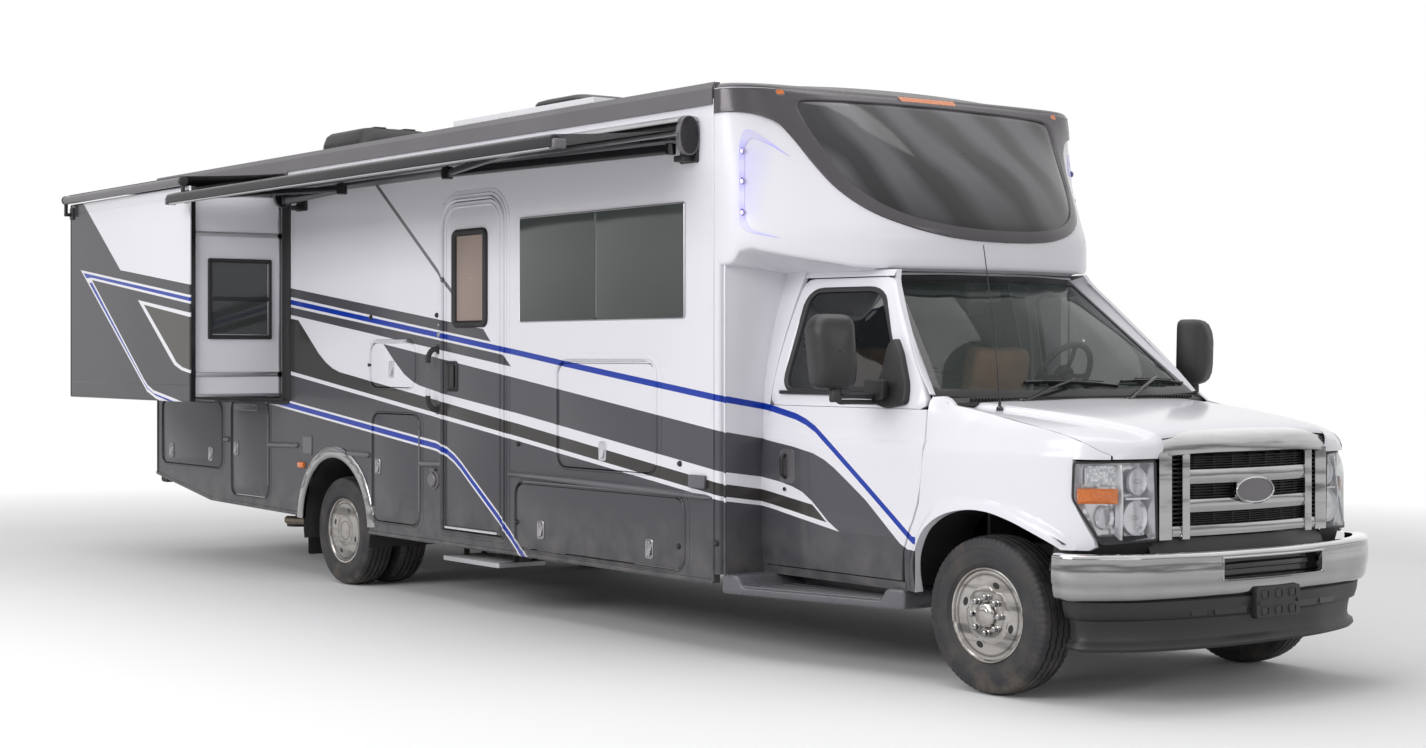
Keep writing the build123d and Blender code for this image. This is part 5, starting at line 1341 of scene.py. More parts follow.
CAB_TOP_LINE = through(both_sides([(0, 0.885), (0.35, 0.9), (0.6, 0.955), (0.69, 0.985), (0.735, 1.08), (0.775, 1.3),
                                   (0.82, 1.5), (0.838, CAP_REAR)]))
round_steps = np.linspace(-CAP_END, CAP_END, 97)
cab_top_at = [np.array([np.interp(s, np.linspace(-CAP_END, CAP_END, len(CAB_TOP_LINE)), CAB_TOP_LINE[:, i])
                        for i in (0, 1)])
              for s in round_steps]
rows = [[np.array([*xy, CAP_FOOT - 0.01]) for xy in cab_top_at]]
for share in (0.5, 0.85):
    rows.append([cap_place(s, cap_foot(s), 0) * share + rows[0][i] * (1 - share) + [0, 0, 0.03 * share * (1 - share)]
                 for i, s in enumerate(round_steps)])
for inset, lift in ((0.016, 0.0), (0.005, 0.006), (0.0, 0.02)):
    rows.append([cap_place(s, cap_foot(s) + lift, -inset) for s in round_steps])
for share in np.linspace(0, 1, 25)[1:]:
    rows.append([cap_place(s, (cap_foot(s) + 0.02) * (1 - share) + (CAP_TOP - 0.005) * share, 0)
                 for s in round_steps])
roll = [rows[-1]]
for a in np.radians((25, 50, 70, 90)):
    roll.append([cap_place(s, CAP_TOP - 0.005 + 0.6 * CAP_EDGE_RADIUS * math.sin(a),
                           -CAP_EDGE_RADIUS * (1 - math.cos(a)))
                 for s in round_steps])
crown = [np.array([p[0] * 0.5, max(p[1] + 0.1, 1.5), ROOF_EDGE + 0.012]) for p in roll[-1]]
roll += [[a * 0.7 + b * 0.3 for a, b in zip(roll[-1], crown)], crown]
cap_shell = piece("cap_shell", cap_coat, "vehicle", loft(rows, closed=False, caps=False), crease=50)
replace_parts(cap_shell, "front_cap")
piece("cap_roof_roll", crown_grey, "vehicle", grid(roll), crease=50)
print("cap: half length round", round(CAP_END, 3), "faces", len(cap_shell.data.polygons))

# %% [markdown]
# ## Crown and window of the cap
# The crown is painted grey. It starts at the roof corners, drops along both sides of the window and
# closes below it as a raised ring. Both its edges are drawn as pairs of distance round and height.
# The window fills the inner edge with rings that shrink toward its middle.

# %% Crown, window and its black border
WINDOW_HALF = [(0.0, 2.885), (0.5, 2.88), (0.86, 2.872), (0.985, 2.862), (1.015, 2.835), (1.0, 2.77), (0.965, 2.68),
               (0.925, 2.585), (0.885, 2.5), (0.81, 2.395), (0.7, 2.312), (0.55, 2.252), (0.38, 2.218), (0.2, 2.202),
               (0.0, 2.197)]
CROWN_CORNER = (CAP_END - 0.003, 2.926), (CAP_END - 0.003, 2.8)
CROWN_FOOT = [(CAP_END - 0.003, 2.8), (1.5, 2.803), (1.36, 2.8), (1.22, 2.76), (1.11, 2.66), (1.03, 2.54),
              (0.93, 2.4), (0.79, 2.285), (0.62, 2.212), (0.42, 2.163), (0.22, 2.142), (0.0, 2.137)]


def walked(points, count):
    """Points at even distances along a line."""
    p = np.array(points, float)
    far = np.concatenate([[0], np.cumsum(np.linalg.norm(np.diff(p, axis=0), axis=1))])
    return np.stack([np.interp(np.linspace(0, far[-1], count), far, p[:, i]) for i in range(p.shape[1])], 1)


def full(*lines):
    """A closed outline from the lines of its half on the driver's side."""
    half = np.vstack([lines[0]] + [line[1:] for line in lines[1:]])
    return [tuple(p) for p in half] + [(-u, v) for u, v in half[-2:0:-1]]


window_outline = full(walked(through(WINDOW_HALF[:5], 6), 31), walked(through(WINDOW_HALF[4:], 6), 49))
crown_outline = full(walked([(0, 2.926), CROWN_CORNER[0]], 25), walked(CROWN_CORNER, 7),
                     walked(through(CROWN_FOOT, 6), 49))
bands = []
for share, out in ((0, -0.004), (0, 0.004), (0.04, 0.008), (0.12, 0.009), (0.24, 0.011), (0.36, 0.012), (0.48, 0.013),
                   (0.6, 0.013), (0.72, 0.013), (0.85, 0.013), (0.93, 0.013), (0.985, 0.009), (1, 0.002), (1, -0.01)):
    bands.append([cap_place(a[0] + (b[0] - a[0]) * share, min(a[1] + (b[1] - a[1]) * share, CAP_TOP), out)
                  for a, b in zip(crown_outline, window_outline)])
piece("cap_crown", crown_grey, "vehicle", loft(bands, caps=False), crease=40)
middle_of_window = np.array([0.0, 2.62])
panes = []
for share, out in ((1.0, -0.006), (1.0, 0.0035), (0.99, 0.005), (0.9, 0.006), (0.75, 0.006), (0.6, 0.006),
                   (0.45, 0.006), (0.3, 0.006), (0.15, 0.006), (0.01, 0.006)):
    panes.append([cap_place(*(middle_of_window + (np.array(p) - middle_of_window) * share), out)
                  for p in window_outline])
cap_pane = piece("cap_pane", cap_glass, "vehicle", loft(panes, caps=False), crease=50)
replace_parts(cap_pane, "cap_window")
print("cap pane points:", len(window_outline))

# %% [markdown]
# ## Cab skin
# The cab is a pressed steel van front. Its flank is nearly upright up to the belt line, leans in
# above it, and turns round the corner into the lamps. One formula gives that flank: how wide the cab
# is at a place along it, less how far it leans in at a height. Above the belt it also tapers toward
# the windshield. Fender, hood edge and doors are all cut from it, so their gaps line up.

# %% The flank's formula
CAB_PLAN = through([(1.6, 1.003), (0.5, 1.003), (0.0, 1.001), (-0.2, 0.993), (-0.35, 0.975), (-0.46, 0.948),
                    (-0.53, 0.915), (-0.58, 0.865), (-0.62, 0.79), (-0.65, 0.68), (-0.672, 0.5)], 4)[::-1]
LEAN_DOOR = [(0.43, 0.02), (0.5, 0.01), (0.6, 0.003), (0.74, 0.0), (0.765, 0.006), (0.9, 0.004), (1.11, 0.0),
             (1.135, 0.002), (1.15, 0.013), (1.3, 0.018), (1.42, 0.026), (1.55, 0.048), (1.67, 0.076), (1.82, 0.118),
             (1.96, 0.165), (2.0, 0.182)]
BELT, TAPER = 1.3, 0.125
LEAN_FENDER = [(0.43, 0.02), (0.6, 0.004), (0.8, 0.0), (1.0, 0.0), (1.12, 0.003), (1.14, 0.014), (1.18, 0.024),
               (1.22, 0.04), (1.26, 0.062), (1.3, 0.09), (1.35, 0.135)]


def cab_side(y, z):
    """How far the cab's flank lies from the middle."""
    lean_door, lean_fender = (np.interp(z, *zip(*table)) for table in (LEAN_DOOR, LEAN_FENDER))
    forward = min(max((0.42 - y) / 0.3, 0), 1)
    taper = TAPER * max(0, (z - BELT) / 0.66) ** 1.2 * min(max((1.5 - y) / 0.65, 0), 1)
    return np.interp(y, CAB_PLAN[:, 0], CAB_PLAN[:, 1]) - lean_door * (1 - forward) - lean_fender * forward - taper


def flank(sign, out=0.0):
    """Placing on the cab's flank: (Y, Z, outwards)."""
    return lambda y, z, depth: (sign * (cab_side(y, z) + out + depth), y, z)


def patch(grid_points, across=6, along=6):
    """Smooth surface through a coarse net of points."""
    net = np.array(grid_points, float)
    wide = np.array([through(row, across) for row in net])
    return grid(np.stack([through(wide[:, i], along) for i in range(wide.shape[1])], 1))


def line_at(points, value):
    """Height or place on a line of (Y, Z) or (Z, Y) points at a value of the first."""
    return float(np.interp(value, *zip(*sorted(points))))


# %% Fenders
ARCH = [(0.424, 0.433), (0.43, 0.56), (0.405, 0.66), (0.345, 0.75), (0.242, 0.812), (0.102, 0.845), (-0.035, 0.845),
        (-0.169, 0.815), (-0.286, 0.772), (-0.395, 0.725), (-0.44, 0.7)]
HOOD_LINE = [(0.245, 1.322), (0.1, 1.297), (-0.1, 1.268), (-0.3, 1.232), (-0.43, 1.203), (-0.52, 1.17), (-0.6, 1.118)]
FENDER_EDGE = [(0.512, 0.433), (0.505, 0.62), (0.41, 0.86), (0.372, 1.15), (0.375, 1.36), (0.3, 1.365),
               (0.245, 1.322), (0.0, 1.283), (-0.3, 1.232), (-0.43, 1.203), (-0.478, 1.185), (-0.478, 1.14),
               (-0.478, 1.1), (-0.476, 0.93), (-0.568, 0.72), (-0.54, 0.7)]
FLARE, FLARE_REACH = 0.022, 0.055
arch_line = walked(through(ARCH, 6), 91)
edge_line = np.stack([np.interp(np.linspace(0, 1, 91),
                                [0, 0.1, 0.2, 0.28, 0.34, 0.37, 0.4, 0.52, 0.68, 0.76, 0.81, 0.84, 0.87, 0.93, 0.985,
                                 1.0],
                                [p[i] for p in FENDER_EDGE]) for i in (0, 1)], 1)


def fender(sign):
    """Flared skin from the wheel arch out to the gaps of hood, door and bumper, and the strip over the lamp."""
    rows = []
    for inward in (0.05, 0.012, 0.003):
        rows.append([(sign * (cab_side(y, z) + FLARE - inward), y, z) for y, z in arch_line])
    for share in np.concatenate([np.linspace(0, 0.3, 8), np.linspace(0.36, 1, 14)]):
        line = arch_line + (edge_line - arch_line) * share
        gap = np.linalg.norm(line - arch_line, axis=1)
        rows.append([(sign * (cab_side(y, z) + FLARE * max(0, 1 - (g / FLARE_REACH) ** 2) ** 0.5), y, z)
                     for (y, z), g in zip(line, gap)])
    rows.append([(p[0] - sign * 0.02, p[1], p[2]) for p in rows[-1]])
    over_lamp = [[(sign * cab_side(y, z), y, z) for y in np.linspace(-0.478, -0.6, 9)
                  for z in [1.1 + (line_at(HOOD_LINE, y) - 1.1) * share]]
                 for share in (0, 0.35, 0.7, 1)]
    return [grid(rows), grid(over_lamp)]


for word, sign in SIDES:
    liner = [[(sign * x, y + (0.02 if y > 0 else -0.02), z + 0.025) for y, z in arch_line[::3]]
             for x in (0.985, 0.9, 0.62)]
    piece("fender_" + word, cab_paint, "vehicle", *fender(sign), crease=40)
    piece("arch_liner_" + word, black_plastic, "vehicle", grid(liner))

# %% Hood
HOOD_ROWS = [(0.25, 1.345), (0.1, 1.333), (-0.1, 1.315), (-0.3, 1.292), (-0.45, 1.27), (-0.56, 1.25), (-0.635, 1.228),
             (-0.662, 1.213)]
HOOD_EDGE_Y = (0.245, 0.1, -0.1, -0.3, -0.43, -0.51, -0.565, -0.6)
net = []
for (y, z), edge_y in zip(HOOD_ROWS, HOOD_EDGE_Y):
    edge_z = line_at(HOOD_LINE, edge_y)
    edge_x = cab_side(edge_y, edge_z) - 0.004
    crease = 0.6 + 0.16 * (y + 0.66) / 0.91
    drop = z - edge_z
    half = [(0, y, z), (0.3, y, z - 0.003), (crease - 0.05, y + 0.003, z - 0.01), (crease, y + 0.004, z - 0.02),
            (crease + 0.03, y + 0.006, z - 0.034 - drop * 0.05)]
    half += [(crease + 0.03 + (edge_x - crease - 0.03) * f, y + (edge_y - y) * f, z - 0.034 - (drop - 0.034) * g)
             for f, g in ((0.5, 0.36), (0.82, 0.68), (1.0, 1.0))]
    net.append([(-a, b, c) for a, b, c in half[:0:-1]] + half)
hood_net = np.array(net)
rim = through(hood_net[-1], 5)
ahead = rim - through(hood_net[-2], 5)
foot = np.array([(x, line_at([(b, a) for a, b in CAB_PLAN[:30]], max(abs(x), 0.5)) - 0.002, 1.101)
                 for x in rim[:, 0]])
knee = np.array([p + unit(a) * 0.5 * np.linalg.norm(f - p) for p, a, f in zip(rim, ahead, foot)])
cheeks = []
for sign in (-1, 1):
    some = (sign * rim[:, 0]) > 0.58
    cheeks.append(grid([(rim * (1 - t) ** 2 + knee * 2 * t * (1 - t) + foot * t ** 2)[some]
                        for t in np.linspace(0, 1, 7)]))
front = np.abs(rim[:, 0]) < 0.62
roll = [rim[front], (rim + [0, -0.008, -0.012])[front]]
hood_piece = piece("hood_skin", cab_paint, "hood_panel", patch(hood_net, 5, 4), grid(roll), *cheeks, crease=50)
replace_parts(hood_piece, "hood")
print("hood faces:", len(hood_piece.data.polygons))

# %% Doors
DOOR_FRONT = [(0.478, 0.528), (0.62, 0.512), (0.75, 0.462), (0.87, 0.415), (1.0, 0.388), (1.15, 0.377), (1.3, 0.377),
              (1.4, 0.392)]
DOOR_REAR = [(0.478, 1.53), (1.15, 1.53), (1.3, 1.503), (1.4, 1.484)]
WINDOW = softened([(0.541, 1.386), (1.406, 1.372), (1.356, 1.9), (0.897, 1.9)], 0.09, 5)
DOOR_TOP = softened([(0.377, 1.3), (1.503, 1.3), (1.404, 1.952), (0.861, 1.952), (0.617, 1.665), (0.406, 1.4)], 0.05,
                    4)
SILL_Z = 0.478
heights = [SILL_Z, 0.5, 0.56, 0.62, 0.68, 0.725, 0.74, 0.75, 0.765, 0.78, 0.85, 0.92, 1.0, 1.07, 1.11, 1.128, 1.136,
           1.145, 1.155, 1.2, BELT]


def door_skin(sign):
    """Skin of a cab door: rows up to the belt line, and a frame round the window above it."""
    place = flank(sign, 0.002)
    rows = []
    for z in heights:
        y0, y1 = (line_at(t, z) for t in (DOOR_FRONT, DOOR_REAR))
        line = [place(y, z, d) for y, d in ((y0, -0.03), (y0, -0.004), (y0 + 0.003, 0.0))]
        line += [place(y, z, 0) for y in np.linspace(y0 + 0.003, y1 - 0.003, 22)[1:-1]]
        rows.append(line + [place(y1 - 0.003, z, 0), place(y1, z, -0.004), place(y1, z, -0.03)])
    rows.insert(0, [(x - sign * 0.03, y, z) for x, y, z in rows[0]])
    outer = walked(np.vstack([DOOR_TOP, DOOR_TOP[:1]]), 97)[:-1]
    inner = walked(np.vstack([WINDOW, WINDOW[:1]]), 97)[:-1]
    start = int(np.argmin(np.linalg.norm(inner - [0.541, 1.386], axis=1)))
    outer_start = int(np.argmin(np.linalg.norm(outer - [0.377, 1.3], axis=1)))
    inner, outer = np.roll(inner, -start, 0), np.roll(outer, -outer_start, 0)
    frame_rows = [[place(y, z, d) for y, z in outer + (inner - outer) * s]
                  for s, d in ((0, -0.03), (0.0, -0.004), (0.04, 0), (0.35, 0), (0.7, 0.0), (0.93, 0.0),
                               (0.97, -0.003), (0.98, -0.03))]
    return [grid(rows), loft(frame_rows, caps=False)]


HANDLE = rounded(1.3, 0.905, 1.4, 1.075, 0.02)
for word, sign in SIDES:
    body = "cab_side_door_" + word
    skin = piece("cab_door_skin_" + word, cab_paint, body, *door_skin(sign), crease=45)
    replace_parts(skin, "cab_door_" + word)
    seal = frame_strip(WINDOW, flank(sign),
                       [(0.004, -0.012), (0.006, 0.006), (-0.004, 0.008), (-0.018, 0.002), (-0.022, -0.012)])
    sill = brick((sign * 0.985, 0.52, 1.36), (sign * 1.0, 1.42, 1.378), 0.004)
    piece("door_window_seal_" + word, rubber, body, seal, sill)
    glass = piece("door_pane_" + word, side_glass, body, rings_to_middle(WINDOW, flank(sign), -0.008))
    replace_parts(glass, "cab_door_glass_" + word)
    inner = [[(sign * (cab_side(y, z) - 0.055), y, z)
              for y in np.linspace(line_at(DOOR_FRONT, z) + 0.02, line_at(DOOR_REAR, z) - 0.02, 8)]
             for z in (0.5, 0.8, 0.82, 1.1, 1.12, 1.33)]
    piece("door_lining_" + word, cabin_plastic, body, grid(inner))
    pocket = frame_strip(HANDLE, flank(sign), [(0.004, 0.001), (0.001, 0.005), (-0.006, 0.004), (-0.01, -0.001)])
    piece("door_handle_pocket_" + word, satin_grey, body, pocket, plate(HANDLE, flank(sign), 0.0, 0.0028))
    grip = [(sign * (cab_side(1.36, z) + d), 1.365, z)
            for z, d in ((0.93, 0.006), (0.945, 0.028), (1.035, 0.028), (1.05, 0.006))]
    lock = turned([(0, 0.013), (sign * 0.006, 0.012), (sign * 0.007, 0.001)],
                  (sign * (cab_side(1.37, 0.872) + 0.001), 1.37, 0.872), steps=20)
    piece("door_handle_" + word, black_plastic, body,
          sweep(softened(grip, 0.012, 3, False), rounded(-0.011, -0.006, 0.011, 0.006, 0.004, 2), up=(1, 0, 0)))
    piece("door_lock_" + word, chrome, body, lock)
print("door faces:", len(skin.data.polygons))

# %% Pillars, header, sills and cowl
SHIELD_TOP = [(0, 0.868, 1.962), (0.35, 0.892, 1.962), (0.655, 0.955, 1.957)]
SHIELD_LOW = [(0, 0.258, 1.352), (0.5, 0.282, 1.354), (0.925, 0.365, 1.366)]


def shield_place(s, v, out):
    """Point on the windshield: across from -1 to 1, up from 0 to 1, and outwards."""
    top, low = (np.array([np.interp(abs(s) * t[-1][0], [p[0] for p in t], [p[i] for p in t]) for i in (1, 2)])
                for t in (SHIELD_TOP, SHIELD_LOW))
    half = SHIELD_LOW[-1][0] + (SHIELD_TOP[-1][0] - SHIELD_LOW[-1][0]) * v
    y, z = low + (top - low) * v
    bow = 0.035 * (1 - s * s) * math.sin(math.pi * min(max(v, 0), 1))
    return np.array([s * half, y - bow - 0.72 * out, z + 0.69 * out + 0.3 * bow])


door_end = lambda z: line_at(DOOR_REAR + [(1.965, 1.4)], z) + 0.006
for word, sign in SIDES:
    shield_side = [shield_place(sign, v, 0) for v in np.linspace(0, 1, 13)]
    door_side = [np.array([sign * (cab_side(max(y, 0.4), z) + 0.001), y, z]) for y, z in
                 [(0.372, 1.372), (0.402, 1.41), (0.453, 1.47), (0.511, 1.54), (0.566, 1.61), (0.614, 1.665),
                  (0.661, 1.72), (0.711, 1.78), (0.752, 1.83), (0.79, 1.875), (0.82, 1.91), (0.845, 1.945),
                  (0.865, 1.99)]]
    rows = [[p + [0, 0.02, -0.02] for p in shield_side], shield_side]
    for share, bulge in ((0.15, 0.006), (0.35, 0.012), (0.6, 0.014), (0.85, 0.01), (1.0, 0.0)):
        rows.append([a + (b - a) * share + np.array([sign * 0.7, -0.7, 0.2]) * bulge
                     for a, b in zip(shield_side, door_side)])
    rows.append([p + [-sign * 0.03, 0, 0] for p in door_side])
    rear_strip = [[(sign * cab_side(1.55, z) - sign * d, y, z)
                   for y, d in ((door_end(z), 0.03), (door_end(z), 0.001), (1.52 if z < 1.2 else 1.54, 0.0),
                                (1.575, 0.0))]
                  for z in (0.43, 0.6, 1.0, 1.15, 1.3, 1.42, 1.55, 1.67, 1.82, 1.965, 2.01)]
    header = [[(sign * (cab_side(y, z) + 0.001), y, z) for y in np.linspace(0.866, 1.56, 9)]
              for z in (1.957, 1.97, 1.99)]
    sill = [[(sign * (cab_side(y, z) - d), y, z) for y in np.linspace(0.5, 1.56, 9)]
            for z, d in ((0.473, 0.03), (0.472, 0.0), (0.43, 0.0), (0.425, 0.06))]
    piece("pillars_" + word, cab_paint, "vehicle", grid(rows), grid(rear_strip), grid(header), grid(sill), crease=45)
roof_rows = [[shield_place(s, 1.0, 0) + [0, 0, -0.004] for s in np.linspace(-1.05, 1.05, 13)],
             [shield_place(s, 1.0, 0) + [0, 0.02, 0.02] for s in np.linspace(-1.06, 1.06, 13)]]
roof_rows += [[(s * cab_side(y, 1.97), y, 1.992) for s in np.linspace(-1, 1, 13)] for y in (1.1, 1.3, 1.59)]
floor_box = [brick((-0.98, 0.45, 0.86), (0.98, 1.595, 0.9), 0.01), brick((-0.6, 0.335, 0.56), (0.6, 0.36, 1.3), 0.01),
             brick((-0.72, 0.48, 0.56), (0.72, 1.59, 0.585), 0.01),
             brick((-0.6, 0.335, 0.56), (0.6, 0.5, 0.585), 0.01),
             brick((-0.25, 0.34, 0.585), (0.25, 0.9, 1.01), 0.05),
             brick((-0.98, 1.56, 0.5), (-0.7, 1.59, 2.0), 0.01), brick((0.7, 1.56, 0.5), (0.98, 1.59, 2.0), 0.01)]
shell = piece("cab_floor_and_bulkhead", chassis_black, "vehicle", *floor_box)
piece("cab_roof", cab_paint, "vehicle", grid(roof_rows))
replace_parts(shell, "cab_shell")
RETURN_HEIGHTS = [0.432, 0.46, 0.8, 1.13, 1.16, 1.3, 1.42, 1.55, 1.67, 1.82, 1.965, 2.05]
for word, sign in SIDES:
    panel = [[(sign * (cab_side(1.55, min(z, 1.99)) - 0.006), HOUSE_FRONT - 0.03, z),
              (sign * (cab_side(1.55, min(z, 1.99)) - 0.006), HOUSE_FRONT - 0.042, z),
              (sign * (HALF_WIDTH - 0.016), HOUSE_FRONT - 0.042, z),
              (sign * (HALF_WIDTH - 0.004), HOUSE_FRONT - 0.036, z),
              (sign * HALF_WIDTH, HOUSE_FRONT - 0.022, z), (sign * HALF_WIDTH, HOUSE_FRONT + 0.001, z)]
             for z in RETURN_HEIGHTS]
    panel.insert(0, [(x, y if i in (0, 5) else HOUSE_FRONT, z) for i, (x, y, z) in enumerate(panel[0])])
    piece("cab_return_" + word, gelcoat, "vehicle", grid(panel), crease=50)
cowl_rows = [[(s * 0.935, y - 0.012 * (1 - s * s) + 0.04 * s ** 4, z + 0.008 * (1 - s * s))
              for s in np.linspace(-1, 1, 40)]
             for y, z in ((0.236, 1.315), (0.24, 1.333), (0.262, 1.342), (0.3, 1.352), (0.34, 1.36))]
ribs = [brick((x, 0.246, 1.34), (x + 0.007, 0.275, 1.357), 0.002) for x in np.arange(-0.8, 0.8, 0.022)]
piece("cowl", black_plastic, "vehicle", grid(cowl_rows), *ribs)

# %% Windshield and its black border
shares = np.linspace(-1, 1, 33)
pane_rows = [[shield_place(s, v, 0.002) for s in shares] for v in np.linspace(0, 1, 13)]
pane = piece("windshield_pane", cab_glass, "vehicle", grid(pane_rows))
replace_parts(pane, "windshield")
shield_outline = ([(s, 0.0) for s in shares[:-1]] + [(1, v) for v in np.linspace(0, 1, 13)[:-1]]
                  + [(s, 1.0) for s in shares[:0:-1]] + [(-1, v) for v in np.linspace(1, 0, 13)[:-1]])
border = [[shield_place(s * (1 + a), 0.5 + (v - 0.5) * (1 + b), d) for s, v in shield_outline]
          for a, b, d in ((0.012, 0.02, -0.01), (0.012, 0.02, 0.004), (0.0, 0.0, 0.007), (-0.035, -0.1, 0.006),
                          (-0.037, -0.105, -0.002))]
piece("windshield_border", gloss_black, "vehicle", loft(border, caps=False))
print("windshield spans", shield_place(-1, 0, 0).round(3), shield_place(1, 1, 0).round(3))

# %% [markdown]
# ## Lamps, grille and bumper
# A headlamp is a clear cover over a bright pocket, so it needs three layers: the cover on the skin
# of the cab, a pocket behind it and turned bowls inside. The grille is a thick chrome frame with a
# header that rolls over the hood's edge. The bumper is one section carried round the nose.

# %% The nose and the headlamps
POCKET_DEPTH = 0.075
NOSE = np.array([(x, y) for y, x in CAB_PLAN if x > 0.45 and y < 0.1])
NOSE_FAR = np.concatenate([[0], np.cumsum(np.linalg.norm(np.diff(NOSE, axis=0), axis=1))])


def nose_y(x):
    """How far forward the skin is at a distance from the middle."""
    return float(np.interp(min(abs(x), 0.99), NOSE[:, 0], NOSE[:, 1]))


def far(x):
    """How far round the nose's corner the skin is at a distance from the middle."""
    return float(np.interp(x, NOSE[:, 0], NOSE_FAR))


def nose_place(sign):
    """Placing on the nose's corner: (distance round it, Z, outwards)."""
    def place(u, z, out):
        here, ahead, back = (np.array([np.interp(u + d, NOSE_FAR, NOSE[:, i]) for i in (0, 1)])
                             for d in (0, 0.012, -0.012))
        along = unit(ahead - back)
        return (sign * (here[0] + along[1] * out), here[1] - along[0] * out, z)
    return place


def nose_rect(x0, z0, x1, z1, radius):
    """Outline with round corners on the nose, given by distances from the middle."""
    return rounded(far(x0), z0, far(x1), z1, radius, 3)


LAMP_OUTLINE = softened([(far(0.6), 0.738), (far(0.868), 0.724), (far(0.942), 0.925), (far(0.94), 1.09),
                         (far(0.612), 1.095)], 0.02, 4)


def bowl(x, y, z, radius, deep=0.05):
    """Bright bowl that opens forwards."""
    profile = [(deep * (1 - (r / radius) ** 2), r)
               for r in np.linspace(0.004, radius, 9)] + [(-0.004, radius + 0.003), (0.01, radius + 0.004)]
    return turned(profile, (x, y, z), "y", 28)


for word, sign in SIDES:
    place = nose_place(sign)
    pocket_rows = [[place(u, v, d) for u, v in grown(LAMP_OUTLINE, by)]
                   for by, d in ((0.0, 0.004), (-0.004, 0.004), (-0.008, -0.01), (-0.018, -POCKET_DEPTH))]
    middle = np.mean(LAMP_OUTLINE, axis=0)
    pocket_rows += [[place(*(middle + (np.array(p) - middle) * s), -POCKET_DEPTH)
                     for p in grown(LAMP_OUTLINE, -0.018)] for s in (0.7, 0.4, 0.05)]
    inner = [bowl(sign * 0.675, -0.615, 1.0, 0.058), bowl(sign * 0.69, -0.615, 0.84, 0.075),
             bowl(sign * 0.815, -0.555, 0.84, 0.05, 0.04)]
    divider = [sweep([(sign * 0.765, -0.585, 0.745), (sign * 0.775, -0.6, 0.9), (sign * 0.765, -0.585, 1.075)],
                     rounded(-0.02, -0.006, 0.02, 0.006, 0.004, 2), up=(1, 0, 0)),
               sweep([(sign * 0.62, -0.625, 0.925), (sign * 0.75, -0.6, 0.925)],
                     rounded(-0.018, -0.005, 0.018, 0.005, 0.003, 2))]
    fins = [brick((sign * (0.79 + 0.022 * i), -0.56 + 0.028 * i, 0.985),
                  (sign * (0.808 + 0.022 * i), -0.5 + 0.028 * i, 1.065), 0.003) for i in range(5)]
    piece("headlamp_pocket_" + word, lamp_silver, "vehicle", loft(pocket_rows, caps=False), *inner, *divider, *fins,
          crease=30)
    piece("headlamp_prisms_" + word, reflector, "vehicle",
          *[rings_to_middle(nose_rect(*r, 0.012), place, -0.045)
            for r in ((0.79, 0.98, 0.915, 1.07), (0.63, 0.76, 0.75, 0.8))])
    bulb = [(-0.03, 0.002), (-0.028, 0.009), (0.01, 0.011), (0.03, 0.011)]
    piece("headlamp_bulbs_" + word, lens_glass, "vehicle",
          *[turned(bulb, (sign * x, -0.6, z), "y", 14) for x, z in ((0.675, 1.0), (0.69, 0.84))])
    piece("turn_lamp_" + word, amber, "vehicle",
          rings_to_middle(nose_rect(0.8, 0.905, 0.934, 0.972, 0.006), place, -0.006))
    piece("headlamp_cover_" + word, lens_glass, "vehicle",
          rings_to_middle(grown(LAMP_OUTLINE, -0.003), place, 0.006, (1.01, 1, 0.97, 0.8, 0.6, 0.4, 0.2, 0.02)))
    rim = frame_strip(LAMP_OUTLINE, place,
                      [(0.001, -0.01), (0.002, 0.004), (-0.001, 0.009), (-0.008, 0.009), (-0.01, 0.003)])
    piece("headlamp_rim_" + word, black_plastic, "vehicle", rim)
print("headlamp outline points:", len(LAMP_OUTLINE))

# %% Grille
GRILLE_HALF, GRILLE_FOOT, HEADER_FOOT = 0.597, 0.742, 1.117
BANDS = [(1.05, 1.108), (0.917, 0.98), (0.8, 0.853)]
UPRIGHT_IN, UPRIGHT_OUT, CHEEK_IN = 0.415, 0.462, 0.515


def face_y(x):
    """The grille's face, slightly bowed."""
    return -0.712 + 0.06 * (x / 0.6) ** 2


def bar_across(x0, x1, z0, z1, forward, deep=0.05, radius=0.012, steps=9):
    """Bowed bar across the nose with a rounded face."""
    middle, bevel = (z0 + z1) / 2, 0.3 * radius
    section = [(deep, z0), (radius - forward, z0), (bevel - forward, z0 + bevel), (-forward, z0 + radius),
               (-forward - 0.004, middle),
               (-forward, z1 - radius), (bevel - forward, z1 - bevel), (radius - forward, z1), (deep, z1)]
    return loft([[(x, face_y(x) + back, z) for back, z in section] for x in np.linspace(x0, x1, steps)])


bright = [bar_across(-UPRIGHT_IN, UPRIGHT_IN, BANDS[i + 1][1], BANDS[i][0], 0.004) for i in range(2)]
bright.append(bar_across(-CHEEK_IN, CHEEK_IN, GRILLE_FOOT, BANDS[2][0], 0.006))
header_section = [(0.04, HEADER_FOOT), (-0.012, HEADER_FOOT), (-0.022, HEADER_FOOT + 0.008), (-0.02, 1.16),
                  (-0.006, 1.193), (0.015, 1.212), (0.042, 1.221), (0.075, 1.226), (0.08, 1.21)]
bright.append(loft([[(x, face_y(x) + y, z - 0.018 * (abs(x) / 0.6) ** 4) for y, z in header_section]
                    for x in np.linspace(-0.592, 0.592, 33)]))
for sign in (-1, 1):
    for inner_x, outer_x, forward in ((UPRIGHT_IN, UPRIGHT_OUT, 0.012), (CHEEK_IN, GRILLE_HALF, 0.014)):
        middle_x = (inner_x + outer_x) / 2
        half = abs(outer_x - inner_x) / 2
        bright.append(sweep([(sign * middle_x, face_y(middle_x) + 0.012 - forward, z)
                             for z in np.linspace(GRILLE_FOOT - 0.002, HEADER_FOOT + 0.01, 7)],
                            rounded(-half, -0.028, half, 0.02, 0.013, 4), up=(0, -1, 0)))
grille_piece = piece("grille_frame", chrome, "vehicle", *bright, crease=42)
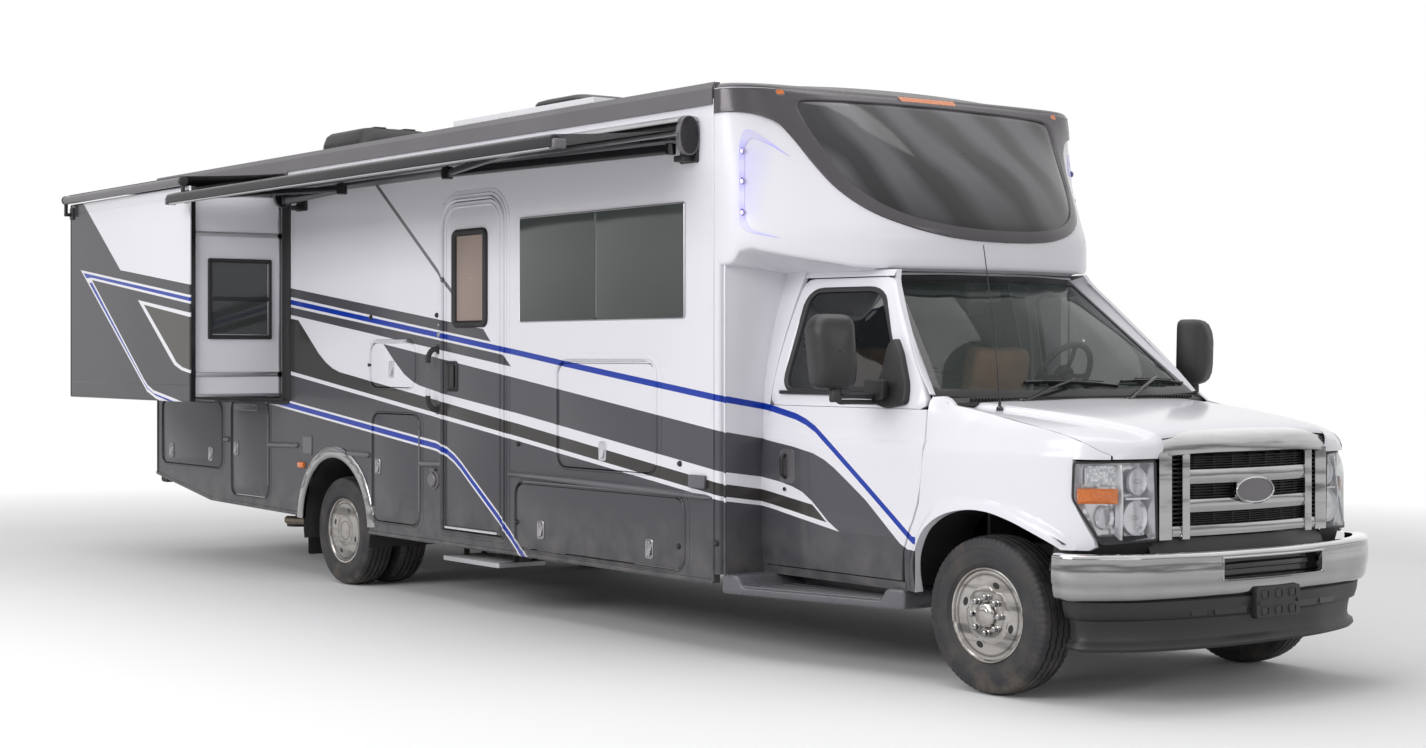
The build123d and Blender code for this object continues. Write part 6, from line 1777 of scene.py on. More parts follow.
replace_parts(grille_piece, "grille")
louvres = []
for low, high in BANDS:
    louvres += [bar_across(-0.42, 0.42, z, z + 0.005, -0.012, radius=0.002)
                for z in np.linspace(low + 0.004, high - 0.009, 5)]
    louvres += [brick((x, face_y(x) + 0.016, low), (x + 0.004, face_y(x) + 0.04, high), 0.001)
                for x in np.arange(-0.36, 0.37, 0.12)]
    louvres.append(bar_across(-0.42, 0.42, low, high, -0.045, radius=0.004))
for sign in (-1, 1):
    louvres += [brick((sign * 0.458, face_y(0.5) + 0.002, z), (sign * 0.52, face_y(0.5) + 0.03, z + 0.007), 0.002)
                for z in np.arange(0.81, 1.11, 0.02)]
    louvres.append(brick((sign * 0.455, face_y(0.5) + 0.03, GRILLE_FOOT + 0.01),
                         (sign * 0.53, face_y(0.5) + 0.05, 1.12), 0.003))
filler = [[(x, face_y(x) + y + 0.02 * (abs(x) / 0.6) ** 4, z)
           for y, z in ((0.03, 0.76), (0.006, 0.742), (0.0, 0.72), (-0.012, 0.692), (-0.02, 0.66), (0.05, 0.6))]
          for x in np.linspace(-0.62, 0.62, 25)]
for sign in (-1, 1):
    louvres.append(grid([[(sign * x, nose_y(x) + y, z)
                          for y, z in ((0.05, 0.76), (0.02, 0.735), (0.03, 0.7), (0.06, 0.6))]
                         for x in np.linspace(0.6, 0.96, 12)]))
piece("grille_louvres", black_plastic, "vehicle", grid(filler), *louvres)
oval = [(0.137 * math.cos(t), 0.945 + 0.061 * math.sin(t)) for t in np.linspace(0, 2 * math.pi, 49)[:-1]]
bowed = lambda x, z, out: (x, face_y(x) - 0.006 - out, z)
piece("oval_plate_rim", chrome, "vehicle",
      frame_strip(oval, bowed, [(0, -0.01), (0.001, 0.012), (-0.004, 0.016), (-0.009, 0.012), (-0.01, 0.0)]))
piece("oval_plate", satin_grey, "vehicle", rings_to_middle(grown(oval, -0.008), bowed, 0.009))

# %% Bumper and valance
BUMPER_LINE = through([(-1.055, -0.46), (-1.06, -0.54), (-1.0, -0.625), (-0.82, -0.733), (-0.6, -0.79),
                       (-0.36, -0.828), (0, -0.85), (0.36, -0.828), (0.6, -0.79), (0.82, -0.733), (1.0, -0.625),
                       (1.06, -0.54), (1.055, -0.46)], 6)
BUMPER_SECTION = [(-0.07, 0.688), (-0.03, 0.693), (-0.012, 0.69), (-0.003, 0.681), (0.0, 0.668), (-0.002, 0.662),
                  (0.0, 0.64), (0.002, 0.6), (0.0, 0.562), (-0.005, 0.556), (-0.006, 0.53), (-0.012, 0.505),
                  (-0.022, 0.49), (-0.04, 0.484), (-0.08, 0.484)]
VALANCE_LINE = through([(-0.93, -0.46), (-0.945, -0.53), (-0.88, -0.6), (-0.7, -0.695), (-0.36, -0.77), (0, -0.785),
                        (0.36, -0.77), (0.7, -0.695), (0.88, -0.6), (0.945, -0.53), (0.93, -0.46)], 6)
VALANCE_SECTION = [(-0.02, 0.49), (0.035, 0.488), (0.045, 0.48), (0.04, 0.44), (0.03, 0.405), (0.008, 0.395),
                   (0.0, 0.36), (-0.004, 0.32), (0.002, 0.3), (0.02, 0.288), (0.024, 0.274), (0.012, 0.262),
                   (-0.02, 0.254), (-0.05, 0.252)]


def round_nose(line, section, skip=lambda x, z: False):
    """A section carried round the nose, level everywhere, with some faces left out."""
    ahead = np.gradient(line, axis=0)
    normal = np.stack([ahead[:, 1], -ahead[:, 0]], 1) / np.linalg.norm(ahead, axis=1, keepdims=True)
    rows = [[(p[0] + n[0] * out, p[1] + n[1] * out, z) for out, z in section] for p, n in zip(line, normal)]
    points, faces = grid(rows)
    centre = lambda face: np.mean([points[i] for i in face], axis=0)
    return points, [f for f in faces if not skip(centre(f)[0], centre(f)[2])]


in_slot = lambda x, z: abs(x) < 0.36 and 0.562 < z < 0.662
slot_box = [[(x * s, y, z * s + 0.612 * (1 - s))
             for x, y, z in [(-0.36, yy, 0.562), (0.36, yy, 0.562), (0.36, yy, 0.662), (-0.36, yy, 0.662)]]
            for s, yy in ((1.0, -0.828), (0.99, -0.77), (0.5, -0.768), (0.02, -0.768))]
slot_edge = ([(-0.36 + 0.72 * i / 16, 0.562) for i in range(17)] + [(0.36, 0.662)]
             + [(0.36 - 0.72 * i / 16, 0.662) for i in range(1, 17)])
slot_face = lambda x, z, out: (x, -0.85 + 0.022 * (x / 0.36) ** 2 - out, z)
bumper = piece("bumper_bar", chrome, "vehicle", round_nose(BUMPER_LINE, BUMPER_SECTION, in_slot),
               frame_strip(slot_edge, slot_face,
                           [(0.004, 0.001), (0.001, 0.004), (-0.004, 0.003), (-0.007, -0.004), (-0.008, -0.03)]),
               crease=40)
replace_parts(bumper, "front_bumper")
piece("bumper_slot", gloss_black, "vehicle", loft(slot_box, caps=False),
      brick((-0.3, -0.79, 0.6), (0.3, -0.77, 0.63), 0.008))
lip_slots = [plate(rounded(x0, 0.412, x1, 0.452, 0.012, 3),
                   lambda x, z, out: (x, line_at([(abs(p[0]), p[1]) for p in VALANCE_LINE], abs(x)) - 0.036 - out, z),
                   0, 0.004)
             for x0, x1 in ((-0.52, -0.43), (-0.39, -0.19), (0.19, 0.33), (0.36, 0.5))]
valance_piece = piece("valance_skirt", black_plastic, "vehicle", round_nose(VALANCE_LINE, VALANCE_SECTION), crease=50)
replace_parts(valance_piece, "valance")
piece("valance_slots", gloss_black, "vehicle", *lip_slots)
carrier = rounded(-0.155, 0.38, 0.155, 0.52, 0.012, 4)
holes = [rounded(x, z, x + 0.045, z + 0.034, 0.005, 2) for x in (-0.12, -0.022, 0.076) for z in (0.395, 0.47)]
ahead = lambda x, z, out: (x, -0.838 - out, z)
piece("plate_carrier", black_plastic, "vehicle", plate(carrier, ahead, -0.02, 0.014, 0.004),
      *[frame_strip(h, ahead, [(0.004, 0.012), (0.002, 0.018), (-0.002, 0.018), (-0.003, 0.012)]) for h in holes],
      *[turned([(0, 0.009), (-0.006, 0.008), (-0.007, 0.001)], (x, -0.852, 0.45), "y", 12) for x in (-0.135, 0.135)])
piece("plate_carrier_openings", gloss_black, "vehicle", *[plate(h, ahead, 0.0, 0.0145) for h in holes])
print("bumper faces:", len(bumper.data.polygons))

# %% [markdown]
# ## Mirrors, wipers and small parts of the cab
# A tow mirror's head is a moulded box with a domed back, held by two thin arms on a foot in the
# window's corner. It swings with the door. Wipers lie on the glass, so their points come from the
# same function as the pane.

# %% Mirrors
MIRROR_LOW, MIRROR_HIGH = 1.39, 1.757
mirror_box = from_axle("door_mirror_right")
HEAD_NEAR, HEAD_FAR, HEAD_TURN = 1.21, -mirror_box[0][0] - 0.012, math.radians(22)
STEM = np.array([1.31, 0.65])


def mirror_head(sign):
    """Moulded head with a domed back, and its glass, both turned in toward the driver."""
    low, high = MIRROR_LOW, MIRROR_HIGH
    outline = softened([(HEAD_NEAR + 0.02, low), (HEAD_FAR - 0.03, low + 0.01), (HEAD_FAR, high - 0.06),
                        (HEAD_FAR - 0.05, high), (HEAD_NEAR + 0.02, high - 0.005), (HEAD_NEAR, low + 0.08)], 0.05, 5)
    middle = np.mean(outline, axis=0)
    rows = []
    for s, y in ((0.9, 0.712), (0.96, 0.716), (1.0, 0.706), (1.0, 0.66), (0.985, 0.63), (0.94, 0.604), (0.85, 0.584),
                 (0.7, 0.57), (0.5, 0.561), (0.25, 0.556), (0.02, 0.555)):
        rows.append([(sign * (middle[0] + (u - middle[0]) * s), y, middle[1] + (v - middle[1]) * s)
                     for u, v in outline])
    glass = [(middle[0] + (u - middle[0]) * 0.9, middle[1] + (v - middle[1]) * 0.9) for u, v in outline]
    shapes = loft(rows, caps=False), plate(glass, lambda u, v, d: (sign * u, 0.7 + d, v), -0.004, 0.006, 0.002)
    c, s = math.cos(HEAD_TURN), math.sin(HEAD_TURN)
    turned_in = lambda x, y, z: (sign * (STEM[0] + (abs(x) - STEM[0]) * c - (y - STEM[1]) * s),
                                 STEM[1] + (abs(x) - STEM[0]) * s + (y - STEM[1]) * c, z)
    return [([turned_in(*p) for p in points], faces) for points, faces in shapes]


for word, sign in SIDES:
    shell_shape, glass_shape = mirror_head(sign)
    body = "cab_side_door_" + word
    foot_place = flank(sign)
    foot = plate(softened([(0.49, 1.325), (0.62, 1.3), (0.72, 1.325), (0.76, 1.4), (0.7, 1.44), (0.695, 1.5),
                           (0.705, 1.62), (0.665, 1.645), (0.59, 1.565), (0.5, 1.42)], 0.03, 4), foot_place, -0.002,
                 0.035, 0.012)
    socket = brick((sign * 1.0, 0.61, 1.345), (sign * 1.05, 0.74, 1.44), 0.012)
    arms = [tube([(sign * 1.03, 0.68, z), (sign * 1.2, 0.655, z + 0.005), (sign * 1.3, 0.65, z + 0.005),
                  (sign * 1.31, 0.65, 1.4)], 0.0125, 0.03, 10) for z in (1.358, 1.33)]
    stem = turned([(-0.03, 0.026), (-0.02, 0.03), (0.03, 0.03), (0.045, 0.022)], (sign * 1.31, 0.65, 1.365), "z", 16)
    housing = piece("mirror_housing_" + word, black_plastic, body, shell_shape, foot, socket, stem, *arms, crease=45)
    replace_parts(housing, "door_mirror_" + word)
    piece("mirror_glass_" + word, mirror, body, glass_shape)
print("mirror faces:", len(housing.data.polygons))

# %% Wipers and antenna
wipers = []
for pivot_s, blade in ((-0.52, (-0.42, 0.3)), (0.28, (0.36, 0.98))):
    base = shield_place(pivot_s, -0.06, 0.02)
    blade_line = [shield_place(blade[0] + (blade[1] - blade[0]) * t, 0.1 - 0.035 * t + 0.06 * t * (1 - t), 0.014)
                  for t in np.linspace(0, 1, 12)]
    elbow = (blade_line[5] + blade_line[6]) / 2 + [0, -0.02, 0.02]
    wipers.append(sweep([base, base * 0.55 + elbow * 0.45 + [0, -0.012, 0.012], elbow],
                        rounded(-0.011, -0.004, 0.011, 0.004, 0.003, 2)))
    wipers.append(sweep(blade_line, rounded(-0.005, -0.011, 0.005, 0.008, 0.003, 2), up=(0, -0.7, 0.7)))
    wipers.append(sweep([p + [0, -0.012, 0.012] for p in blade_line[2:-2]], circle(0.004, 6)))
    wipers.append(turned([(-0.03, 0.02), (0.01, 0.02), (0.018, 0.012), (0.02, 0.001)], base, "z", 16))
antenna_foot = np.array([-0.76, 0.12, 1.3])
wipers.append(turned([(-0.01, 0.018), (0.012, 0.016), (0.02, 0.008), (0.045, 0.006)], antenna_foot, "z", 14))
wipers.append(tube([antenna_foot + [0, 0, 0.04], antenna_foot + [0, 0.03, 0.35], antenna_foot + [-0.004, 0.1, 0.78]],
                   0.0024, steps=6))
piece("wipers_and_antenna", gloss_black, "vehicle", *wipers)

# %% [markdown]
# ## Lamps of the cap
# Two small marker lamps and a long one sit in a row along the crown. On each side a recess shaped
# like a bow runs down the cap's edge, and its two ends reach in toward the window. Three small round
# lamps in bright rings lie in it. All are placed by distance round and height, as the window was.

# %% Cap lamps
lenses, bases = [], []
for spot, z, half, tall in ((-1.02, 2.905, 0.03, 0.012), (1.02, 2.905, 0.03, 0.012), (0.0, 2.92, 0.19, 0.015)):
    outline = rounded(spot - half, z - tall, spot + half, z + tall, tall * 0.7, 4)
    base_outline = grown(outline, 0.008)
    place = lambda u, v, out: cap_place(u, min(v, CAP_TOP), out) if abs(u) < 0.5 else cap_place(u * 1.12, v, out)
    bases.append(frame_strip(base_outline, place, [(0.004, 0.0), (0.002, 0.012), (-0.006, 0.014), (-0.009, 0.01)]))
    lenses.append(rings_to_middle(outline, place, 0.014, (1.05, 1.0, 0.9, 0.6, 0.3, 0.02)))
piece("marker_lamp_bases", satin_grey, "vehicle", *bases)
piece("marker_lamps", amber, "vehicle", *lenses)
leds, bezels, bows = [], [], []
BOW_OUTER = [(1.16, 2.57), (1.32, 2.668), (1.42, 2.71), (1.46, 2.7), (1.477, 2.66), (1.482, 2.6), (1.482, 2.45),
             (1.482, 2.26), (1.472, 2.215), (1.42, 2.18), (1.27, 2.15)]
BOW_INNER = [(1.16, 2.57), (1.26, 2.62), (1.38, 2.66), (1.42, 2.655), (1.444, 2.63), (1.45, 2.6), (1.45, 2.45),
             (1.45, 2.27), (1.436, 2.225), (1.4, 2.192), (1.27, 2.15)]
for sign in (-1, 1):
    for z in (2.6, 2.445, 2.285):
        spot = cap_place(sign * 1.464, z, 0.003)
        leds.append(turned([(sign * 0.001, 0.012), (sign * 0.006, 0.01), (sign * 0.008, 0.001)], spot, "x", 16))
        bezels.append(turned([(0.0, 0.018), (sign * 0.004, 0.0175), (sign * 0.005, 0.013), (sign * 0.002, 0.0125)],
                             spot, "x", 20))
    lines = [np.array(through(line, 5)) for line in (BOW_OUTER, BOW_INNER)]
    rows = [[cap_place(sign * (s + (t - s) * share), z + (w - z) * share, out) for (s, z), (t, w) in zip(*lines)]
            for share, out in ((0, 0.0), (0.04, 0.003), (0.5, 0.003), (0.96, 0.003), (1, 0.0))]
    bows.append(grid(rows))
piece("cap_lamp_recess", recess, "vehicle", *bows)
piece("cap_led_bezels", chrome, "vehicle", *bezels)
piece("cap_leds", glow, "vehicle", *leds)

# %% [markdown]
# ## Awning
# The awning lives in a long case on the side wall: a bright cover, a dark channel, and the roller
# that the cloth winds on. Two folding arms push the lead rail out. A case is one section drawn
# from end to end, so each of its parts is a list of (outwards, height) pairs.

# %% Awning case
CASE_Y0, CASE_Y1 = 1.712, 6.333


def along_wall(section, y0=CASE_Y0 + 0.02, y1=CASE_Y1 - 0.02):
    """A section of (outwards from the right wall, height) pairs drawn along the wall."""
    return loft([[(-(HALF_WIDTH + out), y, z) for out, z in section] for y in (y0, y1)])


cover = softened([(0.0, 2.772), (0.0, 2.797), (0.035, 2.8), (0.09, 2.799), (0.135, 2.775), (0.135, 2.76),
                  (0.125, 2.76), (0.095, 2.782), (0.03, 2.782)], 0.012, 3)
channel = softened([(0.0, 2.668), (0.0, 2.775), (0.022, 2.775), (0.022, 2.702), (0.06, 2.692), (0.1, 2.69),
                    (0.128, 2.7), (0.136, 2.694), (0.12, 2.676), (0.06, 2.668)], 0.006, 3)
lip = softened([(0.137, 2.716), (0.131, 2.718), (0.122, 2.702), (0.128, 2.692), (0.137, 2.692)], 0.003, 2)
case = piece("awning_cover", awning_metal, "vehicle", along_wall(channel), crease=40)
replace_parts(case, "awning_case")
piece("awning_bright_parts", aluminium, "vehicle", along_wall(cover), along_wall(lip), crease=40)
piece("awning_roll", awning_cloth, "vehicle",
      tube([(-(HALF_WIDTH + 0.07), CASE_Y0 + 0.02, 2.737), (-(HALF_WIDTH + 0.07), CASE_Y1 - 0.02, 2.737)], 0.03,
           steps=20))
cap_line = [(0.069 + 0.0675 * abs(math.cos(t)) ** 0.85 * math.copysign(1, math.cos(t)), 2.696 + 0.103 * math.sin(t))
            for t in np.radians(np.arange(0, 360, 10))]
ends, end_rims = [], []
for y, way in ((CASE_Y0, -1), (CASE_Y1, 1)):
    place = lambda out, z, d, y=y, way=way: (-(HALF_WIDTH + out), y + way * d, z)
    ends.append(plate(grown(cap_line, -0.004), place, -0.024, 0.001, 0.006))
    end_rims.append(frame_strip(cap_line, place,
                                [(0.0, -0.03), (0.0, -0.002), (-0.003, 0.001), (-0.007, 0.0), (-0.008, -0.03)]))
feet = [brick((-HALF_WIDTH - 0.085, y - 0.04, 2.565), (-HALF_WIDTH, y + 0.04, 2.597), 0.006) for y in (1.79, 6.13)]
feet += [brick((-HALF_WIDTH - 0.02, y - 0.07, 2.56), (-HALF_WIDTH, y + 0.07, 2.67), 0.006) for y in (1.79, 6.13)]
piece("awning_ends", awning_metal, "vehicle", *ends)
piece("awning_end_rims", satin_grey, "vehicle", *end_rims)
piece("awning_feet", black_plastic, "vehicle", *feet)

# %% Lead rail and folding arms
RAIL_X, RAIL_Z = -(HALF_WIDTH + 0.907), 2.62
rail = softened([(-0.033, -0.02), (-0.012, -0.033), (0.02, -0.033), (0.033, -0.015), (0.033, 0.02), (0.012, 0.034),
                 (-0.012, 0.034), (-0.033, 0.02)], 0.012, 3)
rail_body = loft([[(RAIL_X - a, y, RAIL_Z + b) for a, b in grown(rail, by)]
                  for y, by in ((CASE_Y0, -0.006), (CASE_Y0 + 0.006, 0), (CASE_Y1 - 0.006, 0), (CASE_Y1, -0.006))])
bright_lip = loft([[(RAIL_X - a, y, RAIL_Z - 0.034 + b) for a, b in rounded(-0.016, -0.006, 0.024, 0.003, 0.003, 2)]
                   for y in (CASE_Y0 + 0.03, CASE_Y1 - 0.03)])
ARMS = [[(-HALF_WIDTH - 0.11, 1.82, 2.63), (-1.66, 3.6, 2.622), (RAIL_X + 0.03, 1.98, RAIL_Z)],
        [(-HALF_WIDTH - 0.11, 6.17, 2.63), (-1.66, 4.88, 2.615), (RAIL_X + 0.03, 6.06, RAIL_Z)]]
arm_section = rounded(-0.02, -0.026, 0.02, 0.026, 0.008, 3)
arms, joints = [], []
for root, elbow, tip in ARMS:
    root, elbow, tip = (np.array(p) for p in (root, elbow, tip))
    arms += [sweep([root, elbow + unit(elbow - root) * 0.035], arm_section),
             sweep([elbow, tip], rounded(-0.014, -0.019, 0.014, 0.019, 0.007, 3))]
    joints += [turned([(-0.036, 0.012), (-0.036, 0.03), (-0.03, 0.035), (0.03, 0.035), (0.036, 0.03), (0.036, 0.012)],
                      elbow, "z", 20)]
    joints += [turned([(-0.03, 0.02), (-0.026, 0.028), (0.026, 0.028), (0.03, 0.02)], p, "z", 18)
               for p in (root, tip)]
    joints += [brick(tip + [-0.03, -0.05, -0.024], tip + [0.012, 0.05, 0.024], 0.008)]
frame_piece = piece("awning_rail", awning_metal, "vehicle", rail_body, crease=40)
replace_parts(frame_piece, "awning_frame")
piece("awning_arms", gloss_black, "vehicle", *arms, *joints)
piece("awning_rail_lip", aluminium, "vehicle", bright_lip)
piece("awning_arm_pins", satin_grey, "vehicle",
      *[turned([(0.036, 0.012), (0.042, 0.01), (0.042, 0.001)], elbow, "z", 16) for _, elbow, _ in ARMS],
      *[brick((RAIL_X - 0.03, y - 0.012, RAIL_Z - 0.04), (RAIL_X + 0.045, y + 0.012, RAIL_Z + 0.008), 0.006)
        for y in (CASE_Y0 - 0.012, CASE_Y1 + 0.012)])
print("awning arms reach", round(float(np.linalg.norm(np.subtract(ARMS[0][2], ARMS[0][0]))), 3))

# %% [markdown]
# ## Awning and topper cloth
# The awning cloth runs from the roller to the lead rail. Springs in the arms keep it tight, but its
# own weight still pulls a shallow belly into it, and its edges curl a little. A cloth surface is a
# grid of points. The same function makes the cloth over the slide-out, which winds up as the room
# moves in; here it is drawn with the room out.

# %% Cloth
def cloth(y0, y1, start, end, sag, wave=0.0, across=18, along=60):
    """Grid of a cloth from a start (X, Z) to an end (X, Z), between two ends in Y, and its length."""
    rows = []
    for t in np.linspace(0, 1, across + 1):
        x, z = (start[i] + (end[i] - start[i]) * t for i in (0, 1))
        row = []
        for s in np.linspace(0, 1, along + 1):
            edge = 1 - 0.25 * math.exp(-((min(s, 1 - s) / 0.05) ** 2))
            ripple = wave * math.sin(9 * s * math.pi + 2 * t) * math.sin(math.pi * t)
            row.append((x, y0 + (y1 - y0) * s, z - sag * edge * 4 * t * (1 - t) + ripple))
        rows.append(row)
    line = np.array(rows)[:, along // 2]
    return grid(rows), float(np.linalg.norm(np.diff(line, axis=0), axis=1).sum())


CLOTH_Y0, CLOTH_Y1 = 1.75, 6.295
awning_grid, awning_length = cloth(CLOTH_Y0, CLOTH_Y1, (-(HALF_WIDTH + 0.1), 2.728), (RAIL_X, RAIL_Z + 0.036), 0.012,
                                   0.0015)
awning_sheet = piece("awning_sheet", awning_cloth, "vehicle", awning_grid)
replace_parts(awning_sheet, "awning_fabric")
TOPPER_Y0, TOPPER_Y1 = 6.39, 8.484
ROOM_REACH = HALF_WIDTH + 0.757
topper_grid, topper_length = cloth(TOPPER_Y0, TOPPER_Y1, (-HALF_WIDTH - 0.012, 2.842), (-(ROOM_REACH + 0.045), 2.784),
                                   0.01, 0.002, along=30)
topper_sheet = piece("topper_sheet", awning_cloth, "vehicle", topper_grid)
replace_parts(topper_sheet, "topper_fabric")
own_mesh(topper_sheet)
piece("topper_wall_rail", satin_grey, "vehicle",
      brick((-HALF_WIDTH - 0.016, TOPPER_Y0 - 0.03, 2.83), (-HALF_WIDTH, TOPPER_Y1 + 0.03, 2.858), 0.005))
print("cloth lengths", round(awning_length, 3), round(topper_length, 3))

# %% [markdown]
# ## On the roof
# The fan has a louvred cover, the air conditioner a ribbed shroud, and beside them lie a dome, a
# vent and a solar panel on small feet. From the ground only their outer edges show, but a roof is
# looked at from above too. Louvres are rings of slats round a smaller core, so that light falls
# between them.

# %% Louvred fan cover
def round_box(x0, y0, x1, y1, levels, corner=0.07):
    """Housing whose outline shrinks from level to level, given as (height, inset)."""
    middle_x, middle_y = (x0 + x1) / 2, (y0 + y1) / 2
    outline = rounded(x0 - middle_x, y0 - middle_y, x1 - middle_x, y1 - middle_y, corner, 5)
    half_x, half_y = (x1 - x0) / 2, (y1 - y0) / 2
    return loft([[(middle_x + u * (1 - inset / half_x), middle_y + v * (1 - inset / half_y), z) for u, v in outline]
                 for z, inset in levels])


ROOF_TOP = from_axle("roof")[1][2]
FAN = (-0.25, 4.27, 0.25, 4.83)
fan = [round_box(*FAN, [(ROOF_TOP - 0.06, 0.0), (ROOF_TOP + 0.03, 0.0), (ROOF_TOP + 0.036, 0.006)]),
       round_box(*FAN, [(ROOF_TOP + 0.03, 0.045), (3.25, 0.06)])]
for i, z in enumerate(np.linspace(ROOF_TOP + 0.06, 3.21, 6)):
    fan.append(round_box(*FAN, [(z, 0.006), (z - 0.006, 0.0), (z + 0.004, 0.003), (z + 0.022, 0.04),
                                (z + 0.014, 0.04)], 0.08))
fan.append(round_box(*FAN, [(3.222, 0.0), (3.235, -0.001), (3.252, 0.012), (3.268, 0.06), (3.274, 0.14),
                            (3.275, 0.22)], 0.09))
fan += [brick((x - 0.004, y0, ROOF_TOP + 0.03), (x + 0.004, y0 + 0.02, 3.23), 0.002)
        for x in np.linspace(-0.2, 0.2, 17) for y0 in (4.295, 4.785)]
fan += [brick((x0, y - 0.004, ROOF_TOP + 0.03), (x0 + 0.02, y + 0.004, 3.23), 0.002)
        for y in np.linspace(4.33, 4.77, 19) for x0 in (-0.235, 0.215)]
units = piece("fan_cover", black_plastic, "vehicle", *fan)
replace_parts(units, "roof_units")

# %% Air conditioner, dome, vent and solar panel
SHROUD_LEVELS = [(ROOF_TOP - 0.06, 0.02), (ROOF_TOP + 0.02, 0.01), (ROOF_TOP + 0.05, 0.0), (3.2, 0.012), (3.26, 0.03),
                 (3.288, 0.06), (3.298, 0.11), (3.3, 0.2)]
shroud = [round_box(-0.33, 6.98, 0.33, 7.72, SHROUD_LEVELS, 0.1)]
shroud += [brick((s * 0.327, y - 0.008, 3.09), (s * 0.3, y + 0.008, 3.2), 0.004) for s in (-1, 1)
           for y in np.linspace(7.1, 7.6, 22)]
shroud += [brick((x - 0.008, 7.705, 3.09), (x + 0.008, 7.725, 3.2), 0.004) for x in np.linspace(-0.22, 0.22, 18)]
shroud += [brick((x - 0.05, 7.06, 3.29), (x + 0.05, 7.64, 3.304), 0.006) for x in (-0.13, 0.13)]
piece("air_conditioner", black_plastic, "vehicle", *shroud)
dome_profile = [(2.95, 0.2), (2.975, 0.2), (2.98, 0.193), (3.02, 0.18), (3.05, 0.14), (3.065, 0.08), (3.07, 0.01)]
vent = [round_box(-0.7, 7.8, -0.4, 8.1,
                  [(ROOF_TOP - 0.08, 0.0), (3.05, 0.0), (3.066, 0.012), (3.074, 0.06), (3.075, 0.12)], 0.05)]
vent += [turned([(2.98, 0.05), (3.04, 0.05), (3.045, 0.07), (3.065, 0.065), (3.072, 0.01)], (x, y, 0), "z", 24)
         for x, y in ((0.6, 5.4), (0.75, 3.0))]
piece("roof_dome_and_vents", roof_skin, "vehicle", turned(dome_profile, (-0.72, 6.2, 0), "z", 48), *vent)
PANEL = rounded(-0.83, 3.3, -0.495, 4.88, 0.01, 3)
panel_feet = [brick((x - 0.02, y - 0.03, 2.965), (x + 0.02, y + 0.03, 3.064), 0.004) for x in (-0.8, -0.525)
              for y in (3.45, 4.05, 4.7)]
piece("solar_frame", plain_white, "vehicle",
      frame_strip(PANEL, upright(0),
                  [(0.0, 3.062), (0.0, 3.093), (-0.002, 3.097), (-0.012, 3.097), (-0.014, 3.093), (-0.014, 3.062)]),
      *panel_feet)
piece("solar_cells", cells, "vehicle", plate(grown(PANEL, -0.013), upright(0), 3.07, 3.091))
print("roof pieces done; roof top at", round(ROOF_TOP, 3))

# %% [markdown]
# ## Slide-out rooms
# The room at the rear stands out of the wall. Its outer face is a painted panel with a thin seam
# near the top and bottom; its front wall has a window and two aluminium joints. A rubber bulb seal
# lines the opening, and is pressed flat when the room comes in.

# %% Trims of the rear room
ROOM_Y0, ROOM_Y1, ROOM_Z0, ROOM_Z1 = 6.346, 8.528, 1.24, 2.714
room_front = facing(-1, ROOM_Y0 + 0.03)
room_face = side(-1, ROOM_REACH)
TRIM_STAND = 0.0235
ROOM_INNER_X, ROOM_OUTER_X = -(HALF_WIDTH + 0.02), -(ROOM_REACH - 0.04)
trims = []
for z in (2.396, 1.424):
    trims.append(brick((ROOM_OUTER_X + 0.006, ROOM_Y0 + TRIM_STAND, z - 0.016),
                       (ROOM_INNER_X - 0.015, ROOM_Y0 + 0.03, z + 0.016), 0.005))
    trims.append(brick((ROOM_INNER_X - 0.06, ROOM_Y0 + TRIM_STAND, z - 0.024),
                       (ROOM_INNER_X - 0.015, ROOM_Y0 + 0.03, z + 0.02), 0.004))
    trims.append(brick((ROOM_OUTER_X, ROOM_Y0 + TRIM_STAND, z - 0.02),
                       (ROOM_OUTER_X + 0.02, ROOM_Y0 + 0.03, z + 0.03), 0.004))
trims.append(brick((ROOM_INNER_X - 0.052, ROOM_Y0 + TRIM_STAND, ROOM_Z0 + 0.035),
                   (ROOM_INNER_X - 0.03, ROOM_Y0 + 0.03, ROOM_Z1 - 0.035), 0.004))
trims += [brick((ROOM_OUTER_X, ROOM_Y0 + TRIM_STAND, z), (ROOM_INNER_X, ROOM_Y0 + 0.034, z + 0.02), 0.004)
          for z in (ROOM_Z0 + 0.03, ROOM_Z1 - 0.05)]
trims += [brick((ROOM_OUTER_X + 0.006, ROOM_Y1 - 0.03, z - 0.016),
                (ROOM_INNER_X - 0.015, ROOM_Y1 - TRIM_STAND, z + 0.016), 0.005) for z in (2.396, 1.424)]
piece("room_trims", aluminium, "slide_room_right", *trims)
SEAM = 0.0016
seams = [brick((-ROOM_REACH - SEAM, ROOM_Y0 + 0.004, z - 0.002), (-ROOM_REACH + 0.002, ROOM_Y1 - 0.004, z + 0.002),
               0.001) for z in (1.352, 2.642)]
face_outline = rounded(ROOM_Y0, ROOM_Z0, ROOM_Y1, ROOM_Z1, 0.006, 2)
piece("room_face_edges", slide_skin, "slide_room_right", *seams,
      frame_strip(face_outline, room_face,
                  [(0.0038, -0.009), (0.0038, -0.002), (0.0, 0.003), (-0.006, 0.0035), (-0.008, 0.0),
                   (-0.008, -0.009)]))
piece("room_face_returns", gloss_black, "slide_room_right",
      frame_strip(face_outline, room_face,
                  [(0.0034, -0.0405), (0.0034, -0.008), (-0.004, -0.008), (-0.004, -0.0405)]))
gasket = frame_strip(rounded(ROOM_Y0 + 0.026, ROOM_Z0 + 0.026, ROOM_Y1 - 0.026, ROOM_Z1 - 0.026, 0.01, 2), room_face,
                     [(0.0, -0.041), (0.014, -0.042), (0.02, -0.046), (0.014, -0.049), (-0.006, -0.049)])
piece("room_face_gasket", rubber, "slide_room_right", gasket)

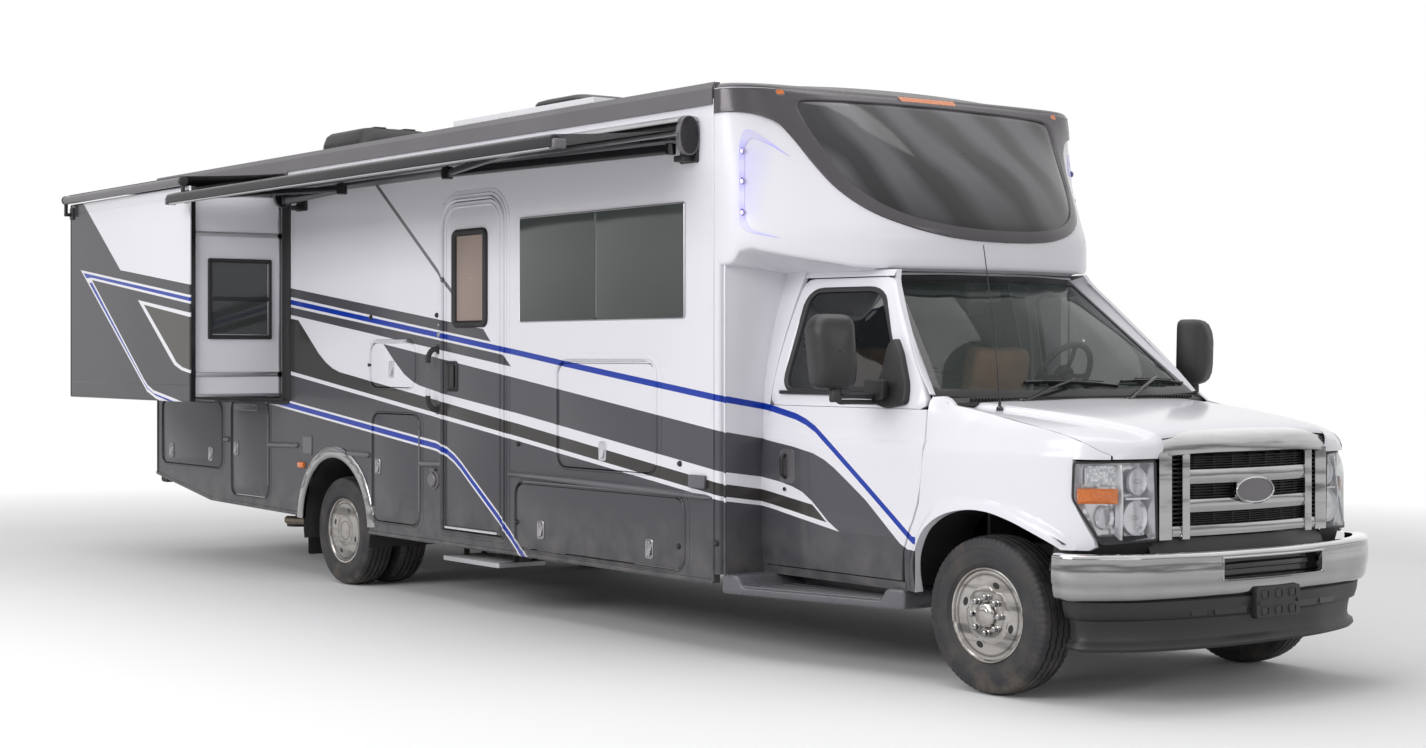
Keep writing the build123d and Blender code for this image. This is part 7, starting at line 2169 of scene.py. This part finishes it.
# %% Window of the rear room
frame_outline = rounded(-1.892, 1.668, -1.407, 2.227, 0.012, 3)
pane_outline = rounded(-1.866, 1.697, -1.432, 2.2, 0.006, 3)
SASH = [(0.0, 0.0), (0.0, 0.012), (-0.003, 0.016), (-0.022, 0.016), (-0.026, 0.012), (-0.027, 0.003)]
piece("room_window_frame", black_plastic, "slide_room_right", frame_strip(frame_outline, room_front, SASH),
      brick((-1.87, ROOM_Y0 + 0.014, 1.936), (-1.43, ROOM_Y0 + 0.03, 1.961), 0.003))
piece("room_window_pane", house_glass, "slide_room_right", plate(pane_outline, room_front, 0.0, 0.005))
piece("room_window_reveal", aluminium, "slide_room_right",
      brick((-1.438, ROOM_Y0 + 0.0195, 1.7), (-1.433, ROOM_Y0 + 0.026, 1.935), 0.001),
      brick((-1.438, ROOM_Y0 + 0.0195, 1.963), (-1.433, ROOM_Y0 + 0.026, 2.195), 0.001),
      brick((-1.86, ROOM_Y0 + 0.0195, 1.699), (-1.436, ROOM_Y0 + 0.026, 1.704), 0.001))

# %% Bulb seal round the opening
opening = rounded(ROOM_Y0 + 0.012, ROOM_Z0 + 0.012, ROOM_Y1 - 0.012, ROOM_Z1 - 0.012, 0.02, 3)
BULB = [(-0.008, 0.0), (-0.009, 0.03), (-0.004, 0.045), (0.004, 0.05), (0.012, 0.046), (0.016, 0.03), (0.028, 0.012),
        (0.042, 0.006), (0.044, 0.0)]
bulb = piece("room_bulb_seal", rubber, "vehicle", frame_strip(opening, right_face, BULB))
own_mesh(bulb)
print("bulb seal points:", len(bulb.data.vertices))

# %% Topper rollers
def topper(sign, y0, y1, reach):
    """Roller tube with end caps, and the arms that hold it on a room's face."""
    x = sign * (reach + 0.045)
    roll = tube([(x, y0 + 0.006, 2.748), (x, y1 - 0.006, 2.748)], 0.031, steps=24)
    caps = [turned([(-0.006, 0.012), (-0.004, 0.03), (0.0, 0.034), (0.016, 0.034), (0.02, 0.031)], (x, y, 2.748), "y",
                   24) for y in (y0 + 0.004, y1 - 0.022)]
    arms = [brick((sign * (reach + 0.002), y, 2.626), (x + sign * 0.012, y + 0.026, 2.652), 0.006)
            for y in (y0, y1 - 0.026)]
    arms += [brick((x - sign * 0.014, y + 0.002, 2.63), (x + sign * 0.012, y + 0.024, 2.748), 0.006)
             for y in (y0, y1 - 0.026)]
    arms += [brick((sign * reach, y - 0.02, 2.6), (sign * (reach + 0.012), y + 0.046, 2.69), 0.005)
             for y in (y0 + 0.022, y1 - 0.05)]
    return roll, caps + arms


for word, sign, y0, y1, reach in (("right", -1, 6.346, 8.528, ROOM_REACH),
                                  ("left", 1, 1.72, 4.98, HALF_WIDTH + 0.047)):
    roll, holders = topper(sign, y0, y1, reach)
    body = "slide_room_" + word
    tube_piece = piece("topper_tube_" + word, satin_grey, body, roll)
    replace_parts(tube_piece, "topper_roller_" + word)
    piece("topper_holders_" + word, black_plastic, body, *holders)

# %% [markdown]
# ## Driver's-side room
# The room on the driver's side is shut. Its face lies on the wall, with two windows and the same
# seams. A slatted vent and three round inlets fill the wall behind it.

# %% Room on the driver's side
LEFT_REACH = HALF_WIDTH + 0.047
left_room_face = side(1, LEFT_REACH)
left_outline = rounded(1.72, 1.01, 4.98, 2.7, 0.006, 2)
piece("left_room_edges", gelcoat, "slide_room_left",
      frame_strip(left_outline, left_room_face,
                  [(0.0035, -0.04), (0.0035, -0.002), (0.0, 0.003), (-0.006, 0.0035), (-0.008, 0.0),
                   (-0.008, -0.04)]),
      *[brick((LEFT_REACH - 0.002, 1.724, z - 0.002), (LEFT_REACH + SEAM, 4.976, z + 0.002), 0.001)
        for z in (1.13, 2.62)])
LEFT_WINDOWS = [(2.05, 1.72, 3.25, 2.34), (3.75, 1.95, 4.6, 2.34)]
piece("left_room_panes", house_glass, "slide_room_left",
      *[plate(rounded(*w, 0.05, 5), left_room_face, 0.0, 0.004, 0.002) for w in LEFT_WINDOWS])
piece("left_room_window_frames", rubber, "slide_room_left",
      *[frame_strip(rounded(*w, 0.05, 5), left_room_face,
                    [(0.012, 0.0), (0.011, 0.009), (0.004, 0.013), (-0.012, 0.012), (-0.018, 0.006), (-0.019, 0.003)])
        for w in LEFT_WINDOWS],
      *[brick((LEFT_REACH, (w[0] + w[2]) / 2 - 0.008, w[1] + 0.01),
              (LEFT_REACH + 0.009, (w[0] + w[2]) / 2 + 0.008, w[3] - 0.01), 0.002) for w in LEFT_WINDOWS])
flat_seal = frame_strip(rounded(1.75, 1.04, 4.95, 2.67, 0.02, 3), left_face,
                        [(-0.006, 0.0), (-0.006, 0.004), (0.0, 0.006), (0.03, 0.006), (0.045, 0.002), (0.045, 0.0)])
piece("left_room_seal", rubber, "vehicle", flat_seal)
GRILLE = rounded(5.55, 1.05, 6.05, 1.5, 0.03, 4)
slats = [brick((HALF_WIDTH + 0.004, 5.585, z), (HALF_WIDTH + 0.02, 6.015, z + 0.016), 0.004)
         for z in np.arange(1.09, 1.45, 0.034)]
piece("fridge_vent", gelcoat, "vehicle",
      frame_strip(GRILLE, left_face, [(0.0, 0.0), (-0.001, 0.009), (-0.006, 0.013), (-0.02, 0.012), (-0.028, 0.003)]),
      *slats)
piece("fridge_vent_back", black_plastic, "vehicle", plate(grown(GRILLE, -0.02), left_face, 0, 0.002))
inlets = [turned([(0.0, 0.055), (0.006, 0.054), (0.009, 0.048), (0.009, 0.042), (0.003, 0.036), (0.003, 0.001)],
                 (HALF_WIDTH, y, z), "x", 30) for y, z in ((7.75, 0.95), (8.0, 0.95), (6.5, 1.02))]
piece("service_inlets", plain_white, "vehicle", *inlets)
print("rooms done")

# %% [markdown]
# ## Inside the cab
# Through the windshield one sees two captain's chairs, the dash and the steering wheel. A padded
# seat is a closed form that bulges between its seams. It starts as a box whose faces are crowned,
# then it is remeshed to an even net and blown up a little as cloth, which gives it soft, uneven
# folds that a formula does not.

# %% Padded shapes
VOXEL, MOST_SWELL = 0.012, 0.014


def crowned(name, paint, centre, size, tilt, crown, channels=()):
    """Pad whose broad face (local Y) swells, with sewn channels at some heights from -1 to 1."""
    work = bmesh.new()
    bmesh.ops.create_cube(work, size=2)
    bmesh.ops.subdivide_edges(work, edges=work.edges[:], cuts=15, use_grid_fill=True)
    turn = math.radians(tilt)
    for v in work.verts:
        u = np.array(v.co)
        u = u * np.abs(u).max() / (np.abs(u) ** 7).sum() ** (1 / 7)
        pinch = 1 - 0.05 * (1 - u[0] ** 2) * abs(u[2]) ** 4
        p = u * np.array(size) / 2 * [1, 1, pinch]
        p[1] += math.copysign(crown, u[1]) * (1 - u[0] ** 2) * (1 - u[2] ** 2) * abs(u[1])
        for channel in channels:
            p[1] -= math.copysign(0.011, u[1]) * math.exp(-((u[2] - channel) / 0.05) ** 2) * (abs(u[1]) > 0.5)
        v.co = np.array([p[0], p[1] * math.cos(turn) - p[2] * math.sin(turn),
                         p[1] * math.sin(turn) + p[2] * math.cos(turn)]) + centre
    points, faces = [tuple(v.co) for v in work.verts], [tuple(v.index for v in f.verts) for f in work.faces]
    work.free()
    return piece(name, paint, "vehicle", (points, faces), crease=180)


def blown_up(pad):
    """Remesh a pad evenly, let it swell as cloth under pressure, cap the swelling and subdivide it once."""
    current = bpy.context.evaluated_depsgraph_get
    remesh = pad.modifiers.new("even", "REMESH")
    remesh.mode, remesh.voxel_size = "VOXEL", VOXEL
    even = bpy.data.meshes.new_from_object(pad.evaluated_get(current()))
    pad.modifiers.clear()
    pad.data = even
    start = np.array([v.co for v in even.vertices])
    cloth_modifier = pad.modifiers.new("swell", "CLOTH")
    cloth_modifier.settings.use_pressure = True
    cloth_modifier.settings.uniform_pressure_force = 4
    cloth_modifier.settings.effector_weights.gravity = 0
    for number in range(1, 16):
        bpy.context.scene.frame_set(number)
    swollen = bpy.data.meshes.new_from_object(pad.evaluated_get(current()))
    pad.modifiers.clear()
    bpy.context.scene.frame_set(1)
    moved = np.array([v.co for v in swollen.vertices]) - start
    far = np.linalg.norm(moved, axis=1, keepdims=True)
    moved *= np.minimum(1, MOST_SWELL / np.maximum(far, 1e-9))
    even.vertices.foreach_set("co", (start + moved).ravel())
    pad.modifiers.new("finer", "SUBSURF").levels = 1
    finer = bpy.data.meshes.new_from_object(pad.evaluated_get(current()))
    pad.modifiers.clear()
    pad.data = finer
    finer.shade_smooth()
    return float(far.max())


# %% Captain's chairs
PADS = {"cushion": ((0, 1.11, 1.0), (0.47, 0.115, 0.48), 84, 0.02, (0.25,)),
        "back": ((0, 1.385, 1.33), (0.46, 0.11, 0.6), 12, 0.022, (-0.35, 0.2)),
        "headrest": ((0, 1.458, 1.705), (0.25, 0.085, 0.16), 12, 0.012, ())}
bases = []
for word, x in (("right", -0.52), ("left", 0.52)):
    for part, (centre, size, tilt, crown, channels) in PADS.items():
        paint = leather_dark if part == "headrest" else tan_leather
        pad = crowned(f"seat_{part}_{word}", paint, np.array(centre) + [x, 0, 0], size, tilt, crown, channels)
        print(pad.name, "swelled by", round(blown_up(pad), 3))
        if part == "back":
            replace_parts(pad, "cab_seats")
    bases += [brick((x - 0.19, 0.97, 0.9), (x + 0.19, 1.33, 0.945), 0.02),
              brick((x - 0.15, 1.0, 0.905), (x + 0.15, 1.3, 0.93), 0.02)]
    bases += [tube([(x + s * 0.06, 1.425, 1.56), (x + s * 0.06, 1.45, 1.66)], 0.006) for s in (-1, 1)]
    bases += [sweep(softened([(x + s * 0.265, 1.36, 1.14), (x + s * 0.275, 1.3, 1.2), (x + s * 0.275, 1.05, 1.215)],
                             0.05, 4, False), rounded(-0.022, -0.03, 0.022, 0.03, 0.016, 3)) for s in (-1, 1)]
piece("seat_bases", cabin_plastic, "vehicle", *bases)
print("padded pieces:", 2 * len(PADS))

# %% [markdown]
# ## Dash and steering wheel
# The dash is one section swept across the cab, raised over the instruments. The wheel is a ring
# with a soft section, three spokes and a pad, all tilted toward the driver.

# %% Dash
DASH_SECTION = [(0.375, 1.1), (0.37, 1.3), (0.385, 1.34), (0.44, 1.35), (0.53, 1.345), (0.595, 1.325), (0.63, 1.28),
                (0.64, 1.2), (0.615, 1.1)]
dash_rows = []
for x in np.linspace(-0.9, 0.9, 61):
    hood = 0.05 * math.exp(-((x - 0.43) / 0.17) ** 4)
    vents = 0.008 * math.exp(-(abs(x + 0.05) / 0.14) ** 6)
    dash_rows.append([(x, y + vents * (y > 0.6), z + hood * (z > 1.25) * (y > 0.5)) for y, z in DASH_SECTION])
dash = piece("dash", cabin_plastic, "vehicle", loft(dash_rows), crease=50)
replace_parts(dash, "dashboard")
screen = [brick((-0.12, 0.634, 1.17), (0.12, 0.652, 1.3), 0.008),
          brick((0.3, 0.622, 1.27), (0.56, 0.645, 1.345), 0.008)]
piece("dash_screens", gloss_black, "vehicle", *screen)
wheel_centre, WHEEL_TILT, WHEEL_RING = np.array([0.43, 0.79, 1.45]), math.radians(-62), 0.185


def tilted(shape):
    """A shape drawn flat, turned to the steering wheel's tilt and moved to its place."""
    c, s = math.cos(WHEEL_TILT), math.sin(WHEEL_TILT)
    return [np.array([x, y * c - z * s, y * s + z * c]) + wheel_centre for x, y, z in shape[0]], shape[1]


ring_path = [(WHEEL_RING * math.cos(t), WHEEL_RING * math.sin(t), 0) for t in np.linspace(0, 2 * math.pi, 49)[:-1]]
spokes = [sweep([(0.04 * math.cos(a), 0.04 * math.sin(a), -0.004), (0.11 * math.cos(a), 0.11 * math.sin(a), -0.008),
                 (0.18 * math.cos(a), 0.18 * math.sin(a), 0)],
                rounded(-0.014, -0.006, 0.014, 0.006, 0.005, 3)) for a in np.radians((0, 180, 270))]
hub = turned([(-0.03, 0.03), (-0.02, 0.055), (0.004, 0.062), (0.018, 0.056), (0.026, 0.03), (0.027, 0.004)],
             (0, 0, 0), "z", 28)
column = tube([(0.43, 0.78, 1.445), (0.43, 0.58, 1.29)], 0.032, steps=16)
piece("steering_wheel", black_plastic, "vehicle", tilted(sweep(ring_path, circle(0.0155, 12), closed=True)),
      *[tilted(s) for s in spokes], tilted(hub), column)
glass_mirror = [brick((-0.125, 0.94, 1.83), (0.125, 0.972, 1.9), 0.014),
                tube([(0, 0.95, 1.88), (0, 0.905, 1.915)], 0.01)]
visors = [brick((s * 0.2, 0.97, 1.935), (s * 0.68, 1.12, 1.952), 0.008) for s in (-1, 1)]
piece("cab_mirror_and_visors", cabin_plastic, "vehicle", *glass_mirror, *visors)
print("steering wheel across", round(2 * WHEEL_RING, 2))

# %% [markdown]
# ## Steps and rear bumper
# Under each cab door hangs a moulded step: a ribbed tread between two raised ends. The house door
# has a slatted aluminium step that hangs from links. The bumper at the rear is a plain steel beam
# with a receiver in its middle.

# %% Cab steps
STEP_IN, STEP_OUT, STEP_Y0, STEP_Y1, STEP_LOW, STEP_SPREAD = 0.70, 0.998, 0.508, 1.553, 0.336, 0.272


def cab_step(sign):
    """Moulded step that widens toward the rear: a low tread between two raised ends, with ribs and a rolled edge."""
    def across(y, z, out):
        spread = STEP_SPREAD * max(0, min(1, (y - STEP_Y0) / (STEP_Y1 - STEP_Y0)))
        return sign * (STEP_OUT + out + spread * (out > -0.1)), y, z

    low_front, low_rear = STEP_Y0 + 0.13, STEP_Y1 - 0.125
    outline = softened([(STEP_Y0, STEP_LOW), (STEP_Y1, STEP_LOW), (STEP_Y1, 0.436), (low_rear + 0.03, 0.436),
                        (low_rear, 0.378), (low_front, 0.378), (low_front - 0.03, 0.436), (STEP_Y0, 0.436)], 0.022, 4)
    back = softened([(STEP_Y0, STEP_LOW), (STEP_Y1, STEP_LOW), (STEP_Y1, 0.436), (STEP_Y0, 0.436)], 0.02, 4)
    edge = [across(y, 0.38, -0.006) for y in (low_front - 0.002, low_rear + 0.002)]
    ribs = [sweep([(sign * (0.835 + 0.145 * i / 5), low_front + 0.03, 0.375),
                   (sign * (0.835 + (0.145 + STEP_SPREAD * 0.85) * i / 5), low_rear - 0.03, 0.375)],
                  rounded(-0.006, -0.003, 0.006, 0.006, 0.003, 2)) for i in range(6)]
    return [plate(outline, across, STEP_IN + 0.12 - STEP_OUT, 0, 0.012),
            plate(back, across, STEP_IN - STEP_OUT, STEP_IN + 0.122 - STEP_OUT, 0.01),
            tube(edge, 0.007), *ribs]


boards = piece("cab_steps", skirt_grey, "vehicle", *cab_step(-1), *cab_step(1), crease=40)

# %% Entry step
tray = rounded(-1.306, 3.605, -0.96, 4.233, 0.015, 3)
slats = [brick((x, 3.62, 0.305), (x + 0.014, 4.218, 0.3185), 0.003) for x in np.arange(-1.288, -0.98, 0.026)]
piece("entry_step", aluminium, "vehicle",
      frame_strip(tray, upright(0), [(0.0, 0.292), (0.0, 0.317), (-0.002, 0.32), (-0.012, 0.32), (-0.012, 0.292)]),
      *slats)
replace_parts(boards, "steps")
links = [brick((x - 0.02, y - 0.006, 0.3), (x + 0.02, y + 0.006, 0.47), 0.004) for x in (-1.15, -1.02)
         for y in (3.64, 4.2)]
piece("entry_step_links", chassis_black, "vehicle", *links, brick((-1.2, 3.62, 0.45), (-0.97, 4.22, 0.49), 0.008),
      brick((-1.06, 3.8, 0.325), (-0.98, 3.98, 0.4), 0.012))

# %% Rear bumper and flaps
BEAM_HALF = HALF_WIDTH - 0.085
beam_section = rounded(HOUSE_REAR + 0.004, 0.541, HOUSE_REAR + 0.118, 0.659, 0.022, 4)
beam = loft([[(x, HOUSE_REAR + 0.061 + (y - HOUSE_REAR - 0.061) * s, 0.6 + (z - 0.6) * s) for y, z in beam_section]
             for x, s in ((-BEAM_HALF, 0.9), (-BEAM_HALF + 0.012, 1), (BEAM_HALF - 0.012, 1), (BEAM_HALF, 0.9))])
receiver = [brick((-0.04, HOUSE_REAR + 0.03, 0.462), (0.04, HOUSE_REAR + 0.112, 0.542), 0.006),
            frame_strip(rounded(-0.042, 0.46, 0.042, 0.544, 0.006, 3), facing(1, HOUSE_REAR + 0.112),
                        [(0.002, -0.03), (0.003, 0.0), (0.0, 0.004), (-0.012, 0.004), (-0.014, -0.03)])]
rear_beam = piece("rear_bumper_beam", chassis_black, "vehicle", beam, *receiver)
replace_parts(rear_beam, "rear_bumper")
flap_y = WHEELBASE + 0.55
flaps = [plate(rounded(s - 0.2, 0.16, s + 0.2, 0.52, 0.02, 3), facing(1, flap_y), -0.006, 0.0, 0.002)
         for s in (-1, 1)]
piece("mud_flaps", rubber, "vehicle", *flaps)
print("steps and bumper done")
